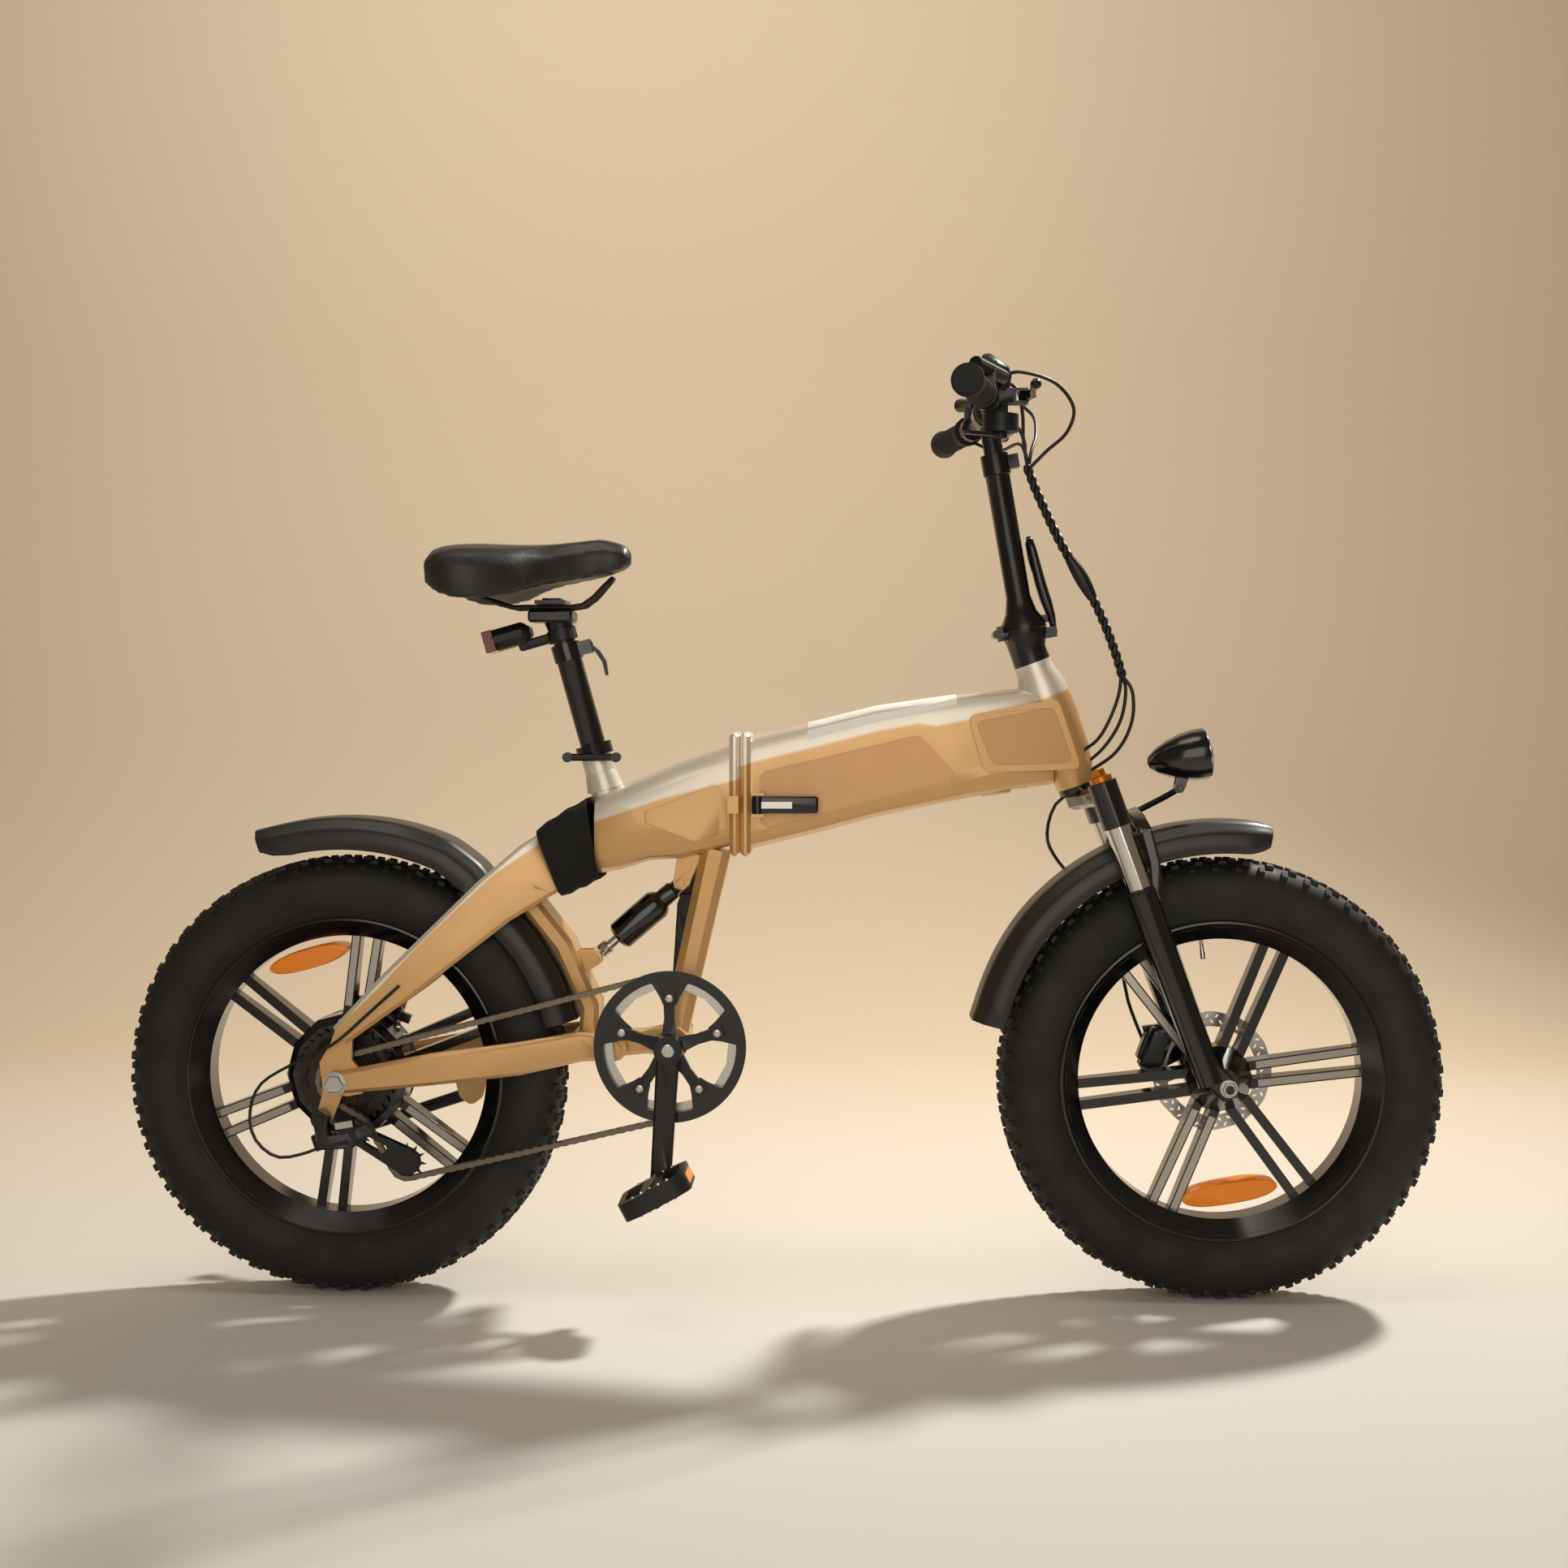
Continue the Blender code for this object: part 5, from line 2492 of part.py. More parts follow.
def control_loom():
    """The spiral wrapped bundle from the handlebar down to the head tube, with a wound rib."""
    route = [
        (0.2991, -0.0200, 1.1508),
        (0.3050, -0.0290, 1.1250),
        (0.3180, -0.0345, 1.0880),
        (0.3330, -0.0350, 1.0500),
        (0.3620, -0.0350, 0.9890),
        (0.3890, -0.0350, 0.9440),
        (0.4130, -0.0340, 0.8990),
        (0.4320, -0.0320, 0.8520),
        (0.4430, -0.0290, 0.8180),
        (0.4370, -0.0240, 0.7700),
        (0.4240, -0.0170, 0.7300),
        (0.4099, -0.0100, 0.7046),
    ]
    points = smooth_route(route, 0.0115)
    radii = [1.12 if number % 2 else 0.90 for number in range(len(points))]
    radii[0] = radii[1] = 0.8
    radii[-1] = 0.55
    radii[-2] = 0.6
    radii[-3] = 0.65
    radii[-4] = 0.7
    shape = tube("loom_run", points, 0.0066, 1, radii)
    return finish("control_loom", [shape], rubber())


def front_brake_hose():
    route = [
        (0.3876, 0.0435, 0.6646),
        (0.3650, 0.0500, 0.6450),
        (0.3560, 0.0640, 0.6060),
        (0.3700, 0.0900, 0.5720),
        (0.4200, 0.1040, 0.5100),
        (0.4600, 0.1030, 0.4200),
        (0.4700, 0.0860, 0.3740),
        (0.4846, 0.0597, 0.3303),
    ]
    return cable("front_brake_hose", route)


def shift_cable():
    """The gear cable from its stop on the right seat stay, looped back to the derailleur."""
    y = -0.0905
    route = [
        (-0.4900, y, 0.4180),
        (-0.5300, y, 0.3820),
        (-0.5760, y - 0.001, 0.3420),
        (-0.6250, y - 0.002, 0.3180),
        (-0.6700, y - 0.004, 0.2900),
        (-0.6840, y - 0.006, 0.2520),
        (-0.6770, y - 0.006, 0.2180),
        (-0.6500, y - 0.006, 0.1960),
        (-0.6180, y - 0.004, 0.1990),
        (-0.5960, y - 0.002, 0.2070),
    ]
    return cable("shift_cable", route, 0.0022)


def build():
    clear_scene()
    cage_turn = taut_cage_turn()
    wheels = chain_wheels(cage_turn)
    pieces = chain_pieces(wheels)
    upper = tuple(wheels[2][0])
    lower = tuple(wheels[3][0])
    phases = [
        wheel_phase(pieces, 3, CHAINRING_TEETH, 1),
        wheel_phase(pieces, 0, COG_TEETH[0], 1),
        wheel_phase(pieces, 1, PULLEY_TEETH, -1),
        wheel_phase(pieces, 2, PULLEY_TEETH, 1),
    ]

    rear_frame()
    frame_sleeve()
    seat_collar()
    seatpost = joint_empty("seatpost_axis", SEAT_AXIS, SEAT_UP)
    hang(seatpost, seatpost_outer())
    seat_clamp = joint_empty("seat_lever_axis", seat_lever_pin())
    hang(seat_clamp, seat_lever())
    saddle_axis = joint_empty("saddle_axis", on_seat_axis(0.86), SEAT_UP)
    hang(saddle_axis, seatpost_inner(), saddle_rails(), saddle(), rear_light())

    crank_axis = joint_empty("crank_axis", CRANK)
    right_crank = crank_arm_right()
    add_boolean(right_crank, spindle_socket(), "DIFFERENCE", "spindle_socket")
    hang(crank_axis, right_crank, crank_arm_left(), chainring(phases[0]), chain_guard())
    hang(joint_empty("pedal_right_axis", crank_tip(1)), pedal("pedal_right", 1))
    hang(joint_empty("pedal_left_axis", crank_tip(-1)), pedal("pedal_left", -1))

    arm_axis = joint_empty("swingarm_axis", PIVOT)
    arm = swingarm()
    add_boolean(arm, stand_bracket(), "UNION", "stand_bracket")
    rear_caliper = caliper("rear_caliper", REAR_AXLE, REAR_CALIPER_ANGLE, REAR_ROTOR_Y)
    hang(arm_axis, arm, rear_caliper, rear_mudguard(), derailleur_body(upper), chain(pieces), shift_cable())
    hang(joint_empty("cage_axis", (upper[0], 0, upper[1])), derailleur_cage(cage_turn, upper, lower))
    hang(
        joint_empty("upper_pulley_axis", (upper[0], 0, upper[1])), pulley("upper_pulley", upper, phases[2])
    )
    hang(
        joint_empty("lower_pulley_axis", (lower[0], 0, lower[1])), pulley("lower_pulley", lower, phases[3])
    )
    hang(joint_empty("stand_axis", (-0.430, 0.104, 0.244)), kickstand())
    rear_axis = joint_empty("rear_wheel_axis", REAR_AXLE)
    hang(
        rear_axis,
        rear_wheel(),
        tyre("rear_tyre", REAR_AXLE),
        brake_rotor("rear_rotor", REAR_AXLE, REAR_ROTOR_Y),
    )
    hang(joint_empty("freewheel_axis", REAR_AXLE), freewheel(phases[1]))
    hang(joint_empty("shock_axis", SHOCK_UPPER), shock_body())
    hang(joint_empty("shock_slide_axis", SHOCK_LOWER, shock_directions()[0]), shock_shaft())

    fold_axis = joint_empty("fold_axis", (FOLD_X, FOLD_Y, 0.66), UPWARD)
    hang(fold_axis, front_frame(), battery_pack())
    hang(joint_empty("latch_axis", (LATCH_X, LATCH_Y, LATCH_Z), UPWARD), frame_latch())
    steering_axis = joint_empty("steering_axis", HEAD_BOTTOM, HEAD_DOWN * -1)
    hang(steering_axis, fork_crown(), stem_base())
    hang(
        joint_empty("knob_axis", on_head(0, LEG_OFFSET, -LEG_HALF_SPACING), HEAD_DOWN * -1), preload_knob()
    )
    fork_axis = joint_empty("fork_axis", on_head(LOWER_LEG_TOP, LEG_OFFSET), HEAD_DOWN * -1)
    front_caliper = caliper("front_caliper", FRONT_AXLE, FRONT_CALIPER_ANGLE, FRONT_ROTOR_Y)
    hang(fork_axis, fork_lowers(), front_mudguard(), front_brake_hose(), front_caliper)
    hang(joint_empty("headlight_axis", LAMP_PIVOT), headlight())
    front_axis = joint_empty("front_wheel_axis", FRONT_AXLE)
    hang(
        front_axis,
        front_wheel(),
        tyre("front_tyre", FRONT_AXLE),
        brake_rotor("front_rotor", FRONT_AXLE, FRONT_ROTOR_Y),
    )

    hang(joint_empty("stem_axis", STEM_PIN), stem_tube())
    hang(joint_empty("stem_latch_axis", STEM_LATCH_PIN), stem_latch())
    bar_axis = joint_empty("bar_height_axis", on_stem(STEM_LENGTH), STEM_UP)
    hang(bar_axis, bar_post(), handlebar(), grip("grip_right", -1), grip("grip_left", 1))
    hang(bar_axis, brake_master(-1), brake_master(1), shifter(), display(), control_loom())
    hang(joint_empty("right_lever_axis", master_lever_pin(-1), UPWARD), brake_lever(-1))
    hang(joint_empty("left_lever_axis", master_lever_pin(1), UPWARD), brake_lever(1))
    hang(joint_empty("shift_lever_axis", shift_lever_pin(), UPWARD), shift_lever())
    throttle_place, throttle_way = bar_point(BAR_HALF_WIDTH - GRIP_LENGTH - 0.010)
    hang(joint_empty("throttle_axis", throttle_place, throttle_way), throttle())


build()
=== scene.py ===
"""Dresses the folding electric bicycle: fine shapes, finishes, lights and camera.

Metres, +Z up, +X towards the front wheel and +Y to the rider's left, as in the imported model.
"""

import json
import logging
import math
from collections.abc import Callable, Sequence
from dataclasses import dataclass
from enum import Enum

import bmesh
import bpy
import numpy as np
from mathutils import Matrix, Vector
from mathutils.bvhtree import BVHTree

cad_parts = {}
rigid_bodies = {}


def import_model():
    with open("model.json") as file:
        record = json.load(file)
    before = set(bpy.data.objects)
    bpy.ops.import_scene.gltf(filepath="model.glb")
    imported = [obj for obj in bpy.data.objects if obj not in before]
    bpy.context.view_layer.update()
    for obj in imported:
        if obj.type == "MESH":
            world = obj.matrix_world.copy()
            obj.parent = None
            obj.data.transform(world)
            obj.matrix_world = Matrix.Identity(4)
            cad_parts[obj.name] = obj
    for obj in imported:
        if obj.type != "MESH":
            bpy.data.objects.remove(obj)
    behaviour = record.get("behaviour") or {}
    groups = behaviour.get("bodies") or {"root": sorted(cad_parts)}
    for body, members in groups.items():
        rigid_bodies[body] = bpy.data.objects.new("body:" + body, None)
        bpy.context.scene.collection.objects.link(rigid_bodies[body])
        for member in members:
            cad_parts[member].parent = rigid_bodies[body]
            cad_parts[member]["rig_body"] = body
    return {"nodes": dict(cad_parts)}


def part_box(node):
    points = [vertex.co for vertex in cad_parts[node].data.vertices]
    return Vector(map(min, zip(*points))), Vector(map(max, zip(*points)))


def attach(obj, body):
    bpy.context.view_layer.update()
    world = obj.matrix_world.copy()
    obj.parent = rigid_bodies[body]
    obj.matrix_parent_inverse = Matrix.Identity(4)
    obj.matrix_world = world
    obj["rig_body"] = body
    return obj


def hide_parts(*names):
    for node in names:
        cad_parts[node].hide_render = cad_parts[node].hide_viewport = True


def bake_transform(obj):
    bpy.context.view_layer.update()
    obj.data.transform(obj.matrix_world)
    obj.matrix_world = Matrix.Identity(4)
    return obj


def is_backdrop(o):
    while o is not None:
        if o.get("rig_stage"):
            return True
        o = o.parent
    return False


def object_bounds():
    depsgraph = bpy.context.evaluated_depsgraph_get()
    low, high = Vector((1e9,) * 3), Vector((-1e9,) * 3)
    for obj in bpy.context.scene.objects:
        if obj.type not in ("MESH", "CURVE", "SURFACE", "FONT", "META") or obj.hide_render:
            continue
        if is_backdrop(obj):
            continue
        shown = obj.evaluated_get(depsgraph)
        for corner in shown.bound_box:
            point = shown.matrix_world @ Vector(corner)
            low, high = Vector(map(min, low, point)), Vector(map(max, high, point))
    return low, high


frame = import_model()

LOG = logging.getLogger("bicycle")
Point = Sequence[float]
Spot = tuple[float, float, float]
Corner = tuple[float, float]
Piece = bpy.types.Object
Colour = tuple[float, float, float, float]
FORWARD = Vector((1, 0, 0))
LEFTWARD = Vector((0, 1, 0))
UPWARD = Vector((0, 0, 1))
SAME_PLACE = 0.00001
FLAT_ANGLE = math.radians(0.5)
SHARP_ANGLE = math.radians(38)


class Slot(str, Enum):
    """The record's material slots."""

    GOLD = "gold_paint"
    METAL = "black_metal"
    PLASTIC = "black_plastic"
    RUBBER = "rubber"
    TYRE = "tyre_rubber"
    STEEL = "bright_steel"
    CHAIN = "dark_chain"


def paint(red: int, green: int, blue: int) -> Colour:
    """Turn a colour as a screen shows it into the linear one that a shader takes.

    Args:
        red: Red, from 0 to 255.
        green: Green, from 0 to 255.
        blue: Blue, from 0 to 255.

    Returns:
        The linear colour, opaque.
    """
    shares = [level / 255 for level in (red, green, blue)]
    linear = [share / 12.92 if share < 0.04045 else ((share + 0.055) / 1.055) ** 2.4 for share in shares]
    return (*linear, 1.0)


def darker(colour: Colour, share: float) -> Colour:
    """Return the colour with its light scaled by a share."""
    return (colour[0] * share, colour[1] * share, colour[2] * share, 1.0)


# Shaders


class Value:
    """A shader output that Python's arithmetic can be written with."""

    def __init__(self, recipe: "Recipe", socket: bpy.types.NodeSocket) -> None:
        """Keep the recipe it belongs to and the socket it comes from."""
        self.recipe = recipe
        self.socket = socket

    def _join(self, operation: str, other: "Value | float", flipped: bool = False) -> "Value":
        """Add a Math node between this value and another.

        Args:
            operation: The Math node's operation.
            other: The other operand.
            flipped: Whether the other operand comes first.

        Returns:
            The node's output.
        """
        first, second = (other, self) if flipped else (self, other)
        return self.recipe.node("ShaderNodeMath", {"operation": operation}, {0: first, 1: second})

    def __add__(self, other: "Value | float") -> "Value":
        """Return the sum."""
        return self._join("ADD", other)

    def __radd__(self, other: float) -> "Value":
        """Return the sum."""
        return self._join("ADD", other, True)

    def __sub__(self, other: "Value | float") -> "Value":
        """Return the difference."""
        return self._join("SUBTRACT", other)

    def __rsub__(self, other: float) -> "Value":
        """Return the number less this value."""
        return self._join("SUBTRACT", other, True)

    def __mul__(self, other: "Value | float") -> "Value":
        """Return the product."""
        return self._join("MULTIPLY", other)

    def __rmul__(self, other: float) -> "Value":
        """Return the product."""
        return self._join("MULTIPLY", other, True)

    def __pow__(self, other: float) -> "Value":
        """Return this value raised to a power."""
        return self._join("POWER", other)

    def __abs__(self) -> "Value":
        """Return the size without its sign."""
        return self.recipe.node("ShaderNodeMath", {"operation": "ABSOLUTE"}, {0: self})

    def above(self, edge: "Value | float", blur: float) -> "Value":
        """Return 1 where this value is over an edge and 0 under it, with a soft step.

        Args:
            edge: The value at the middle of the step.
            blur: The step's whole width.

        Returns:
            The mask.
        """
        rise = (self - edge) * (1 / blur) + 0.5
        return self.recipe.node("ShaderNodeClamp", None, {"Value": rise})

    def wave(self, cycles: float) -> "Value":
        """Return a sine wave of this value, from 0 to 1, with so many cycles a metre."""
        sine = self.recipe.node("ShaderNodeMath", {"operation": "SINE"}, {0: self * (cycles * math.tau)})
        return sine * 0.5 + 0.5


class Recipe:
    """The node tree of one material, built round a Principled shader."""

    def __init__(self, name: str) -> None:
        """Start a material under this name.

        Args:
            name: Its name.
        """
        self.material = bpy.data.materials.new(name)
        self.material.use_nodes = True
        self.tree = self.material.node_tree
        self.shader = self.tree.nodes["Principled BSDF"]

    def node(
        self,
        kind: str,
        settings: dict[str, object] | None = None,
        sockets: dict[str | int, object] | None = None,
        output: str | int = 0,
    ) -> Value:
        """Add one node.

        Args:
            kind: The node's type.
            settings: Its settings; stops fill a colour ramp and line a float curve.
            sockets: What its inputs take, numbers or other values.
            output: The output that is wanted.

        Returns:
            That output.
        """
        made = self.tree.nodes.new(kind)
        for key, value in (settings or {}).items():
            if key == "stops":
                self._fill_ramp(made, value)
            elif key == "line":
                self._fill_line(made, value)
            else:
                setattr(made, key, value)
        for key, value in (sockets or {}).items():
            self._feed(made.inputs[key], value)
        return Value(self, made.outputs[output])

    def _fill_ramp(self, made: bpy.types.Node, stops: list[tuple[float, Colour]]) -> None:
        """Set a colour ramp's stops.

        Args:
            made: The node.
            stops: Places and colours.
        """
        ramp = made.color_ramp
        while len(ramp.elements) < len(stops):
            ramp.elements.new(0.5)
        for element, (place, colour) in zip(ramp.elements, stops):
            element.position = place
            element.color = colour

    def _fill_line(self, made: bpy.types.Node, points: list[Corner]) -> None:
        """Set a float curve's points, joined by straight lines.

        Args:
            made: The node.
            points: The line's points.
        """
        curve = made.mapping.curves[0]
        while len(curve.points) < len(points):
            curve.points.new(0.5, 0.5)
        for point, place in zip(curve.points, points):
            point.location = place
            point.handle_type = "VECTOR"
        made.mapping.update()

    def _feed(self, socket: bpy.types.NodeSocket, value: object) -> None:
        """Link a value to a socket, or set the socket's number.

        Args:
            socket: The socket.
            value: A link or a number.
        """
        if isinstance(value, Value):
            self.tree.links.new(value.socket, socket)
        else:
            socket.default_value = value

    def set(self, socket: str, value: object) -> None:
        """Give one of the shader's sockets its number or its value."""
        self._feed(self.shader.inputs[socket], value)

    def place(self) -> Value:
        """Return the Object coordinates."""
        return self.node("ShaderNodeTexCoord", output="Object")

    def axis(self, name: str, vector: Value | None = None) -> Value:
        """Return one coordinate, X, Y or Z, of a vector or of the place."""
        return self.node("ShaderNodeSeparateXYZ", None, {0: vector or self.place()}, name)

    def noise(self, scale: float, detail: float = 3.0, vector: Value | None = None) -> Value:
        """Return smooth noise from about 0 to 1.

        Args:
            scale: Cells a metre.
            detail: Octaves of finer noise.
            vector: Where to read it, or the place itself.

        Returns:
            The noise.
        """
        sockets = {"Vector": vector or self.place(), "Scale": scale, "Detail": detail}
        return self.node("ShaderNodeTexNoise", None, sockets)

    def cells(self, scale: float, feature: str = "F1", vector: Value | None = None) -> Value:
        """Return the distance in a cell pattern with so many cells a metre."""
        sockets = {"Vector": vector or self.place(), "Scale": scale}
        return self.node("ShaderNodeTexVoronoi", {"feature": feature}, sockets)

    def stretched(self, scale: Point) -> Value:
        """Return the place, stretched along each axis by a factor."""
        return self.node("ShaderNodeMapping", None, {"Vector": self.place(), "Scale": scale})

    def blend(self, mask: Value, low: object, high: object) -> Value:
        """Return a colour between two, low where the mask is 0 and high where it is 1."""
        return self.node("ShaderNodeMix", {"data_type": "RGBA"}, {0: mask, 6: low, 7: high}, 2)

    def tint(self, mask: Value, colour: Colour, spread: float) -> None:
        """Give the shader a colour that a mask makes a little lighter and darker.

        Args:
            mask: From 0 to 1.
            colour: The middle colour.
            spread: How far it goes each way, as a share of its light.
        """
        self.set("Base Color", self.blend(mask, darker(colour, 1 - spread), darker(colour, 1 + spread)))

    def relief(self, height: Value, depth: float, strength: float = 1.0) -> None:
        """Raise the surface by a height pattern.

        Args:
            height: The pattern, from 0 to 1.
            depth: Its depth in metres.
            strength: How much of it shows.
        """
        sockets = {"Height": height, "Distance": depth, "Strength": strength}
        self.set("Normal", self.node("ShaderNodeBump", None, sockets))


# Finishes


@dataclass(frozen=True)
class Finish:
    """A plain mottled finish, and what all the others share."""

    name: str
    slot: Slot
    colour: Colour
    roughness: float
    metallic: float = 0.0
    coat: float = 0.0

    def material(self) -> bpy.types.Material:
        """Return the finish's material, made once.

        Returns:
            The material.
        """
        found = bpy.data.materials.get(self.name)
        if found:
            return found
        recipe = Recipe(self.name)
        recipe.set("Roughness", self.roughness)
        recipe.set("Metallic", self.metallic)
        recipe.set("Coat Weight", self.coat)
        recipe.set("Coat Roughness", 0.12)
        recipe.set("Base Color", self.colour)
        self.detail(recipe)
        return recipe.material

    def detail(self, recipe: Recipe) -> None:
        """Vary the colour and the gloss a little over the surface."""
        recipe.tint(recipe.noise(60.0), self.colour, 0.08)
        recipe.set("Roughness", recipe.noise(35.0) * 0.12 + (self.roughness - 0.06))


@dataclass(frozen=True)
class Lacquer(Finish):
    """Metallic paint with fine flakes under a clear coat."""

    flake: float = 0.10

    def detail(self, recipe: Recipe) -> None:
        """Scatter flakes, and let the coat wander a little."""
        recipe.tint(recipe.noise(1400.0, 1.0), self.colour, self.flake)
        recipe.set("Roughness", recipe.noise(24.0) * 0.10 + (self.roughness - 0.05))


@dataclass(frozen=True)
class TwoTone(Lacquer):
    """Lacquer whose upper part, over a line along the frame, has a second colour."""

    upper: Colour = (0.7, 0.7, 0.7, 1.0)
    line: tuple[Corner, ...] = ()
    blur: float = 0.004

    def detail(self, recipe: Recipe) -> None:
        """Mix the two colours at the line, with flakes in both.

        Args:
            recipe: The material being written.
        """
        start, end = self.line[0][0], self.line[-1][0]
        span = end - start
        along = (recipe.axis("X") - start) * (1 / span)
        stops = [((x - start) / span, z) for x, z in self.line]
        edge = recipe.node("ShaderNodeFloatCurve", {"line": stops}, {"Value": along})
        mask = recipe.axis("Z").above(edge, self.blur)
        flakes = recipe.noise(1400.0, 1.0)
        lower = recipe.blend(flakes, darker(self.colour, 1 - self.flake), darker(self.colour, 1 + self.flake))
        upper = recipe.blend(flakes, darker(self.upper, 0.96), darker(self.upper, 1.03))
        recipe.set("Base Color", recipe.blend(mask, lower, upper))
        recipe.set("Roughness", recipe.noise(24.0) * 0.10 + (self.roughness - 0.05))


@dataclass(frozen=True)
class Moulded(Finish):
    """Moulded plastic with a fine spark grain."""

    grain: float = 900.0
    depth: float = 0.00008

    def detail(self, recipe: Recipe) -> None:
        """Grain the surface and mottle it faintly.

        Args:
            recipe: The material being written.
        """
        recipe.tint(recipe.noise(40.0), self.colour, 0.12)
        recipe.set("Roughness", recipe.noise(30.0) * 0.10 + (self.roughness - 0.05))
        recipe.relief(recipe.cells(self.grain), self.depth, 0.6)


@dataclass(frozen=True)
class TyreRubber(Finish):
    """Tyre rubber: matt, a little dusty, with fine rings on its wall."""

    axle: Spot = (0.0, 0.0, 0.29)

    def detail(self, recipe: Recipe) -> None:
        """Draw rings about the axle, and dust that lies more on the tread.

        Args:
            recipe: The material being written.
        """
        x = recipe.axis("X") - self.axle[0]
        z = recipe.axis("Z") - self.axle[2]
        radius = (x * x + z * z) ** 0.5
        dust = recipe.noise(18.0, 5.0).above(0.56, 0.30)
        worn = radius.above(0.2835, 0.006) * dust
        recipe.set("Base Color", recipe.blend(worn * 0.35, self.colour, paint(92, 86, 76)))
        recipe.set("Roughness", dust * 0.15 + self.roughness)
        fine = recipe.noise(420.0, 2.0) * 0.5
        rings = radius.wave(230.0) * radius.above(0.2150, 0.002) * (1 - radius.above(0.2300, 0.002))
        recipe.relief(fine + rings, 0.0004, 0.5)


@dataclass(frozen=True)
class Vinyl(Finish):
    """Saddle cover: soft vinyl with a pebbled grain and worn shine on its crown."""

    def detail(self, recipe: Recipe) -> None:
        """Pebble the cover and polish its top.

        Args:
            recipe: The material being written.
        """
        pebbles = recipe.cells(520.0) + recipe.noise(900.0, 2.0) * 0.4
        recipe.tint(recipe.noise(25.0, 4.0), self.colour, 0.18)
        worn = recipe.axis("Z").above(0.978, 0.02)
        recipe.set("Roughness", worn * -0.10 + recipe.noise(30.0) * 0.10 + self.roughness)
        recipe.relief(pebbles, 0.00022, 0.55)


@dataclass(frozen=True)
class Woven(Finish):
    """Thick woven cloth over foam."""

    pitch: float = 520.0

    def detail(self, recipe: Recipe) -> None:
        """Cross two sets of threads.

        Args:
            recipe: The material being written.
        """
        weft = recipe.axis("Y").wave(self.pitch)
        warp = (recipe.axis("Z") + recipe.axis("X") * 0.5).wave(self.pitch)
        recipe.tint(recipe.noise(45.0, 4.0), self.colour, 0.25)
        recipe.relief(weft * warp, 0.0004, 0.7)


@dataclass(frozen=True)
class Brushed(Finish):
    """Bare metal with fine lines along one axis."""

    scale: Spot = (30.0, 900.0, 900.0)

    def detail(self, recipe: Recipe) -> None:
        """Stretch noise into brush lines.

        Args:
            recipe: The material being written.
        """
        lines = recipe.noise(1.0, 4.0, recipe.stretched(self.scale))
        recipe.tint(lines, self.colour, 0.12)
        recipe.set("Roughness", lines * 0.16 + (self.roughness - 0.08))
        recipe.relief(lines, 0.00003, 0.5)


@dataclass(frozen=True)
class Turned(Finish):
    """Metal cut on a lathe, with rings about its own axle."""

    axle: Spot = (0.0, 0.0, 0.29)

    def detail(self, recipe: Recipe) -> None:
        """Cut rings about the axle.

        Args:
            recipe: The material being written.
        """
        x = recipe.axis("X") - self.axle[0]
        z = recipe.axis("Z") - self.axle[2]
        rings = ((x * x + z * z) ** 0.5).wave(900.0)
        recipe.tint(recipe.noise(80.0), self.colour, 0.06)
        recipe.set("Roughness", rings * 0.10 + self.roughness)
        recipe.relief(rings, 0.00003, 0.5)


@dataclass(frozen=True)
class Reflector(Finish):
    """Clear coloured plastic with a grid of small prisms behind its face, and a painted glow that makes it shine
    though it is no lamp.
    """

    # Painted glow: how strongly the plastic shines by itself, though it is no lamp.
    painted_glow: float = 0.0

    def detail(self, recipe: Recipe) -> None:
        """Draw the prisms, and add the painted glow.

        Args:
            recipe: The material being written.
        """
        prisms = recipe.axis("X").wave(260.0) * recipe.axis("Z").wave(260.0)
        recipe.set("Base Color", recipe.blend(prisms, darker(self.colour, 0.8), darker(self.colour, 1.15)))
        recipe.relief(prisms, 0.0006, 0.5)
        # Painted glow: the plastic emits its own colour, as if lit.
        recipe.set("Emission Color", self.colour)
        recipe.set("Emission Strength", self.painted_glow)


@dataclass(frozen=True)
class Lens(Finish):
    """Clear moulded glass with flutes."""

    def detail(self, recipe: Recipe) -> None:
        """Flute the glass and let light through.

        Args:
            recipe: The material being written.
        """
        recipe.set("Transmission Weight", 0.9)
        recipe.set("IOR", 1.46)
        recipe.relief(recipe.axis("Y").wave(180.0), 0.0006, 0.4)


@dataclass(frozen=True)
class Screen(Finish):
    """A switched off display: dark glass with a faint panel behind it."""

    def detail(self, recipe: Recipe) -> None:
        """Show the panel's edge faintly."""
        panel = 1 - abs(recipe.axis("Y")).above(0.022, 0.001)
        recipe.set("Base Color", recipe.blend(panel, self.colour, paint(38, 42, 44)))


GOLD_COLOUR = paint(217, 171, 112)
SILVER_COLOUR = paint(236, 228, 212)
FRONT_LINE = (
    (-0.080, 0.690), (-0.034, 0.706), (0.035, 0.723), (0.126, 0.746), (0.180, 0.756), (0.201, 0.7525),
    (0.255, 0.763), (0.324, 0.781), (0.374, 0.8005), (0.460, 0.8300),
)
REAR_LINE = ((-0.420, 0.560), (-0.300, 0.600), (-0.245, 0.6265), (-0.154, 0.658), (-0.071, 0.679),
    (-0.020, 0.694))
ARM_LINE = ((-0.640, 0.300), (-0.565, 0.370), (-0.518, 0.414), (-0.469, 0.467), (-0.417, 0.517),
    (-0.3705, 0.560), (-0.300, 0.608))

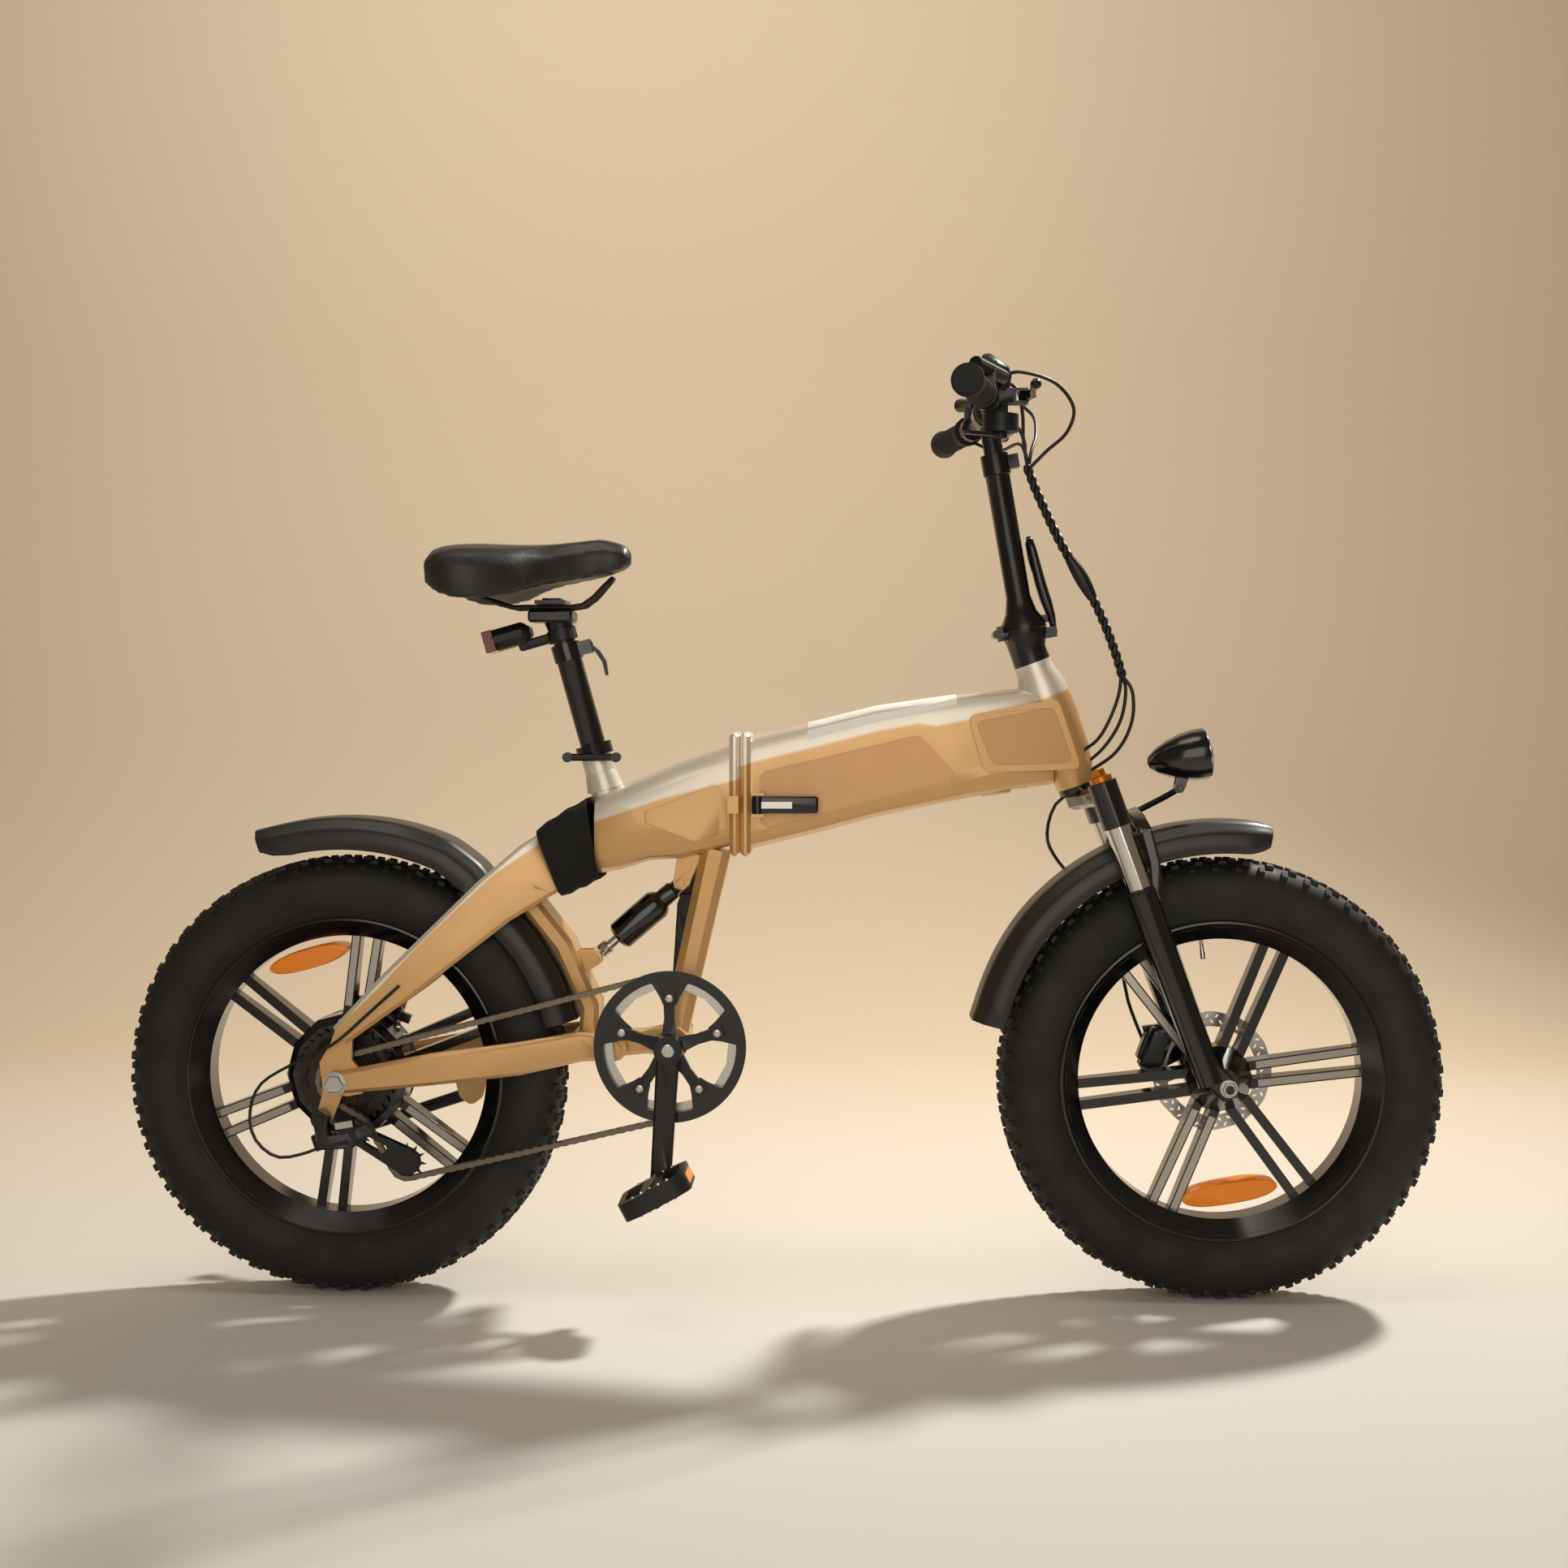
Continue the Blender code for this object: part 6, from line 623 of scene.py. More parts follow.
GOLD_LOOK = {"slot": Slot.GOLD, "colour": GOLD_COLOUR, "roughness": 0.38, "metallic": 0.45, "coat": 0.4}
GOLD = TwoTone("gold_and_silver_lacquer", upper=SILVER_COLOUR, line=FRONT_LINE, **GOLD_LOOK)
GOLD_REAR = TwoTone("gold_lacquer_rear", upper=SILVER_COLOUR, line=REAR_LINE, **GOLD_LOOK)
GOLD_ARM = TwoTone("gold_lacquer_arm", upper=SILVER_COLOUR, line=ARM_LINE, **GOLD_LOOK)
GOLD_PLAIN = Lacquer("gold_lacquer", **GOLD_LOOK)
GOLD_DEEP = Lacquer("deep_gold_lacquer", Slot.GOLD, paint(198, 150, 97), 0.38, 0.5, 0.4)
PALE_STRIP = Finish("pale_cover_strip", Slot.PLASTIC, paint(255, 253, 248), 0.5, 0.0, 0.0)
BLACK_SATIN = Finish("black_satin_metal", Slot.METAL, paint(14, 14, 14), 0.32, 0.2, 0.2)
BLACK_GLOSS = Finish("black_gloss_metal", Slot.METAL, paint(10, 10, 10), 0.18, 0.0, 0.4)
ORANGE_METAL = Finish("orange_anodised_metal", Slot.METAL, paint(214, 128, 44), 0.3, 0.8)
SPOKE_FACE = Brushed("machined_spoke_face", Slot.STEEL, paint(176, 170, 160), 0.30, 0.9)
BLACK_PLASTIC = Moulded("black_plastic_moulding", Slot.PLASTIC, paint(17, 17, 17), 0.46)
GUARD_PLASTIC = Moulded("mudguard_plastic", Slot.PLASTIC, paint(36, 34, 32), 0.38, grain=700.0)
BLACK_RUBBER = Moulded("black_rubber", Slot.RUBBER, paint(15, 15, 15), 0.66, grain=600.0, depth=0.00012)
CABLE_SHEATH = Finish("cable_sheath", Slot.RUBBER, paint(13, 13, 14), 0.38)
SADDLE_VINYL = Vinyl("saddle_vinyl", Slot.RUBBER, paint(34, 33, 32), 0.40)
NEOPRENE = Woven("neoprene_sleeve", Slot.RUBBER, paint(11, 11, 11), 0.84)
FRONT_RUBBER = TyreRubber("front_tyre_rubber", Slot.TYRE, paint(23, 22, 19), 0.62, axle=(0.575, 0.0, 0.29))
REAR_RUBBER = TyreRubber("rear_tyre_rubber", Slot.TYRE, paint(23, 22, 19), 0.62, axle=(-0.575, 0.0, 0.29))
STEEL = Brushed("brushed_steel", Slot.STEEL, paint(196, 194, 190), 0.28, 1.0)
STEEL_FRONT = Turned("turned_steel_front", Slot.STEEL, paint(188, 186, 182), 0.26, 1.0, axle=(0.575, 0.0, 0.29))
STEEL_REAR = Turned("turned_steel_rear", Slot.STEEL, paint(188, 186, 182), 0.26, 1.0, axle=(-0.575, 0.0, 0.29))
CHROME = Finish("chromed_stanchion", Slot.STEEL, paint(220, 216, 210), 0.14, 1.0)
DARK_STEEL = Finish("dark_chain_steel", Slot.CHAIN, paint(62, 56, 50), 0.38, 0.9)
LINK_STEEL = Finish("chain_link_steel", Slot.CHAIN, paint(124, 114, 102), 0.42, 0.9)
# The amber reflectors and the red lens carry a painted glow, so they shine though they are no lamps.
AMBER = Reflector("amber_reflector", Slot.PLASTIC, paint(246, 134, 6), 0.30, coat=0.2, painted_glow=0.16)
RED_LENS = Reflector("red_lens", Slot.PLASTIC, paint(120, 22, 10), 0.20, coat=0.4, painted_glow=0.01)
CLEAR_LENS = Lens("clear_lens", Slot.PLASTIC, paint(236, 238, 240), 0.06)
SCREEN = Screen("display_glass", Slot.PLASTIC, paint(14, 15, 17), 0.08, coat=0.8)


# Shapes


def smoothed(points: Sequence[Point], steps: int = 6) -> list[Vector]:
    """Run a smooth curve through points.

    Args:
        points: Where it passes.
        steps: New points for each stretch.

    Returns:
        The curve's points, with the first and the last kept.
    """
    places = [Vector(point) for point in points]
    padded = [places[0] * 2 - places[1], *places, places[-1] * 2 - places[-2]]
    found = []
    for before, start, end, after in zip(padded, padded[1:], padded[2:], padded[3:]):
        for step in range(steps):
            share = step / steps
            bend = (before * -1 + start * 3 - end * 3 + after) * share ** 3
            lean = (before * 2 - start * 5 + end * 4 - after) * share ** 2
            found.append((start * 2 + (end - before) * share + lean + bend) * 0.5)
    return [*found, places[-1]]


def across(way: Vector) -> tuple[Vector, Vector]:
    """Return two directions at right angles to a direction and to each other.

    Args:
        way: The direction.

    Returns:
        The two directions.
    """
    helper = UPWARD if abs(way.z) < 0.9 else FORWARD
    first = way.cross(helper).normalized()
    return first, way.cross(first).normalized()


def circle(centre: Vector, first: Vector, second: Vector, radius: float, sides: int) -> list[Vector]:
    """Return the points of a ring about a centre, in the plane of two directions."""
    turns = [math.tau * side / sides for side in range(sides)]
    return [centre + first * (radius * math.cos(turn)) + second * (radius * math.sin(turn)) for turn in turns]


def eased(corners: Sequence[Corner], radius: float, steps: int = 6) -> list[Corner]:
    """Round the corners of a flat outline.

    Args:
        corners: The outline's corners.
        radius: How far from each corner its curve begins.
        steps: Points of each curve.

    Returns:
        The rounded outline.
    """
    places = [Vector(corner) for corner in corners]
    found = []
    for before, corner, after in zip([places[-1], *places], places, [*places[1:], places[0]]):
        start = corner + (before - corner).normalized() * radius
        end = corner + (after - corner).normalized() * radius
        for step in range(steps + 1):
            share = step / steps
            found.append(tuple(start.lerp(corner, share).lerp(corner.lerp(end, share), share)))
    return found


def disc(radius: float, sides: int, middle: Corner = (0.0, 0.0)) -> list[Corner]:
    """Return a round outline about a middle."""
    turns = [math.tau * side / sides for side in range(sides)]
    return [(middle[0] + radius * math.cos(turn), middle[1] + radius * math.sin(turn)) for turn in turns]


class Shape:
    """Faces that are gathered into one mesh."""

    def __init__(self) -> None:
        """Start with no faces."""
        self.mesh = bmesh.new()

    def loft(self, rings: Sequence[Sequence[Point]], closed: bool = False, capped: bool = True) -> "Shape":
        """Join rings of equal counts by faces.

        Args:
            rings: The rings in order.
            closed: Whether the last ring joins the first.
            capped: Whether an open run gets a face over each end.

        Returns:
            This shape.
        """
        rows = [[self.mesh.verts.new(point) for point in ring] for ring in rings]
        pairs = list(zip(rows, rows[1:])) + ([(rows[-1], rows[0])] if closed else [])
        for low, high in pairs:
            for here, there in zip(range(len(low)), [*range(1, len(low)), 0]):
                self.mesh.faces.new((low[here], low[there], high[there], high[here]))
        if capped and not closed:
            self.mesh.faces.new(list(reversed(rows[0])))
            self.mesh.faces.new(rows[-1])
        return self

    def turned(
        self,
        centre: Point,
        way: Point,
        profile: Sequence[Corner],
        sides: int = 48,
        closed: bool = False,
    ) -> "Shape":
        """Turn a profile about an axis.

        Args:
            centre: A point of the axis.
            way: The axis.
            profile: Radius and place along the axis of each ring.
            sides: Points round the axis.
            closed: Whether the profile is a loop, as a tyre's is.

        Returns:
            This shape.
        """
        along = Vector(way).normalized()
        first, second = across(along)
        middle = Vector(centre)
        rings = [circle(middle + along * place, first, second, radius, sides) for radius, place in profile]
        return self.loft(rings, closed, not closed)

    def tube(self, path: Sequence[Point], radius: float | Sequence[float], sides: int = 12) -> "Shape":
        """Run a round tube along a path.

        Args:
            path: The points of its middle line.
            radius: One radius, or one for each point.
            sides: Points round it.

        Returns:
            This shape.
        """
        places = [Vector(point) for point in path]
        radii = list(radius) if isinstance(radius, Sequence) else [radius] * len(places)
        ways = [(after - before).normalized() for before, after in zip(places, places[1:])]
        ways = [ways[0], *[(one + two).normalized() for one, two in zip(ways, ways[1:])], ways[-1]]
        first = across(ways[0])[0]
        rings = []
        for place, way, size in zip(places, ways, radii):
            first = (first - way * first.dot(way)).normalized()
            rings.append(circle(place, first, way.cross(first), size, sides))
        return self.loft(rings)

    def slab(self, outline: Sequence[Point], push: Point) -> "Shape":
        """Give a flat outline a thickness, pushed along a vector."""
        step = Vector(push)
        return self.loft([[Vector(point) for point in outline], [Vector(point) + step for point in outline]])

    def block(self, centre: Point, size: Point, way: Point = (1, 0, 0), taper: float = 1.0) -> "Shape":
        """Add a box.

        Args:
            centre: Its middle.
            size: Its length along the way, its width along Y and its height.
            way: The direction of its length, in the XZ plane.
            taper: The top's size as a share of the foot's.

        Returns:
            This shape.
        """
        along = Vector(way).normalized()
        rise = along.cross(LEFTWARD).normalized()
        rings = []
        for level, share in ((-0.5, 1.0), (0.5, taper)):
            corners = ((-0.5, -0.5), (0.5, -0.5), (0.5, 0.5), (-0.5, 0.5))
            middle = Vector(centre) + rise * (size[2] * level)
            ring = [middle + along * (size[0] * u * share) + LEFTWARD * (size[1] * v * share) for u,
                v in corners]
            rings.append(ring)
        return self.loft(rings)

    def cut(self, outlines: Sequence[Sequence[Corner]], thickness: float,
        centre: Point) -> "Shape":
        """Add an upright plate, seen from the side, whose later outlines are holes.

        Args:
            outlines: Closed outlines as X and Z from the centre.
            thickness: The plate's thickness along Y.
            centre: Where the outlines' origin goes.

        Returns:
            This shape.
        """
        curve = bpy.data.curves.new("outline", "CURVE")
        curve.dimensions = "2D"
        curve.fill_mode = "BOTH"
        curve.extrude = thickness / 2
        for outline in outlines:
            spline = curve.splines.new("POLY")
            spline.use_cyclic_u = True
            spline.points.add(len(outline) - 1)
            for point, (x, z) in zip(spline.points, outline):
                point.co = (x, z, 0.0, 1.0)
        holder = bpy.data.objects.new("outline", curve)
        bpy.context.scene.collection.objects.link(holder)
        bpy.context.view_layer.update()
        graph = bpy.context.evaluated_depsgraph_get()
        flat = bpy.data.meshes.new_from_object(holder.evaluated_get(graph))
        flat.transform(Matrix.Translation(Vector(centre)) @ Matrix.Rotation(math.pi / 2, 4, "X"))
        self.mesh.from_mesh(flat)
        bpy.data.objects.remove(holder)
        bpy.data.meshes.remove(flat)
        return self

    def skin(self, node: str, keep: Callable[[Vector, Vector], bool], lift: float = 0.0003) -> "Shape":
        """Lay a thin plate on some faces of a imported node.

        Args:
            node: The node.
            keep: Says from a face's middle and normal whether it gets a plate.
            lift: How far the plate stands out from the face.

        Returns:
            This shape.
        """
        data = frame["nodes"][node].data
        for face in data.polygons:
            if keep(face.center, face.normal):
                low = [data.vertices[index].co - face.normal * lift for index in face.vertices]
                self.slab(low, face.normal * lift * 2)
        return self

    def plain(self, name: str, smooth: float = SHARP_ANGLE) -> Piece:
        """Close the seams, turn the faces outwards and make the object.

        Args:
            name: The object's name.
            smooth: The angle past which an edge stays sharp.

        Returns:
            The object.
        """
        bmesh.ops.remove_doubles(self.mesh, verts=self.mesh.verts, dist=SAME_PLACE * 0.2)
        bmesh.ops.dissolve_degenerate(self.mesh, edges=self.mesh.edges, dist=SAME_PLACE * 0.1)
        bmesh.ops.recalc_face_normals(self.mesh, faces=self.mesh.faces)
        data = bpy.data.meshes.new(name)
        self.mesh.to_mesh(data)
        self.mesh.free()
        data.shade_smooth()
        data.set_sharp_from_angle(angle=smooth)
        made = bpy.data.objects.new(name, data)
        bpy.context.scene.collection.objects.link(made)
        return made


# Pieces that repeat


@dataclass(frozen=True)
class Repeat:
    """A Geometry Nodes tree that copies a mesh round an axle or along a line."""

    round_axle: bool

    def tree(self) -> bpy.types.NodeTree:
        """Return the tree, built once.

        Returns:
            The tree.
        """
        name = "round_copies" if self.round_axle else "line_copies"
        found = bpy.data.node_groups.get(name)
        if found:
            return found
        tree = bpy.data.node_groups.new(name, "GeometryNodeTree")
        face = tree.interface
        face.new_socket("Geometry", in_out="INPUT", socket_type="NodeSocketGeometry")
        face.new_socket("Count", in_out="INPUT", socket_type="NodeSocketInt")
        face.new_socket("Centre", in_out="INPUT", socket_type="NodeSocketVector")
        face.new_socket("Step", in_out="INPUT", socket_type="NodeSocketVector")
        face.new_socket("Angle", in_out="INPUT", socket_type="NodeSocketFloat")
        face.new_socket("Phase", in_out="INPUT", socket_type="NodeSocketFloat")
        face.new_socket("Axis", in_out="INPUT", socket_type="NodeSocketVector")
        face.new_socket("Material", in_out="INPUT", socket_type="NodeSocketMaterial")
        face.new_socket("Geometry", in_out="OUTPUT", socket_type="NodeSocketGeometry")
        self._fill(tree)
        return tree

    def _fill(self, tree: bpy.types.NodeTree) -> None:
        """Place the tree's nodes and link them.

        Args:
            tree: The tree.
        """
        nodes = {
            key: tree.nodes.new(kind)
            for key, kind in (
                ("given", "NodeGroupInput"), ("index", "GeometryNodeInputIndex"),
                ("stride", "ShaderNodeVectorMath"),
                ("spot", "ShaderNodeVectorMath"), ("turn", "ShaderNodeMath"), ("points", "GeometryNodePoints"),
                ("axis", "FunctionNodeAxisAngleToRotation"), ("copies", "GeometryNodeInstanceOnPoints"),
                ("real", "GeometryNodeRealizeInstances"), ("finish", "GeometryNodeSetMaterial"),
                ("result", "NodeGroupOutput"),
            )
        }
        nodes["stride"].operation = "SCALE"
        nodes["turn"].operation = "MULTIPLY_ADD"
        given = nodes["given"].outputs
        joins = (
            (given["Step"], nodes["stride"].inputs[0]),
            (nodes["index"].outputs[0], nodes["stride"].inputs["Scale"]),
            (nodes["stride"].outputs[0], nodes["spot"].inputs[0]),
            (given["Centre"], nodes["spot"].inputs[1]),
            (nodes["index"].outputs[0], nodes["turn"].inputs[0]),
            (given["Angle"], nodes["turn"].inputs[1]),
            (given["Phase"], nodes["turn"].inputs[2]),
            (given["Count"], nodes["points"].inputs["Count"]),
            (nodes["spot"].outputs[0], nodes["points"].inputs["Position"]),
            (given["Axis"], nodes["axis"].inputs["Axis"]),
            (nodes["turn"].outputs[0], nodes["axis"].inputs["Angle"]),
            (nodes["points"].outputs[0], nodes["copies"].inputs["Points"]),
            (given["Geometry"], nodes["copies"].inputs["Instance"]),
            (nodes["axis"].outputs[0], nodes["copies"].inputs["Rotation"]),
            (nodes["copies"].outputs[0], nodes["real"].inputs[0]),
            (nodes["real"].outputs[0], nodes["finish"].inputs["Geometry"]),
            (given["Material"], nodes["finish"].inputs["Material"]),
            (nodes["finish"].outputs[0], nodes["result"].inputs[0]),
        )
        for start, end in joins:
            tree.links.new(start, end)

    def apply(self, piece: Piece, finish: Finish, sizes: dict[str, object]) -> Piece:
        """Put the tree on a piece and keep the result as a plain mesh.

        Args:
            piece: The object that holds the one mesh to copy, about the origin.
            finish: The copies' finish.
            sizes: The tree's inputs by name.

        Returns:
            The same object, with all the copies.
        """
        modifier = piece.modifiers.new("copies", "NODES")
        modifier.node_group = self.tree()
        items = modifier.node_group.interface.items_tree
        inputs = {item.name: item.identifier for item in items if item.in_out == "INPUT"}
        for name, value in {"Material": finish.material(), **sizes}.items():
            modifier[inputs[name]] = value
        bpy.context.view_layer.update()
        graph = bpy.context.evaluated_depsgraph_get()
        whole = bpy.data.meshes.new_from_object(piece.evaluated_get(graph))
        piece.modifiers.clear()
        piece.data = whole
        return piece


def round_axle(piece: Piece, finish: Finish, count: int, centre: Point, phase: float = 0.0,
               axis: Point = (0, 1, 0)) -> Piece:
    """Copy a piece, built about the origin, evenly round an axle.

    Args:
        piece: The one piece.
        finish: The copies' finish.
        count: How many there are.
        centre: The axle's point.
        phase: The first one's turn in degrees.
        axis: The axle's direction.

    Returns:
        The piece with its copies.
    """
    sizes = {
        "Count": count, "Centre": tuple(centre), "Step": (0.0, 0.0, 0.0), "Angle": math.tau / count,
        "Phase": math.radians(phase), "Axis": tuple(float(share) for share in axis),
    }
    return Repeat(True).apply(piece, finish, sizes)


def along_line(piece: Piece, finish: Finish, count: int, start: Point, step: Point,
               twist: float = 0.0, axis: Point = (0, 1, 0)) -> Piece:
    """Copy a piece, built about the origin, along a line.

    Args:
        piece: The one piece.
        finish: The copies' finish.
        count: How many there are.
        start: Where the first one goes.
        step: From one to the next.
        twist: How far each turns past the one before, in degrees.
        axis: What they turn about.

    Returns:
        The piece with its copies.
    """
    sizes = {
        "Count": count, "Centre": tuple(start), "Step": tuple(step), "Angle": math.radians(twist),
        "Phase": 0.0, "Axis": tuple(float(share) for share in axis),
    }
    return Repeat(False).apply(piece, finish, sizes)


@dataclass
class Assembly:
    """What every sub-assembly can do: add a piece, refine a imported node, or repaint one."""

    def add(
        self,
        piece: Piece,
        finish: Finish,
        body: str,
        *nodes: str,
        bevel: float = 0.0,
        smooth: int = 0,
    ) -> Piece:
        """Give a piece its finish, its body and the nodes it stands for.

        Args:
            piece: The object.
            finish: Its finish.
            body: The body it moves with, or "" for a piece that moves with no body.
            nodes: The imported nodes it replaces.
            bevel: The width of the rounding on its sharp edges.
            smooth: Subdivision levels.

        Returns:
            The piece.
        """
        piece.data.materials.clear()
        piece.data.materials.append(finish.material())
        if bevel:
            rounding = piece.modifiers.new("rounding", "BEVEL")
            rounding.width = bevel
            rounding.segments = 2
            rounding.limit_method = "ANGLE"
            rounding.angle_limit = SHARP_ANGLE
            rounding.harden_normals = True
        if smooth:
            finer = piece.modifiers.new("finer", "SUBSURF")
            finer.levels = smooth
            finer.render_levels = smooth
        if body:
            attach(piece, body)
        if nodes:
            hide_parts(*nodes)
        LOG.info("%s: %s on %s", piece.name, finish.name, body or "two bodies")
        return piece

    def refine(self, node: str, finish: Finish, bevel: float = 0.0006, sharp: float = 38.0) -> Piece:
        """Stand a welded, smooth-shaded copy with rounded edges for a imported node.

        Args:
            node: The node.
            finish: The copy's finish.
            bevel: The rounding's width.
            sharp: Degrees past which an edge is sharp.

        Returns:
            The copy.
        """
        return self.add(self.welded(node, sharp), finish, frame["nodes"][node]["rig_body"], node, bevel=bevel)

    def bend(self, node: str, finish: Finish, bevel: float, bodies: tuple[str, str],
        span: tuple[Point, Point]) -> None:
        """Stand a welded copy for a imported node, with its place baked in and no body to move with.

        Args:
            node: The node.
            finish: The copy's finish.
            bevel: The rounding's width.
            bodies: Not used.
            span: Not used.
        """
        piece = self.add(self.welded(node, 38.0), finish, "", node, bevel=bevel)
        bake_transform(piece)

    def welded(self, node: str, sharp: float) -> Piece:
        """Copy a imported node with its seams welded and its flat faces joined.

        Args:
            node: The node.
            sharp: Degrees past which an edge is sharp.

        Returns:
            The copy.
        """
        source = frame["nodes"][node]
        welded = bmesh.new()
        welded.from_mesh(source.data)
        bmesh.ops.remove_doubles(welded, verts=welded.verts, dist=SAME_PLACE)
        bmesh.ops.dissolve_limit(welded, angle_limit=FLAT_ANGLE, verts=welded.verts, edges=welded.edges)
        data = bpy.data.meshes.new(f"{node}_fine")
        welded.to_mesh(data)
        welded.free()
        data.shade_smooth()
        data.set_sharp_from_angle(angle=math.radians(sharp))
        made = bpy.data.objects.new(f"{node}_fine", data)
        bpy.context.scene.collection.objects.link(made)
        return made

    def repaint(self, node: str, finish: Finish) -> None:
        """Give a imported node, left as it is, a finish.

        Args:
            node: The node.
            finish: Its finish.
        """
        source = frame["nodes"][node]
        source.data.materials.clear()
        source.data.materials.append(finish.material())
        LOG.info("%s: %s, as packed", node, finish.name)


@dataclass
class Tyre(Assembly):
    """A fat tyre: a smooth carcass, and knobs in rows across its tread."""

    end: str
    axle: Spot
    finish: Finish
    phase: float
    pitches: int = 58
    half_section: tuple[Corner, ...] = (
        (0.0, 0.2862), (0.012, 0.2859), (0.024, 0.2845), (0.034, 0.2800), (0.0415, 0.2720), (0.0468, 0.2620),
        (0.0488, 0.2500), (0.0486, 0.2385), (0.0462, 0.2275), (0.0425, 0.2195), (0.0390, 0.2150),
        (0.0375, 0.2105),
        (0.0360, 0.2085), (0.0300, 0.2085), (0.0, 0.2150),
    )

    def build(self) -> None:
        """Make the carcass and the knobs."""
        self.add(self.carcass(), self.finish, f"{self.end}_wheel", f"{self.end}_tyre")
        knobs = round_axle(self.knobs(), self.finish, self.pitches, self.axle, self.phase)
        self.add(knobs, self.finish, f"{self.end}_wheel")

    def carcass(self) -> Piece:
        """Turn the section about the axle.

        Returns:
            The piece.
        """
        left = [(radius, y) for y, radius in self.half_section]
        right = [(radius, -y) for radius, y in reversed(left[1:-1])]
        return Shape().turned(self.axle, LEFTWARD, left + right, 144,
            closed=True).plain(f"{self.end}_tyre_carcass")

    def knobs(self) -> Piece:
        """Make the knobs of one pitch: two on the crown, one on each shoulder, one lug on each wall.

        Returns:
            The piece.
        """
        shape = Shape()
        lean = math.radians(-90)
        crown = ((0.0075, 0.0112, 0.0, 0.2868), (-0.0075, 0.0112, 3.1, 0.2868))
        for y, width, shift, radius in crown:
            turn = lean + math.radians(shift)
            self.knob(shape, y, width, 0.0092, turn, radius, 0.0)
        for side in (1, -1):
            self.knob(shape, side * 0.0238, 0.0104, 0.0104, lean + math.radians(1.3 + side * 1.4), 0.2856,
                side * 12)
            self.knob(shape, side * 0.0362, 0.0098, 0.0088, lean + math.radians(2.6 - side * 1.2), 0.2792,
                side * 38)
        return shape.plain(f"{self.end}_tyre_knobs")

    def knob(self, shape: Shape, y: float, width: float, length: float, turn: float, radius: float,
        lean: float) -> None:
        """Add one knob.

        Args:
            shape: What it is added to.
            y: Its place across the tread.
            width: Its size across.
            length: Its size along the tread.
            turn: Its angle about the axle, in radians.
            radius: The height of its middle.
            lean: How far it leans out to the side, in degrees.
        """
        base = Matrix.Rotation(-math.radians(lean), 3, "X")
        spin = Matrix.Rotation(turn + math.pi / 2, 3, "Y")
        rings = []
        for depth, share in ((-0.0040, 1.0), (0.0, 1.0), (0.0030, 0.84)):
            corners = ((-0.5, -0.5), (0.5, -0.5), (0.5, 0.5), (-0.5, 0.5))
            ring = [Vector((length * u * share, width * v * share, depth)) for u, v in corners]
            rings.append([spin @ (base @ point + Vector((0, y, radius))) for point in ring])
        shape.loft(rings)


@dataclass
class AxleNuts(Assembly):
    """The washer and nut at each end of an axle."""

    name: str
    body: str
    axle: Spot
    reach: float
    radius: float

    def build(self) -> None:
        """Turn both sides' washers and nuts."""
        for side, name in ((1, "left"), (-1, "right")):
            face = Vector((self.axle[0], self.reach * side, self.axle[2]))
            shape = Shape()
            washer = ((0.0, -0.001), (self.radius * 1.18, -0.001), (self.radius * 1.18, 0.0014), (0.0, 0.0014))
            shape.turned(face, LEFTWARD * side, washer, 36)
            nut = ((0.0, 0.0014), (self.radius, 0.0014), (self.radius, 0.0078), (self.radius * 0.86, 0.0090),
                (0.0, 0.0090))
            shape.turned(face, LEFTWARD * side, nut, 6)
            self.add(shape.plain(f"{self.name}_nut_{name}", math.radians(20)), STEEL, self.body, bevel=0.0003)


@dataclass
class Bolts(Assembly):
    """Round heads with a hexagon socket, set evenly in a circle."""

    name: str
    body: str
    finish: Finish
    centre: Spot
    circle: float
    count: int
    radius: float
    rise: float
    side: int
    phase: float = 0.0

    def build(self) -> None:
        """Make one head and copy it round."""
        shape = Shape()
        way = LEFTWARD * self.side
        head = (
            (0.0, -0.002), (self.radius, -0.002), (self.radius, self.rise * 0.55),
            (self.radius * 0.82, self.rise),
            (self.radius * 0.50, self.rise), (self.radius * 0.46, self.rise * 0.3), (0.0, self.rise * 0.3),
        )
        shape.turned((self.circle, 0, 0), way, head, 18)
        heads = round_axle(shape.plain(self.name), self.finish, self.count, self.centre, self.phase)
        self.add(heads, self.finish, self.body)


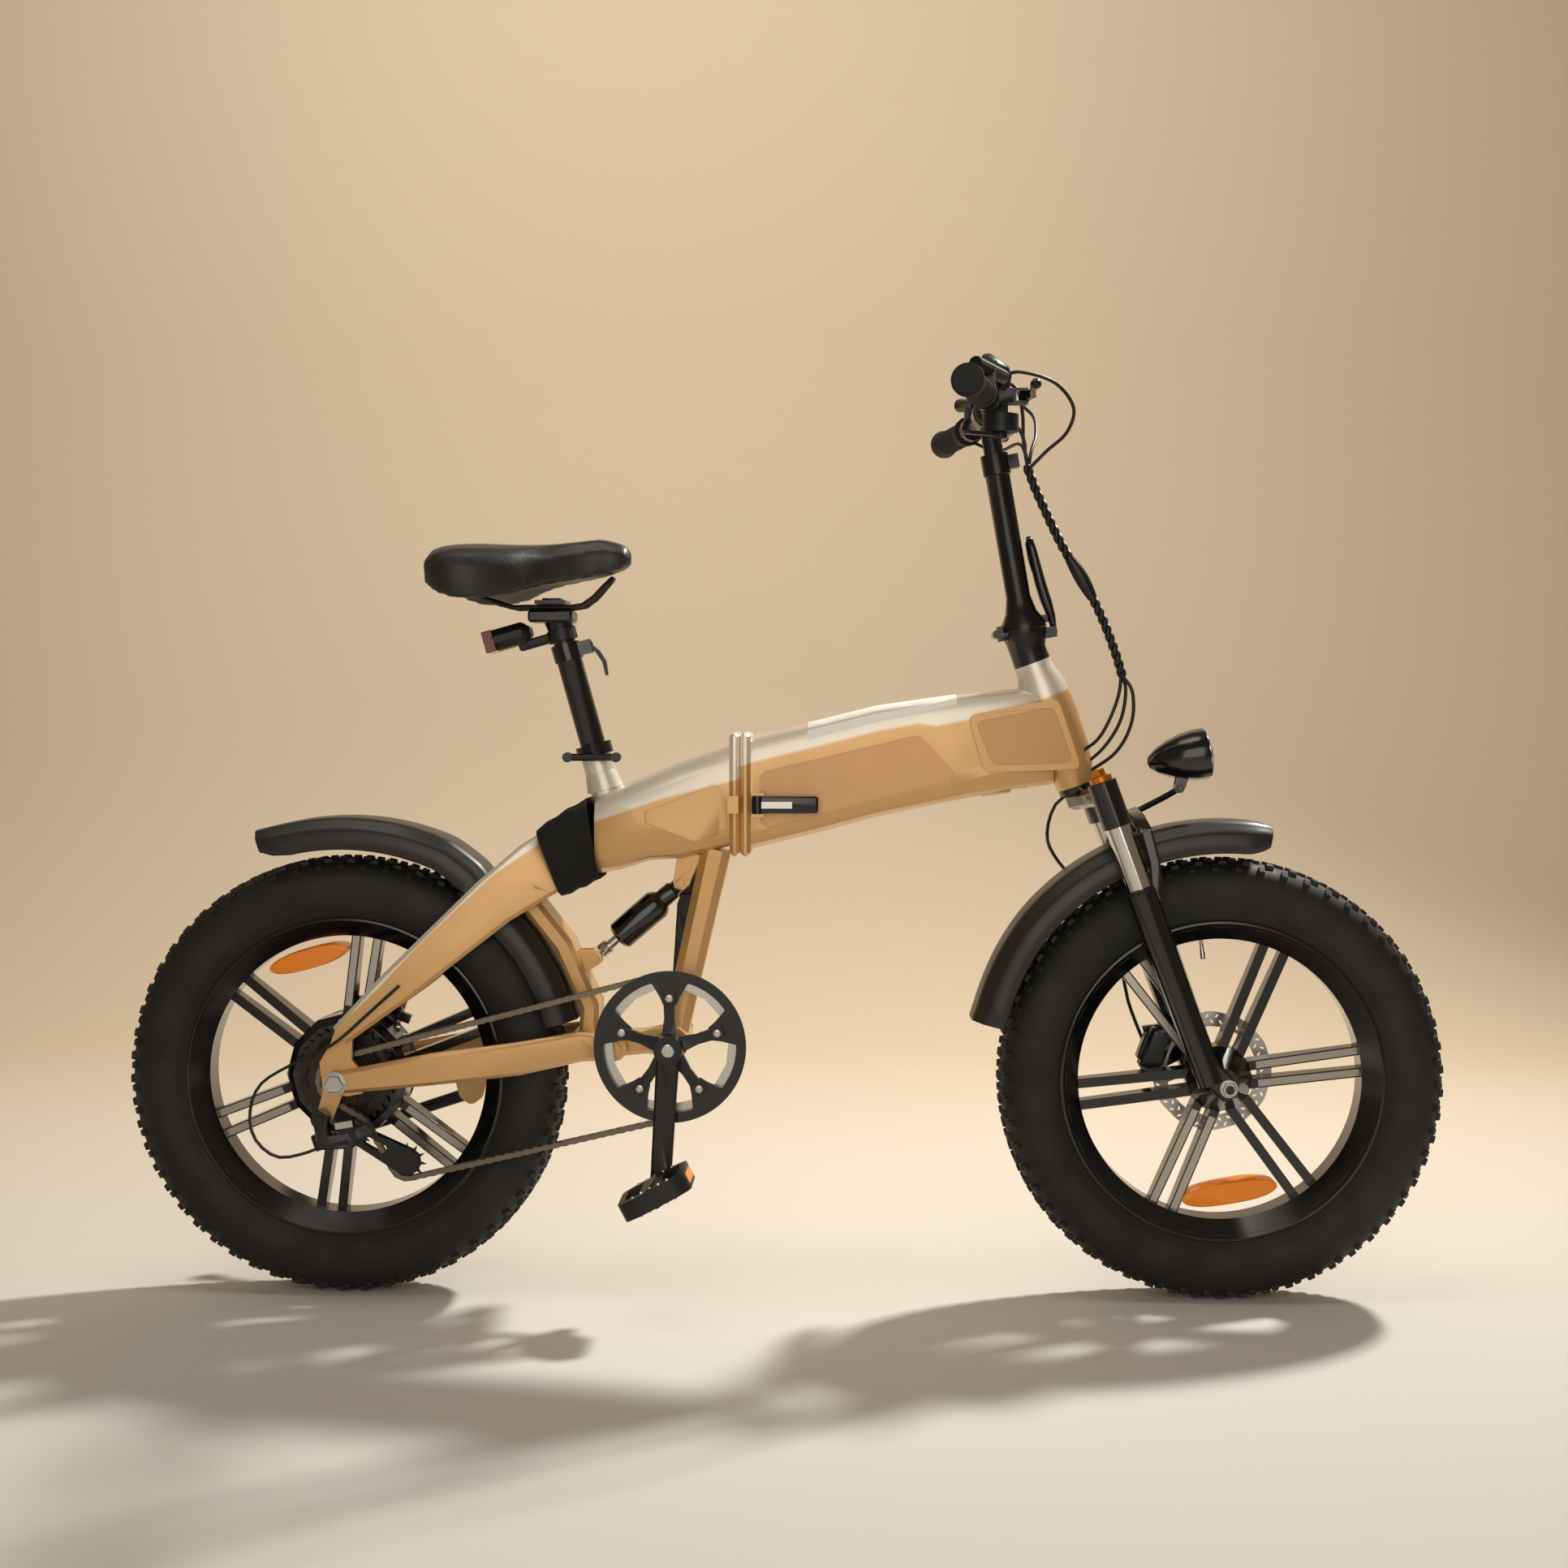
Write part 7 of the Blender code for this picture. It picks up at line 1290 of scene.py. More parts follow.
@dataclass
class Wheel(Assembly):
    """A cast wheel with its brake disc, bolts, valve and reflectors."""

    end: str
    axle: Spot
    disc_y: float
    steel: Finish
    valve: float
    reflector_ends: tuple[Corner, Corner]
    reflector_half: float
    bare_spokes: tuple[float, ...]
    spoke_root: float
    spoke_end: float = 0.1945

    def build(self) -> None:
        """Refine the cast wheel and the disc, and add the small pieces."""
        body = f"{self.end}_wheel"
        self.refine(body, BLACK_GLOSS, 0.0012, 32)
        self.add(self.rim(), BLACK_GLOSS, body)
        self.add(self.brake_disc(), self.steel, body, f"{self.end}_rotor")
        bolts = Bolts(f"{self.end}_disc_bolts", body, STEEL, (self.axle[0], self.disc_y + 0.0009, self.axle[2]),
                      0.022, 6, 0.0038, 0.0028, 1)
        bolts.build()
        self.add(self.valve_stem(), STEEL, body)
        self.add(self.reflector(), AMBER, body)
        self.add(self.spoke_faces(), SPOKE_FACE, body)

    def rim(self) -> Piece:
        """Turn the rim's round skin.

        Returns:
            The piece.
        """
        half = ((0.1846, 0.0180), (0.2064, 0.0403), (0.2086, 0.0404), (0.2102, 0.0394), (0.2102, 0.0340),
            (0.2035, 0.0334))
        profile = [*half, *[(radius, -y) for radius, y in reversed(half)]]
        return Shape().turned(self.axle, LEFTWARD, profile, 144, closed=True).plain(f"{self.end}_rim_skin")

    def brake_disc(self) -> Piece:
        """Cut the brake disc: a waved rim, two rows of slots, leaning arms and a hub ring.

        Returns:
            The piece.
        """
        rim = []
        for step in range(144):
            turn = math.tau * step / 144
            radius = 0.0794 + 0.0006 * math.cos(turn * 12)
            rim.append((radius * math.cos(turn), radius * math.sin(turn)))
        outlines = [rim, disc(0.0170, 36)]
        outlines += [self.window(math.radians(60 * number)) for number in range(6)]
        for row, radius in enumerate((0.0665, 0.0740)):
            outlines += [self.slit(radius, math.radians(10 * number + 5 * row),
                40 - 80 * row) for number in range(36)]
        place = (self.axle[0], self.disc_y, self.axle[2])
        return Shape().cut(outlines, 0.0018, place).plain(f"{self.end}_brake_disc")

    def window(self, start: float) -> list[Corner]:
        """Return the opening between two arms of the disc.

        Args:
            start: Where it starts, in radians.

        Returns:
            The outline's corners.
        """
        points = []
        for radius, lean, low, high in ((0.0600, 0.16, 0.10, 0.94), (0.0300, -0.10, 0.90, 0.22)):
            for step in range(9):
                turn = start + lean + math.radians(60) * (low + (high - low) * step / 8)
                points.append((radius * math.cos(turn), radius * math.sin(turn)))
        return points

    def slit(self, radius: float, turn: float, lean: float) -> list[Corner]:
        """Return one slot of the disc, leaning from the radius by some degrees.

        Args:
            radius: Its radius.
            turn: Its place round the axle.
            lean: How many degrees it leans.

        Returns:
            The outline's corners.
        """
        points = []
        for end, start in ((1, -90), (-1, 90)):
            for step in range(4):
                bend = math.radians(start + 60 * step)
                points.append((end * 0.0018 + 0.0012 * math.cos(bend), 0.0012 * math.sin(bend)))
        angle = turn + math.radians(lean)
        centre = (radius * math.cos(turn), radius * math.sin(turn))
        return [
            (centre[0] + u * math.cos(angle) - v * math.sin(angle),
                centre[1] + u * math.sin(angle) + v * math.cos(angle))
            for u, v in points
        ]

    def at(self, radius: float, angle: float, y: float) -> Vector:
        """Return the point at a radius and an angle in degrees, with 0 forward and 90 up."""
        turn = math.radians(angle)
        return Vector((self.axle[0] + radius * math.cos(turn), y, self.axle[2] + radius * math.sin(turn)))

    def valve_stem(self) -> Piece:
        """Turn the valve that stands in from the rim.

        Returns:
            The piece.
        """
        way = self.at(0.0, self.valve, 0.0) - self.at(1.0, self.valve, 0.0)
        profile = ((0.0, -0.012), (0.0045, -0.012), (0.0040, 0.006), (0.0028, 0.008), (0.0028, 0.026),
            (0.0034, 0.027),
                   (0.0034, 0.035), (0.0, 0.036))
        return Shape().turned(self.at(0.192, self.valve, 0.0), way, profile, 20).plain(f"{self.end}_valve")

    def reflector(self) -> Piece:
        """Make the long oval reflector that clips across two spokes.

        Returns:
            The piece.
        """
        low, high = (Vector((x, 0, z)) for x, z in self.reflector_ends)
        middle, along = (low + high) / 2, (high - low) / 2
        rise = along.normalized().cross(LEFTWARD) * self.reflector_half
        rings = []
        for y, share in ((0.0105, 0.90), (0.0125, 1.0), (-0.0155, 1.0), (-0.0178, 0.90)):
            turns = [math.tau * step / 40 for step in range(40)]
            flat = [(math.copysign(abs(math.cos(a)) ** 0.75, math.cos(a)), math.sin(a)) for a in turns]
            rings.append([middle + along * (u * share) + rise * (v * share) + LEFTWARD * y for u, v in flat])
        return Shape().loft(rings).plain(f"{self.end}_spoke_reflector")

    def spoke_faces(self) -> Piece:
        """Lay a thin machined face on the outer side of each bare spoke pair.

        Returns:
            The piece.
        """
        shape = Shape()
        for angle in self.bare_spokes:
            for offset in (-0.0135, 0.0135):
                for side in (-1, 1):
                    self.spoke_face(shape, angle, offset, side)
        return shape.plain(f"{self.end}_spoke_faces")

    def spoke_face(self, shape: Shape, angle: float, offset: float, side: int) -> None:
        """Add one machined face.

        Args:
            shape: What it is added to.
            angle: The spoke pair's angle in degrees.
            offset: The bar's place beside the pair's middle.
            side: 1 for the left face, -1 for the right one.
        """
        turn = math.radians(angle)
        out = Vector((math.cos(turn), 0, math.sin(turn)))
        beside = Vector((-math.sin(turn), 0, math.cos(turn)))
        rings = []
        for radius in (self.spoke_root + 0.014, 0.1835):
            share = (radius - self.spoke_root) / (self.spoke_end - self.spoke_root)
            middle = Vector(self.axle) + out * radius + beside * (offset * (0.88 + 0.20 * share))
            for lift in (-0.0008, 0.0003):
                y = LEFTWARD * (side * (0.0150 - 0.0050 * share + lift))
                rings.append([middle + beside * half + y for half in (-0.0044, 0.0044)])
        inner_low, inner_high, outer_low, outer_high = rings
        shape.loft([[*inner_low, *reversed(outer_low)], [*inner_high, *reversed(outer_high)]])


@dataclass
class Frame(Assembly):
    """The folding frame: its two halves, the hinge, the arm, the sleeve and the seat clamp."""

    beam_panel: tuple[Corner, ...] = (
        (-0.026, 0.692), (0.181, 0.741), (0.234, 0.683), (0.125, 0.657), (-0.026, 0.617),
    )
    nose_rim: tuple[Corner, ...] = ((0.243, 0.7665), (0.360, 0.7885), (0.3915, 0.6965),
        (0.264, 0.692))
    nose_face: tuple[Corner, ...] = ((0.2530, 0.7580), (0.3545, 0.7770), (0.3800, 0.7050),
        (0.2755, 0.7015))
    strip_span: Corner = (0.036, 0.229)
    strip_turn: float = 30.0
    sleeve_span: tuple[Point, Point] = ((-0.252, 0.0, 0.600), (-0.304, 0.0, 0.582))

    def build(self) -> None:
        """Refine the welded halves and add what is fixed to them."""
        self.refine("front_frame", GOLD, 0.0012, 34)
        self.refine("rear_frame", GOLD_REAR, 0.0012, 34)
        self.refine("swingarm", GOLD_ARM, 0.0010, 34)
        self.add(self.strip(), PALE_STRIP, "front_frame")
        for side, name in ((-1, "right"), (1, "left")):
            plate = self.panel(f"beam_panel_{name}", self.beam_panel, side * 0.0430, side)
            self.add(plate, GOLD_DEEP, "front_frame")
            self.add(self.nose(f"nose_rim_{name}", side, 0.0018, self.nose_rim, self.nose_face), GOLD_PLAIN,
                "front_frame",
                     bevel=0.0016)
            self.add(self.nose(f"nose_panel_{name}", side, 0.0, self.nose_face), GOLD_DEEP, "front_frame")
        self.refine("frame_latch", BLACK_GLOSS, 0.0008)
        self.add(self.latch_plate(), STEEL, "frame_latch", bevel=0.0004)
        self.refine("battery_pack", BLACK_PLASTIC, 0.0015)
        self.bend("frame_sleeve", NEOPRENE, 0.0010, ("rear_frame", "suspension_arm"), self.sleeve_span)
        self.refine("seat_collar", BLACK_SATIN, 0.0006)
        self.refine("kickstand", BLACK_SATIN, 0.0008)

    def panel(self, name: str, outline: Sequence[Corner], y: float, side: int) -> Piece:
        """Make the plate that lies in a recess of the beam.

        Args:
            name: Its name.
            outline: The recess's corners as X and Z.
            y: The recess's floor.
            side: 1 for the left, -1 for the right.

        Returns:
            The plate.
        """
        middle = Vector((sum(x for x, _ in outline) / len(outline), sum(z for _, z in outline) / len(outline)))
        inset = [middle + (Vector(corner) - middle) * 0.985 for corner in outline]
        corners_at = [(corner.x, y - side * 0.0005, corner.y) for corner in inset]
        return Shape().slab(corners_at, (0, side * 0.0012, 0)).plain(name)

    def nose(self, name: str, side: int, lift: float,
        *outlines: Sequence[Corner]) -> Piece:
        """Make one plate of the beam's nose, toed in towards the head tube.

        Args:
            name: Its name.
            side: 1 for the left, -1 for the right.
            lift: How far it stands out past the rim's face.
            outlines: Its outline, and that of its hole if it has one, as X and Z.

        Returns:
            The plate.
        """
        start, end = (0.243, 0.0452), (0.3915, 0.0322)
        thickness = 0.0060
        plate = Shape().cut([eased(outline, 0.012) for outline in outlines], thickness, (0.0, 0.0, 0.0))
        slope = (end[1] - start[1]) / (end[0] - start[0])
        for vertex in plate.mesh.verts:
            vertex.co.y += side * (start[1] + slope * (vertex.co.x - start[0]) + lift - thickness / 2)
        return plate.plain(name)

    def strip(self) -> Piece:
        """Lay the plain cover strip over the beam's crown.

        Returns:
            The piece.
        """
        beam = frame["nodes"]["front_frame"].data
        tree = BVHTree.FromPolygons([v.co for v in beam.vertices], [tuple(p.vertices) for p in beam.polygons])
        rings = []
        for x in np.linspace(*self.strip_span, 26):
            middle = Vector((x, 0.0, 0.655 + 0.27 * (x - self.strip_span[0])))
            row = []
            for turn in np.radians(np.linspace(-self.strip_turn, self.strip_turn, 15)):
                way = LEFTWARD * math.sin(turn) + UPWARD * math.cos(turn)
                spot, normal, _, _ = tree.ray_cast(middle + way * 0.5, -way)
                row.append((spot, normal))
            skin = [spot + normal * 0.0009 for spot, normal in row]
            under = [spot - normal * 0.0010 for spot, normal in reversed(row)]
            rings.append([*skin, *under])
        return Shape().loft(rings).plain("beam_cover_strip")

    def latch_plate(self) -> Piece:
        """Set a bare metal plate in the latch's outer face.

        Returns:
            The piece.
        """
        low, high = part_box("frame_latch")
        middle = ((low.x * 0.62 + high.x * 0.38), low.y + 0.0002, (low.z + high.z) / 2)
        return Shape().block(middle, (0.040, 0.0012, 0.0090)).plain("latch_inlay")


@dataclass
class Mudguard(Assembly):
    """A long curved blade over a tyre, with a raised crown and a rolled lip."""

    end: str
    body: str
    axle: Spot
    stations: tuple[tuple[float, float, float, float], ...]
    half: float = 0.052
    section: tuple[Corner, ...] = (
        (-1.0, -0.0400), (-0.985, -0.0290), (-0.955, -0.0190), (-0.90, -0.0135), (-0.80, -0.0100),
        (-0.72, -0.0052),
        (-0.64, -0.0018), (-0.50, -0.0006), (-0.25, 0.0), (0.0, 0.0),
    )
    thickness: float = 0.0024
    arc_step: float = 1.5

    def build(self) -> None:
        """Make the blade."""
        self.add(self.blade(), GUARD_PLASTIC, self.body, f"{self.end}_mudguard")

    def rows(self) -> list[tuple[float, float, float, float]]:
        """Return angle, radius, half width and drop for each section along the blade.

        Returns:
            The rows.
        """
        found = []
        start, end = self.stations[0][0], self.stations[-1][0]
        count = round((end - start) / self.arc_step)
        columns = list(zip(*self.stations))
        for number in range(count + 1):
            angle = start + (end - start) * number / count
            found.append((angle, *[float(np.interp(angle, columns[0], column)) for column in columns[1:]]))
        return found

    def blade(self) -> Piece:
        """Loft the outer and inner skins as one closed strip.

        Returns:
            The piece.
        """
        full = [*self.section, *[(-share, drop) for share, drop in reversed(self.section[:-1])]]
        rings = []
        for angle, crown, narrow, flare in self.rows():
            turn = math.radians(angle)
            out = Vector((math.cos(turn), 0, math.sin(turn)))
            outer, inner = [], []
            for share, drop in full:
                fall = drop * (1 - flare)
                spread = LEFTWARD * (share * (self.half - narrow))
                outer.append(Vector(self.axle) + out * (crown + fall) + spread)
                inward = LEFTWARD * (-self.thickness * share) if abs(share) > 0.9 else LEFTWARD * 0.0
                inner.append(Vector(self.axle) + out * (crown + fall - self.thickness) + spread + inward)
            rings.append([*outer, *reversed(inner)])
        return Shape().loft(rings).plain(f"{self.end}_mudguard_blade", math.radians(50))


@dataclass
class SeatPost(Assembly):
    """The two posts, the lever, the rails and the rear lamp."""

    def build(self) -> None:
        """Refine the posts, the lever, the rails and the lamp, and add the lens."""
        self.refine("seatpost_outer", BLACK_GLOSS, 0.0006)
        self.refine("seatpost_inner", BLACK_SATIN, 0.0006)
        self.refine("seat_lever", BLACK_SATIN, 0.0006)
        self.refine("saddle_rails", DARK_STEEL, 0.0004)
        self.refine("rear_light", BLACK_PLASTIC, 0.0008)
        self.add(self.lens(), RED_LENS, "upper_post", bevel=0.0012)

    def lens(self) -> Piece:
        """Make the lens that wraps the lamp's rear end.

        Returns:
            The piece.
        """
        along = Vector((0.962, 0, 0.272))
        centre = Vector((-0.3600, 0, 0.8690)) - along * 0.0238
        return Shape().block(centre, (0.0142, 0.0506, 0.0286), along, 0.98).plain("rear_lamp_lens")


@dataclass
class Saddle(Assembly):
    """The padded saddle, blown up as cloth over its foam."""

    stations: tuple[tuple[float, float, float, float, float], ...] = (
        (-0.4640, 0.060, 0.9640, 0.9400, 0.9480), (-0.4560, 0.092, 0.9760, 0.9300, 0.9460),
        (-0.4300, 0.116, 0.9840, 0.9160, 0.9420), (-0.3900, 0.117, 0.9860, 0.9110, 0.9410),
        (-0.3450, 0.096, 0.9850, 0.9180, 0.9420), (-0.3050, 0.064, 0.9860, 0.9330, 0.9450),
        (-0.2650, 0.042, 0.9900, 0.9430, 0.9480), (-0.2300, 0.032, 0.9935, 0.9500, 0.9530),
        (-0.2020, 0.024, 0.9900, 0.9580, 0.9600), (-0.1930, 0.012, 0.9800, 0.9660, 0.9670),
    )
    swell: float = 0.0022

    def build(self) -> None:
        """Make the padded cover."""
        self.add(self.cover(), SADDLE_VINYL, "upper_post", "saddle")

    def ring(self, x: float, half: float, top: float, skirt: float, under: float) -> list[Vector]:
        """Return the section across the saddle at one place.

        Args:
            x: Its place along the bicycle.
            half: Half its width.
            top: The crown's height.
            skirt: The side's lower edge.
            under: The underside's height.

        Returns:
            The section's points.
        """
        half -= self.swell
        rim = top - (top - skirt) * 0.45
        points = [
            (0.0, top), (0.35, top - 0.0010), (0.62, top - 0.0042), (0.82, top - 0.0105),
            (0.94, (top + rim) / 2 - 0.002),
            (1.0, rim), (0.985, (rim + skirt) / 2), (0.955, skirt + 0.0015), (0.90, skirt),
            (0.80, (skirt + under) / 2),
            (0.55, under), (0.0, under),
        ]
        left = [Vector((x, half * share, z)) for share, z in points]
        right = [Vector((x, -point.y, point.z)) for point in reversed(left[1:-1])]
        return [*left, *right]

    def cover(self) -> Piece:
        """Loft the cover, then let cloth pressure round it.

        Returns:
            The piece.
        """
        columns = [smoothed([(row[0], row[index], 0.0) for row in self.stations], 5) for index in range(1, 5)]
        rings = [self.ring(point.x, *[column[place].y for column in columns]) for place,
            point in enumerate(columns[0])]
        piece = Shape().loft(rings).plain("saddle_cover", math.radians(60))
        return padded(piece, 0.005, 3.0, 0.0045)


def padded(piece: Piece, voxel: float, pressure: float, cap: float) -> Piece:
    """Remesh a piece and blow it up as cloth, with each point's move capped.

    Args:
        piece: The piece, changed in place.
        voxel: The remeshed faces' size.
        pressure: The cloth's inner pressure.
        cap: The farthest that a point may move.

    Returns:
        The piece, smooth and with no modifier left.
    """
    remesh = piece.modifiers.new("remesh", "REMESH")
    remesh.mode = "VOXEL"
    remesh.voxel_size = voxel
    bake(piece)
    before = [vertex.co.copy() for vertex in piece.data.vertices]
    cloth = piece.modifiers.new("cloth", "CLOTH")
    cloth.settings.use_pressure = True
    cloth.settings.uniform_pressure_force = pressure
    cloth.settings.effector_weights.gravity = 0
    cloth.settings.quality = 5
    cloth.point_cache.frame_start = 1
    cloth.point_cache.frame_end = 20
    for number in range(1, 21):
        bpy.context.scene.frame_set(number)
    bake(piece)
    bpy.context.scene.frame_set(1)
    for vertex, start in zip(piece.data.vertices, before):
        move = vertex.co - start
        if move.length > cap:
            vertex.co = start + move.normalized() * cap
    finer = piece.modifiers.new("finer", "SUBSURF")
    finer.levels = finer.render_levels = 1
    bake(piece)
    piece.data.shade_smooth()
    return piece


def bake(piece: Piece) -> None:
    """Turn a piece's modifiers into its mesh.

    Args:
        piece: The piece.
    """
    bpy.context.view_layer.update()
    graph = bpy.context.evaluated_depsgraph_get()
    whole = bpy.data.meshes.new_from_object(piece.evaluated_get(graph))
    piece.modifiers.clear()
    piece.data = whole


@dataclass
class Fork(Assembly):
    """The suspension fork with its crown, legs, caliper and knob."""

    head: Spot = (0.3884, 0.0, 0.67486)
    along: Spot = (0.3453, 0.0, -0.9385)
    ahead: Spot = (0.9385, 0.0, 0.3453)
    spacing: float = 0.076
    offset: float = 0.024

    def place(self, down: float, forward: float, y: float) -> Vector:
        """Return the point so far down the head tube's axis, ahead of it and to the left."""
        return Vector(self.head) + Vector(self.along) * down + Vector(self.ahead) * forward + LEFTWARD * y

    def build(self) -> None:
        """Refine the castings and sleeve the stanchions."""
        self.refine("fork_crown", BLACK_GLOSS, 0.0010, 34)
        self.refine("fork_lowers", BLACK_GLOSS, 0.0010, 34)
        self.refine("preload_knob", ORANGE_METAL, 0.0008)
        self.refine("front_caliper", BLACK_SATIN, 0.0008)
        self.refine("front_brake_hose", CABLE_SHEATH, 0.0, 60)
        AxleNuts("front_axle", "fork_lower", (0.575, 0.0, 0.29), 0.0862, 0.0098).build()
        for side, name in ((1, "left"), (-1, "right")):
            self.add(self.stanchion(name, side), CHROME, "steerer")
            self.add(self.wiper(name, side), BLACK_RUBBER, "fork_lower", bevel=0.0005)

    def stanchion(self, name: str, side: int) -> Piece:
        """Turn the bright tube between the crown and the lower leg.

        Args:
            name: Its name.
            side: 1 for the left, -1 for the right.

        Returns:
            The piece.
        """
        start = self.place(0.060, self.offset, side * self.spacing)
        profile = ((0.0, 0.0), (0.01615, 0.0), (0.01615, 0.0925), (0.0, 0.0925))
        return Shape().turned(start, self.along, profile, 40).plain(f"stanchion_{name}")

    def wiper(self, name: str, side: int) -> Piece:
        """Turn the rubber wiper at the top of a lower leg.

        Args:
            name: Its name.
            side: 1 for the left, -1 for the right.

        Returns:
            The piece.
        """
        start = self.place(0.1485, self.offset, side * self.spacing)
        profile = ((0.0163, -0.001), (0.0180, 0.0), (0.0192, 0.002), (0.0192, 0.0062), (0.0186, 0.0075),
            (0.0163, 0.0075))
        return Shape().turned(start, self.along, profile, 40, closed=True).plain(f"wiper_{name}")


@dataclass
class Shock(Assembly):
    """The rear shock: its can and its shaft."""

    def build(self) -> None:
        """Refine the can and the shaft."""
        self.refine("shock_body", BLACK_GLOSS, 0.0006)
        self.refine("shock_shaft", CHROME, 0.0004)


@dataclass
class Stem(Assembly):
    """The folding stem with its hinge and latch."""

    hinge: Spot = (0.3185, 0.0, 0.878)
    lean: float = math.radians(10)

    def build(self) -> None:
        """Refine the stem's pieces."""
        self.refine("stem_base", BLACK_SATIN, 0.0008, 34)
        self.refine("stem_tube", BLACK_SATIN, 0.0008, 34)
        self.refine("stem_latch", BLACK_SATIN, 0.0006)
        self.add(self.paddle(), BLACK_GLOSS, "stem_latch")
        self.refine("bar_post", BLACK_SATIN, 0.0006)

    def paddle(self) -> Piece:
        """Loft the thumb paddle over the latch's lever.

        Returns:
            The piece.
        """
        up = Vector((-math.sin(self.lean), 0, math.cos(self.lean)))
        ahead = Vector((math.cos(self.lean), 0, math.sin(self.lean)))
        rings = []
        for rise, back, front, half in (
            (-0.0060, 0.0350, 0.0400, 0.0040), (-0.0020, 0.0340, 0.0425, 0.0082),
            (0.0120, 0.0320, 0.0435, 0.0105),
            (0.0320, 0.0270, 0.0420, 0.0120), (0.0560, 0.0236, 0.0385, 0.0128),
            (0.0800, 0.0222, 0.0360, 0.0126),
            (0.1000, 0.0214, 0.0340, 0.0112), (0.1140, 0.0216, 0.0318, 0.0086),
            (0.1190, 0.0230, 0.0290, 0.0045),
        ):
            middle = Vector(self.hinge) + up * rise + ahead * ((back + front) / 2)
            turns = [math.tau * step / 28 for step in range(28)]
            flat = [(abs(math.cos(a)) ** 0.8, abs(math.sin(a)) ** 0.8, math.cos(a), math.sin(a)) for a in turns]
            rings.append([
                middle + ahead * (math.copysign(u, c) * (front - back) / 2) + LEFTWARD * (math.copysign(v,
                    d) * half)
                for u, v, c, d in flat
            ])
        return Shape().loft(rings).plain("stem_latch_paddle", math.radians(60))


@dataclass
class Cable(Assembly):
    """One cable or hose, held at both ends."""

    name: str
    body: str
    route: tuple[Spot, ...]
    radius: float = 0.0023

    def build(self) -> None:
        """Run the cable along its route."""
        self.add(Shape().tube(smoothed(self.route, 8), self.radius, 12).plain(self.name, math.radians(60)),
            CABLE_SHEATH,
                 self.body)


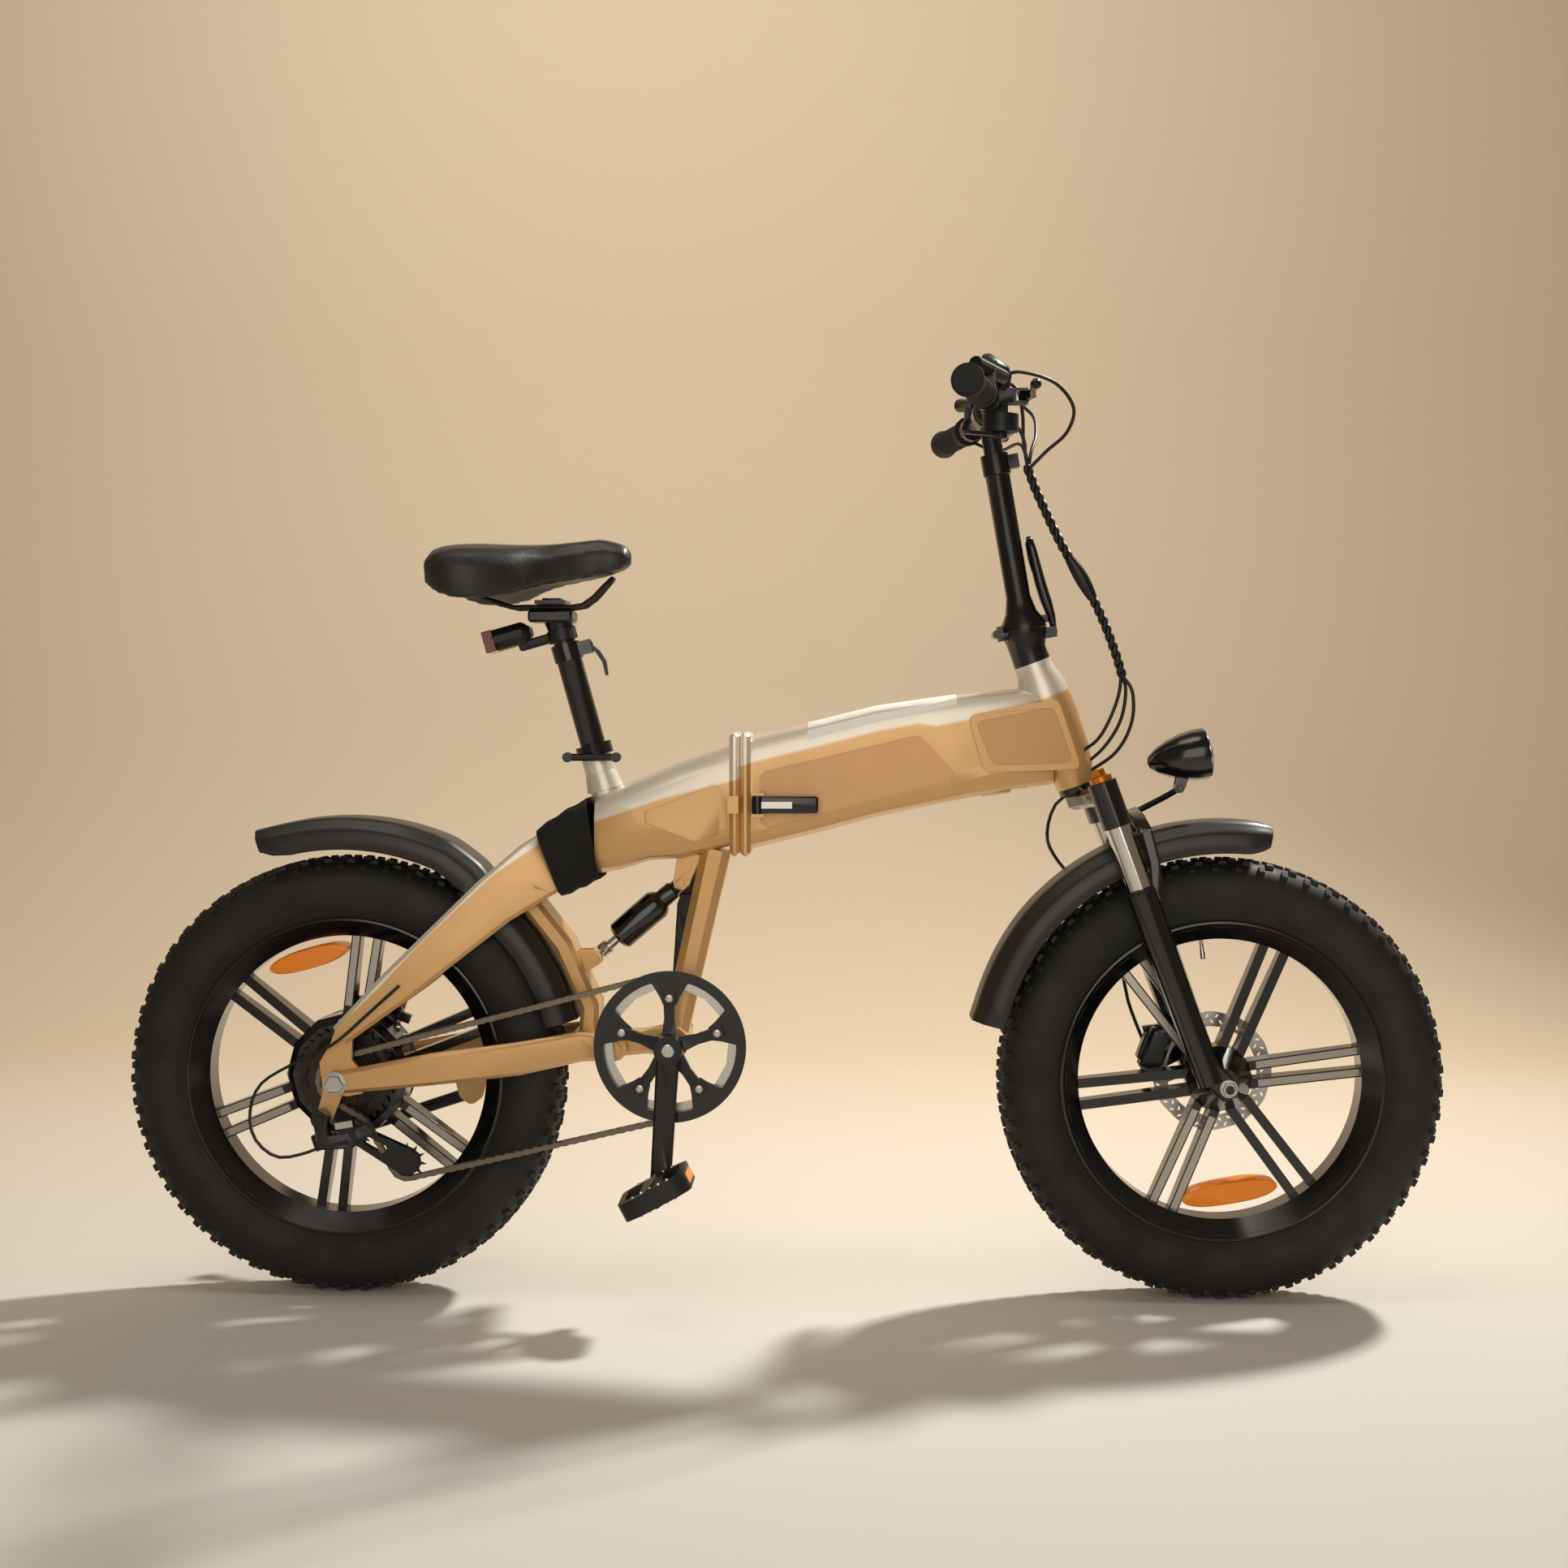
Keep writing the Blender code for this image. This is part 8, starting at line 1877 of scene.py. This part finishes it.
@dataclass
class Loom(Assembly):
    """The bundle of cables in its spiral wrap, from the controls down to the head tube."""

    wrapped: tuple[Spot, ...] = (
        (0.3180, -0.0345, 1.0880), (0.3330, -0.0350, 1.0500), (0.3620, -0.0350, 0.9890),
        (0.3890, -0.0350, 0.9440),
        (0.4130, -0.0340, 0.8990), (0.4320, -0.0320, 0.8520), (0.4430, -0.0290, 0.8180),
    )
    pitch: float = 0.024
    offset: float = 0.0024
    strand: float = 0.0040

    def build(self) -> None:
        """Wrap the bundle, and fan its cables out at each end."""
        line = smoothed(self.wrapped, 40)
        first, last = round(len(line) * 0.40), round(len(line) * 0.60)
        swell = [0.0062 + 0.0030 * math.sin(math.pi * step / (last - first - 1)) for step in range(last - first)]
        middle = Shape().tube(line[first:last], swell, 16).plain("loom_middle", math.radians(60))
        self.add(middle, CABLE_SHEATH, "stem")
        half = (first + last) // 2
        upper = self.add(self.wrap("loom_wrap", line, 0, half + 1), CABLE_SHEATH, "", "control_loom")
        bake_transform(upper)
        lower = self.add(self.wrap("loom_wrap_lower", line, half, len(line)), CABLE_SHEATH, "")
        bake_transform(lower)
        for cable in self.cables():
            cable.build()

    def wrap(self, name: str, line: Sequence[Vector], first: int, last: int) -> Piece:
        """Twist two strands round a stretch of the bundle's line.

        Args:
            name: The piece's name.
            line: The points of the whole line.
            first: Where the stretch starts.
            last: Where it ends, not counted in.

        Returns:
            The strands.
        """
        lengths = [0.0]
        for before, after in zip(line, line[1:]):
            lengths.append(lengths[-1] + (after - before).length)
        shape = Shape()
        for strand in range(2):
            path = []
            for number in range(first, last):
                near = line[min(number + 1, len(line) - 1)] - line[max(number - 1, 0)]
                way = near.normalized()
                side = (LEFTWARD - way * LEFTWARD.dot(way)).normalized()
                turn = math.tau * (lengths[number] / self.pitch + strand / 2)
                spiral = side * math.cos(turn) + way.cross(side) * math.sin(turn)
                path.append(line[number] + spiral * self.offset)
            shape.tube(path, self.strand, 10)
        return shape.plain(name, math.radians(60))

    def cables(self) -> tuple[Cable, ...]:
        """Return the loose cables above and below the wrap.

        Returns:
            The cables.
        """
        top, foot = (0.3200, -0.0345, 1.0830), (0.4420, -0.0290, 0.8200)
        return (
            Cable("right_brake_cable", "bar", (
                (0.2800, -0.1270, 1.1890), (0.3040, -0.1120, 1.1960), (0.3480, -0.0900, 1.1860),
                (0.3740, -0.0690, 1.1580),
                (0.3680, -0.0510, 1.1290), (0.3430, -0.0400, 1.1060), top)),
            Cable("gear_cable", "bar", (
                (0.2860, -0.0900, 1.1330), (0.3020, -0.0740, 1.1330), (0.3130, -0.0520, 1.1180),
                (0.3160, -0.0380, 1.1020), top)),
            Cable("left_brake_cable", "bar", (
                (0.2800, 0.1270, 1.1890), (0.3060, 0.1060, 1.1930), (0.3330, 0.0640, 1.1670),
                (0.3340, 0.0160, 1.1350),
                (0.3250, -0.0200, 1.1080), top)),
            Cable("display_cable", "bar", (
                (0.2860, -0.0180, 1.2000), (0.3060, -0.0220, 1.1880), (0.3130, -0.0270, 1.1560),
                (0.3140, -0.0320, 1.1200), top)),
            Cable("throttle_cable", "bar", (
                (0.2640, 0.1700, 1.1420), (0.2760, 0.1450, 1.1330), (0.2920, 0.0980, 1.1220),
                (0.3120, 0.0300, 1.1240),
                (0.3180, -0.0140, 1.1060), top)),
            Cable("head_cable_1", "steerer", (
                foot, (0.4480, -0.0280, 0.7980), (0.4420, -0.0250, 0.7600), (0.4230, -0.0160, 0.7260),
                (0.3960, -0.0080, 0.7000))),
            Cable("head_cable_2", "steerer", (
                foot, (0.4560, -0.0330, 0.7960), (0.4550, -0.0320, 0.7560), (0.4360, -0.0240, 0.7180),
                (0.3990, -0.0110, 0.6900))),
            Cable("head_cable_3", "steerer", (
                foot, (0.4380, -0.0350, 0.7930), (0.4260, -0.0360, 0.7600), (0.4110, -0.0290, 0.7340),
                (0.3880, -0.0160, 0.7160))),
        )


@dataclass
class Cockpit(Assembly):
    """The handlebar and everything that hands reach."""

    grip_start: Spot = (0.2507, 0.192, 1.1580)
    grip_way: Spot = (-0.2049, 0.9787, -0.0080)
    display_centre: Spot = (0.278, 0.0, 1.218)
    display_way: Spot = (0.82, 0.0, -0.57)

    def build(self) -> None:
        """Refine the bar and its controls."""
        self.refine("handlebar", BLACK_SATIN, 0.0004)
        for side in ("right", "left"):
            self.refine(f"grip_{side}", BLACK_RUBBER, 0.0005)
            self.refine(f"brake_master_{side}", BLACK_SATIN, 0.0008)
            self.refine(f"brake_lever_{side}", BLACK_SATIN, 0.0008)
        self.refine("shifter", BLACK_PLASTIC, 0.0008)
        self.refine("shift_lever", BLACK_PLASTIC, 0.0005)
        self.refine("throttle", BLACK_RUBBER, 0.0006)
        self.refine("display", BLACK_PLASTIC, 0.0010)
        self.add(self.glass(), SCREEN, "bar", bevel=0.0004)
        self.add(self.gear_window(), AMBER, "bar")
        for side, name in ((1, "left"), (-1, "right")):
            self.add(self.ribs(name, side), BLACK_RUBBER, "bar")
            self.add(self.grip_end(name, side), BLACK_RUBBER, "bar")
        Loom().build()

    def glass(self) -> Piece:
        """Lay the display's glass on its face.

        Returns:
            The piece.
        """
        way = Vector(self.display_way).normalized()
        face = Vector(self.display_centre) + way.cross(LEFTWARD) * 0.0082
        return Shape().block(face, (0.0290, 0.0545, 0.0014), way, 0.985).plain("display_glass")

    def gear_window(self) -> Piece:
        """Turn the round orange window over the gear dial.

        Returns:
            The piece.
        """
        way = Vector((0.007, 0.0, 0.032)).normalized()
        spot = Vector((0.2804, -0.1080, 1.1963)) + Vector((0.0010, 0.0, 0.0))
        profile = ((0.0, -0.0010), (0.0074, -0.0010), (0.0072, 0.0008), (0.0052, 0.0021), (0.0, 0.0027))
        return Shape().turned(spot, way, profile, 28).plain("gear_window")

    def grip_end(self, name: str, side: int) -> Piece:
        """Turn the flared outer end of a grip.

        Args:
            name: Its name.
            side: 1 for the left, -1 for the right.

        Returns:
            The piece.
        """
        way = Vector((self.grip_way[0], self.grip_way[1] * side, self.grip_way[2]))
        start = Vector((self.grip_start[0], self.grip_start[1] * side, self.grip_start[2]))
        profile = ((0.0152, 0.0900), (0.0168, 0.0930), (0.0188, 0.1060), (0.0200, 0.1160), (0.0198, 0.1182),
                   (0.0180, 0.1190), (0.0150, 0.1190))
        return Shape().turned(start, way, profile, 40, closed=True).plain(f"grip_end_{name}")

    def ribs(self, name: str, side: int) -> Piece:
        """Ring a grip with raised ribs.

        Args:
            name: Its name.
            side: 1 for the left, -1 for the right.

        Returns:
            The piece.
        """
        way = Vector((self.grip_way[0], self.grip_way[1] * side, self.grip_way[2]))
        start = Vector((self.grip_start[0], self.grip_start[1] * side, self.grip_start[2])) + way * 0.014
        profile = ((0.0160, -0.0012), (0.01705, -0.0007), (0.01705, 0.0007), (0.0160, 0.0012))
        rib = Shape().turned((0, 0, 0), way, profile, 28, closed=True).plain(f"grip_ribs_{name}")
        return along_line(rib, BLACK_RUBBER, 18, start, way * 0.0055)


@dataclass
class Lamp(Assembly):
    """The headlight."""

    front: Spot = (0.5550, 0.0, 0.7160)
    way: Spot = (0.987, 0.0, 0.160)

    def build(self) -> None:
        """Refine the housing."""
        self.refine("headlight", BLACK_GLOSS, 0.0006)
        self.add(self.bowl(), CHROME, "headlight")
        self.add(self.lens(), CLEAR_LENS, "headlight")

    def lens(self) -> Piece:
        """Turn the domed glass.

        Returns:
            The piece.
        """
        profile = ((0.0, 0.0015), (0.0290, 0.0015), (0.0300, 0.0042), (0.0270, 0.0062), (0.0180, 0.0088),
            (0.0090, 0.0102),
                   (0.0, 0.0106))
        return Shape().turned(self.front, self.way, profile, 48).plain("lamp_glass")

    def bowl(self) -> Piece:
        """Turn the bright ring behind the glass."""
        profile = ((0.0270, -0.0006), (0.0312, 0.0), (0.0318, 0.0040), (0.0300, 0.0048), (0.0270, 0.0012))
        return Shape().turned(self.front, self.way, profile, 48, closed=True).plain("lamp_ring")


@dataclass
class Pedal(Assembly):
    """A platform pedal with pins on both faces and a reflector at each end."""

    side: str
    centre: Spot
    tilt: float

    def build(self) -> None:
        """Refine the platform and add the pins and reflectors."""
        body = f"pedal_{self.side}"
        self.refine(body, BLACK_PLASTIC, 0.0006)
        turn = math.radians(self.tilt)
        along = Vector((math.cos(turn), 0, math.sin(turn)))
        self.add(self.pins(along), STEEL, body)
        for end, name in ((1, "front"), (-1, "rear")):
            spot = Vector(self.centre) + along * (end * 0.0456)
            amber = Shape().block(spot, (0.0026, 0.0480, 0.0130),
                along).plain(f"pedal_{self.side}_{name}_reflector")
            self.add(amber, AMBER, body, bevel=0.0004)

    def pins(self, along: Vector) -> Piece:
        """Stand four rows of grip pins on the platform.

        Args:
            along: The platform's long direction.

        Returns:
            The piece.
        """
        up = LEFTWARD.cross(along) * -1
        shape = Shape()
        profile = ((0.0, 0.0105), (0.0019, 0.0105), (0.0019, 0.0128), (0.0012, 0.0140), (0.0, 0.0140))
        for y in (-0.0365, 0.0365):
            for face in (1, -1):
                shape.turned(LEFTWARD * y, up * face, profile, 8)
        pins = shape.plain(f"pedal_{self.side}_pins")
        start = Vector(self.centre) - along * 0.0240
        return along_line(pins, STEEL, 5, start, along * 0.0120)


@dataclass
class DriveTrain(Assembly):
    """Cranks, rings, chain, pulleys and the changer."""

    crank: Spot = (-0.142, 0.0, 0.337)
    chain_span: tuple[Point, Point] = ((-0.240, -0.062, 0.335), (-0.470, -0.062, 0.335))

    def bolt_cap(self, name: str, y: float, radius: float, side: int) -> Piece:
        """Turn the cap over the end of the spindle.

        Args:
            name: Its name.
            y: Its place across the bicycle.
            radius: Its radius.
            side: 1 for the left, -1 for the right.

        Returns:
            The piece.
        """
        profile = ((0.0, -0.002), (radius, -0.002), (radius, 0.0012), (radius * 0.86, 0.0024),
            (radius * 0.52, 0.0024),
                   (radius * 0.48, 0.0004), (0.0, 0.0004))
        return Shape().turned((self.crank[0], y, self.crank[2]), LEFTWARD * side, profile, 28).plain(name)

    def lobed(self, outer: float, inner: float, half_lobe: float) -> list[Corner]:
        """Return a hole's outline that reaches in at each arm of the spider, in radians about the crank.

        Args:
            outer: The hole's outer radius.
            inner: Its radius at an arm.
            half_lobe: Half an arm's width, in radians.

        Returns:
            The outline's corners.
        """
        points = []
        slot = math.tau / 5
        for arm in (math.pi / 2 + number * slot for number in range(5)):
            points += [(inner, arm - half_lobe * 0.8), (inner, arm + half_lobe * 0.8),
                (inner + 0.012, arm + half_lobe * 1.05)]
            points += [(outer, arm + half_lobe * 1.45 + (slot - half_lobe * 2.9) * step / 10) for step in range(11)]
            points += [(inner + 0.012, arm + slot - half_lobe * 1.05)]
        return eased([(radius * math.cos(turn), radius * math.sin(turn)) for radius, turn in points], 0.0018, 3)

    def plate(self, name: str, y: float, thickness: float, radius: float,
        hole: list[Corner]) -> Piece:
        """Cut one round plate about the crank, with a hole."""
        return Shape().cut([disc(radius, 144), hole], thickness, (self.crank[0], y, self.crank[2])).plain(name)

    def build(self) -> None:
        """Refine each imported piece, and add the new ones."""
        self.refine("crank_arm_right", BLACK_SATIN, 0.0010)
        self.refine("crank_arm_left", BLACK_SATIN, 0.0010)
        self.refine("chainring", STEEL, 0.0)
        ring = self.plate("chainring_face", -0.0620, 0.0034, 0.0880, self.lobed(0.0762, 0.0568, 0.16))
        self.add(ring, STEEL, "crank")
        guard = self.plate("chain_guard_ring", -0.0690, 0.0030, 0.0990, self.lobed(0.0860, 0.0550, 0.19))
        self.add(guard, BLACK_GLOSS, "crank", "chain_guard", bevel=0.0005)
        face = (self.crank[0], -0.0808, self.crank[2])
        Bolts("chainring_bolts", "crank", STEEL, face, 0.065, 5, 0.0052, 0.0016, -1, -90.0).build()
        self.add(self.bolt_cap("crank_bolt_right", -0.1010, 0.0085, -1), STEEL, "crank")
        self.add(self.bolt_cap("crank_bolt_left", 0.1010, 0.0085, 1), STEEL, "crank")
        Pedal("right", (-0.1521, -0.147, 0.1673), 28.0).build()
        Pedal("left", (-0.1319, 0.147, 0.5067), 90.0).build()
        self.refine("freewheel", DARK_STEEL, 0.0)
        self.refine("upper_pulley", BLACK_PLASTIC, 0.0)
        self.refine("lower_pulley", BLACK_PLASTIC, 0.0)
        AxleNuts("rear_axle", "suspension_arm", (-0.575, 0.0, 0.29), 0.0872, 0.0128).build()
        changer = self.refine("derailleur_body", BLACK_SATIN, 0.0006)
        plate = Shape().block((-0.5600, -0.1046, 0.2395), (0.0230, 0.0012, 0.0088), (0.98, 0.0, 0.17))
        self.add(plate.plain("derailleur_plate"), STEEL, changer["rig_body"], bevel=0.0003)
        self.refine("derailleur_cage", BLACK_SATIN, 0.0004)
        self.bend("chain", LINK_STEEL, 0.0, ("rear_frame", "suspension_arm"), self.chain_span)
        self.refine("shift_cable", CABLE_SHEATH, 0.0, 60)
        self.refine("rear_caliper", BLACK_SATIN, 0.0008)


FRONT_GUARD = (
    (79.0, 0.3390, 0.010, 0.35), (81.0, 0.3402, 0.003, 0.15), (84.0, 0.3410, 0.0, 0.0),
    (100.0, 0.3400, 0.0, 0.0),
    (140.0, 0.3380, 0.0, 0.0), (158.0, 0.3340, 0.0, 0.0), (163.0, 0.3335, -0.001, 0.0),
    (166.5, 0.3345, 0.002, 0.0),
)
REAR_GUARD = (
    (14.0, 0.3175, 0.004, 0.0), (48.0, 0.3180, 0.002, 0.0), (57.0, 0.3350, 0.001, 0.0),
    (66.0, 0.3430, 0.0, 0.0),
    (95.0, 0.3430, 0.0, 0.0), (103.0, 0.3430, 0.0, 0.0), (107.0, 0.3440, 0.001, 0.10),
    (110.0, 0.3455, 0.006, 0.30),
)


# Studio


@dataclass(frozen=True)
class Backdrop(Finish):
    """Seamless paper: pale on the floor, with painted shade that makes it darker and warmer where it rises behind.
    """

    # Painted shade: the rising paper gets a darker, warmer colour than the floor.
    wall: Colour = paint(220, 204, 180)

    def detail(self, recipe: Recipe) -> None:
        """Blend the floor's colour into the wall's painted shade."""
        rise = recipe.axis("Y").above(0.7, 2.1)
        recipe.set("Base Color", recipe.blend(rise, self.colour, self.wall))


@dataclass
class Studio:
    """The camera, the paper sweep and soft lamps."""

    eye: Spot = (0.09284, -2.72236, 0.7885)
    forward: Spot = (-0.0327, 0.9986, -0.0415)
    lens: float = 47.42
    paper: Finish = Backdrop("seamless_paper", Slot.PLASTIC, paint(224, 223, 218), 0.85)

    def build(self) -> None:
        """Set the view, the sweep and the light."""
        scene = bpy.context.scene
        scene.view_settings.view_transform = "Standard"
        self.camera(scene)
        self.sweep()
        self.air(scene)
        self.lamp("key_lamp", (2.6, 2.3, 4.2), (0.0, 0.0, 0.4), 0.42, 52.0, paint(255, 250, 242), 80)
        self.lamp("front_lamp", (0.1, -4.4, 1.8), (0.0, 0.0, 0.65), 3.2, 58.0, paint(255, 248, 238))
        self.lamp("top_lamp", (-0.3, -0.4, 3.6), (0.0, 0.0, 0.5), 1.8, 6.0, paint(255, 240, 220))
        self.lamp("wall_lamp", (-0.8, 0.2, 4.4), (-0.3, 3.7, 1.9), 3.0, 66.0, paint(255, 250, 242), 122)

    def camera(self, scene: bpy.types.Scene) -> None:
        """Stand the camera where the photograph was taken.

        Args:
            scene: The scene.
        """
        data = bpy.data.cameras.new("camera")
        data.sensor_width = 36
        data.lens = self.lens
        made = bpy.data.objects.new("camera", data)
        made.location = self.eye
        made.rotation_euler = Vector(self.forward).to_track_quat("-Z", "Y").to_euler()
        scene.collection.objects.link(made)
        scene.camera = made

    def sweep(self) -> None:
        """Lay the paper that runs up behind the object in a wide curve."""
        bend, wall = 1.9, 3.7
        section = [(-6.0, -0.0005), (wall - bend, -0.0005)]
        for angle in range(6, 91, 6):
            turn = math.radians(angle)
            section.append((wall - bend + math.sin(turn) * bend, bend - 0.0005 - math.cos(turn) * bend))
        section.append((wall, 7.0))
        shape = Shape()
        lines = [[shape.mesh.verts.new((x, y, z)) for x in (-7.0, 7.0)] for y, z in section]
        for low, high in zip(lines, lines[1:]):
            shape.mesh.faces.new((low[0], low[1], high[1], high[0]))
        paper = shape.plain("paper_sweep", math.radians(60))
        paper.data.materials.append(self.paper.material())
        paper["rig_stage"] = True

    def air(self, scene: bpy.types.Scene) -> None:
        """Fill the room with an even warm light.

        Args:
            scene: The scene.
        """
        world = bpy.data.worlds.new("air")
        world.use_nodes = True
        ground = world.node_tree.nodes["Background"]
        ground.inputs["Color"].default_value = paint(255, 232, 202)
        ground.inputs["Strength"].default_value = 0.18
        scene.world = world

    def lamp(
        self, name: str, spot: Point, aim: Point, size: float, power: float, colour: Colour,
        spread: float = 180.0,
    ) -> None:
        """Hang one soft square lamp.

        Args:
            name: Its name.
            spot: Where it hangs.
            aim: What it faces.
            size: Its width.
            power: Its watts.
            colour: Its colour.
            spread: How wide its beam opens, in degrees.
        """
        data = bpy.data.lights.new(name, "AREA")
        data.spread = math.radians(spread)
        data.size = size
        data.energy = power
        data.color = colour[:3]
        made = bpy.data.objects.new(name, data)
        made.location = spot
        made.rotation_euler = (Vector(aim) - Vector(spot)).to_track_quat("-Z", "Y").to_euler()
        bpy.context.scene.collection.objects.link(made)


def corners() -> list[list[float]]:
    """Return the whole model's lowest and highest corners as plain lists."""
    return [[float(number) for number in corner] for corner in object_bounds()]


def main() -> None:
    """Build every sub-assembly in order."""
    logging.basicConfig(level=logging.INFO, format="%(message)s")
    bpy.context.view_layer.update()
    Studio().build()
    front, rear = (0.575, 0.0, 0.29), (-0.575, 0.0, 0.29)
    assemblies = (
        Tyre("front", front, FRONT_RUBBER, 0.0),
        Tyre("rear", rear, REAR_RUBBER, 2.0),
        Wheel("front", front, 0.044, STEEL_FRONT, 97.2, ((0.528, 0.128), (0.652, 0.150)), 0.0145,
            (7.2, 127.2, 247.2), 0.036),
        Wheel("rear", rear, 0.050, STEEL_REAR, 52.0, ((-0.679, 0.428), (-0.575, 0.458)), 0.0135,
            (82.0, 202.0, 322.0), 0.076),
        Mudguard("front", "fork_lower", front, FRONT_GUARD),
        Mudguard("rear", "suspension_arm", rear, REAR_GUARD),
        Frame(), SeatPost(), Saddle(), Fork(), Shock(), Stem(), Cockpit(), Lamp(), DriveTrain(),
    )
    for assembly in assemblies:
        assembly.build()


if __name__ == "__main__":
    main()
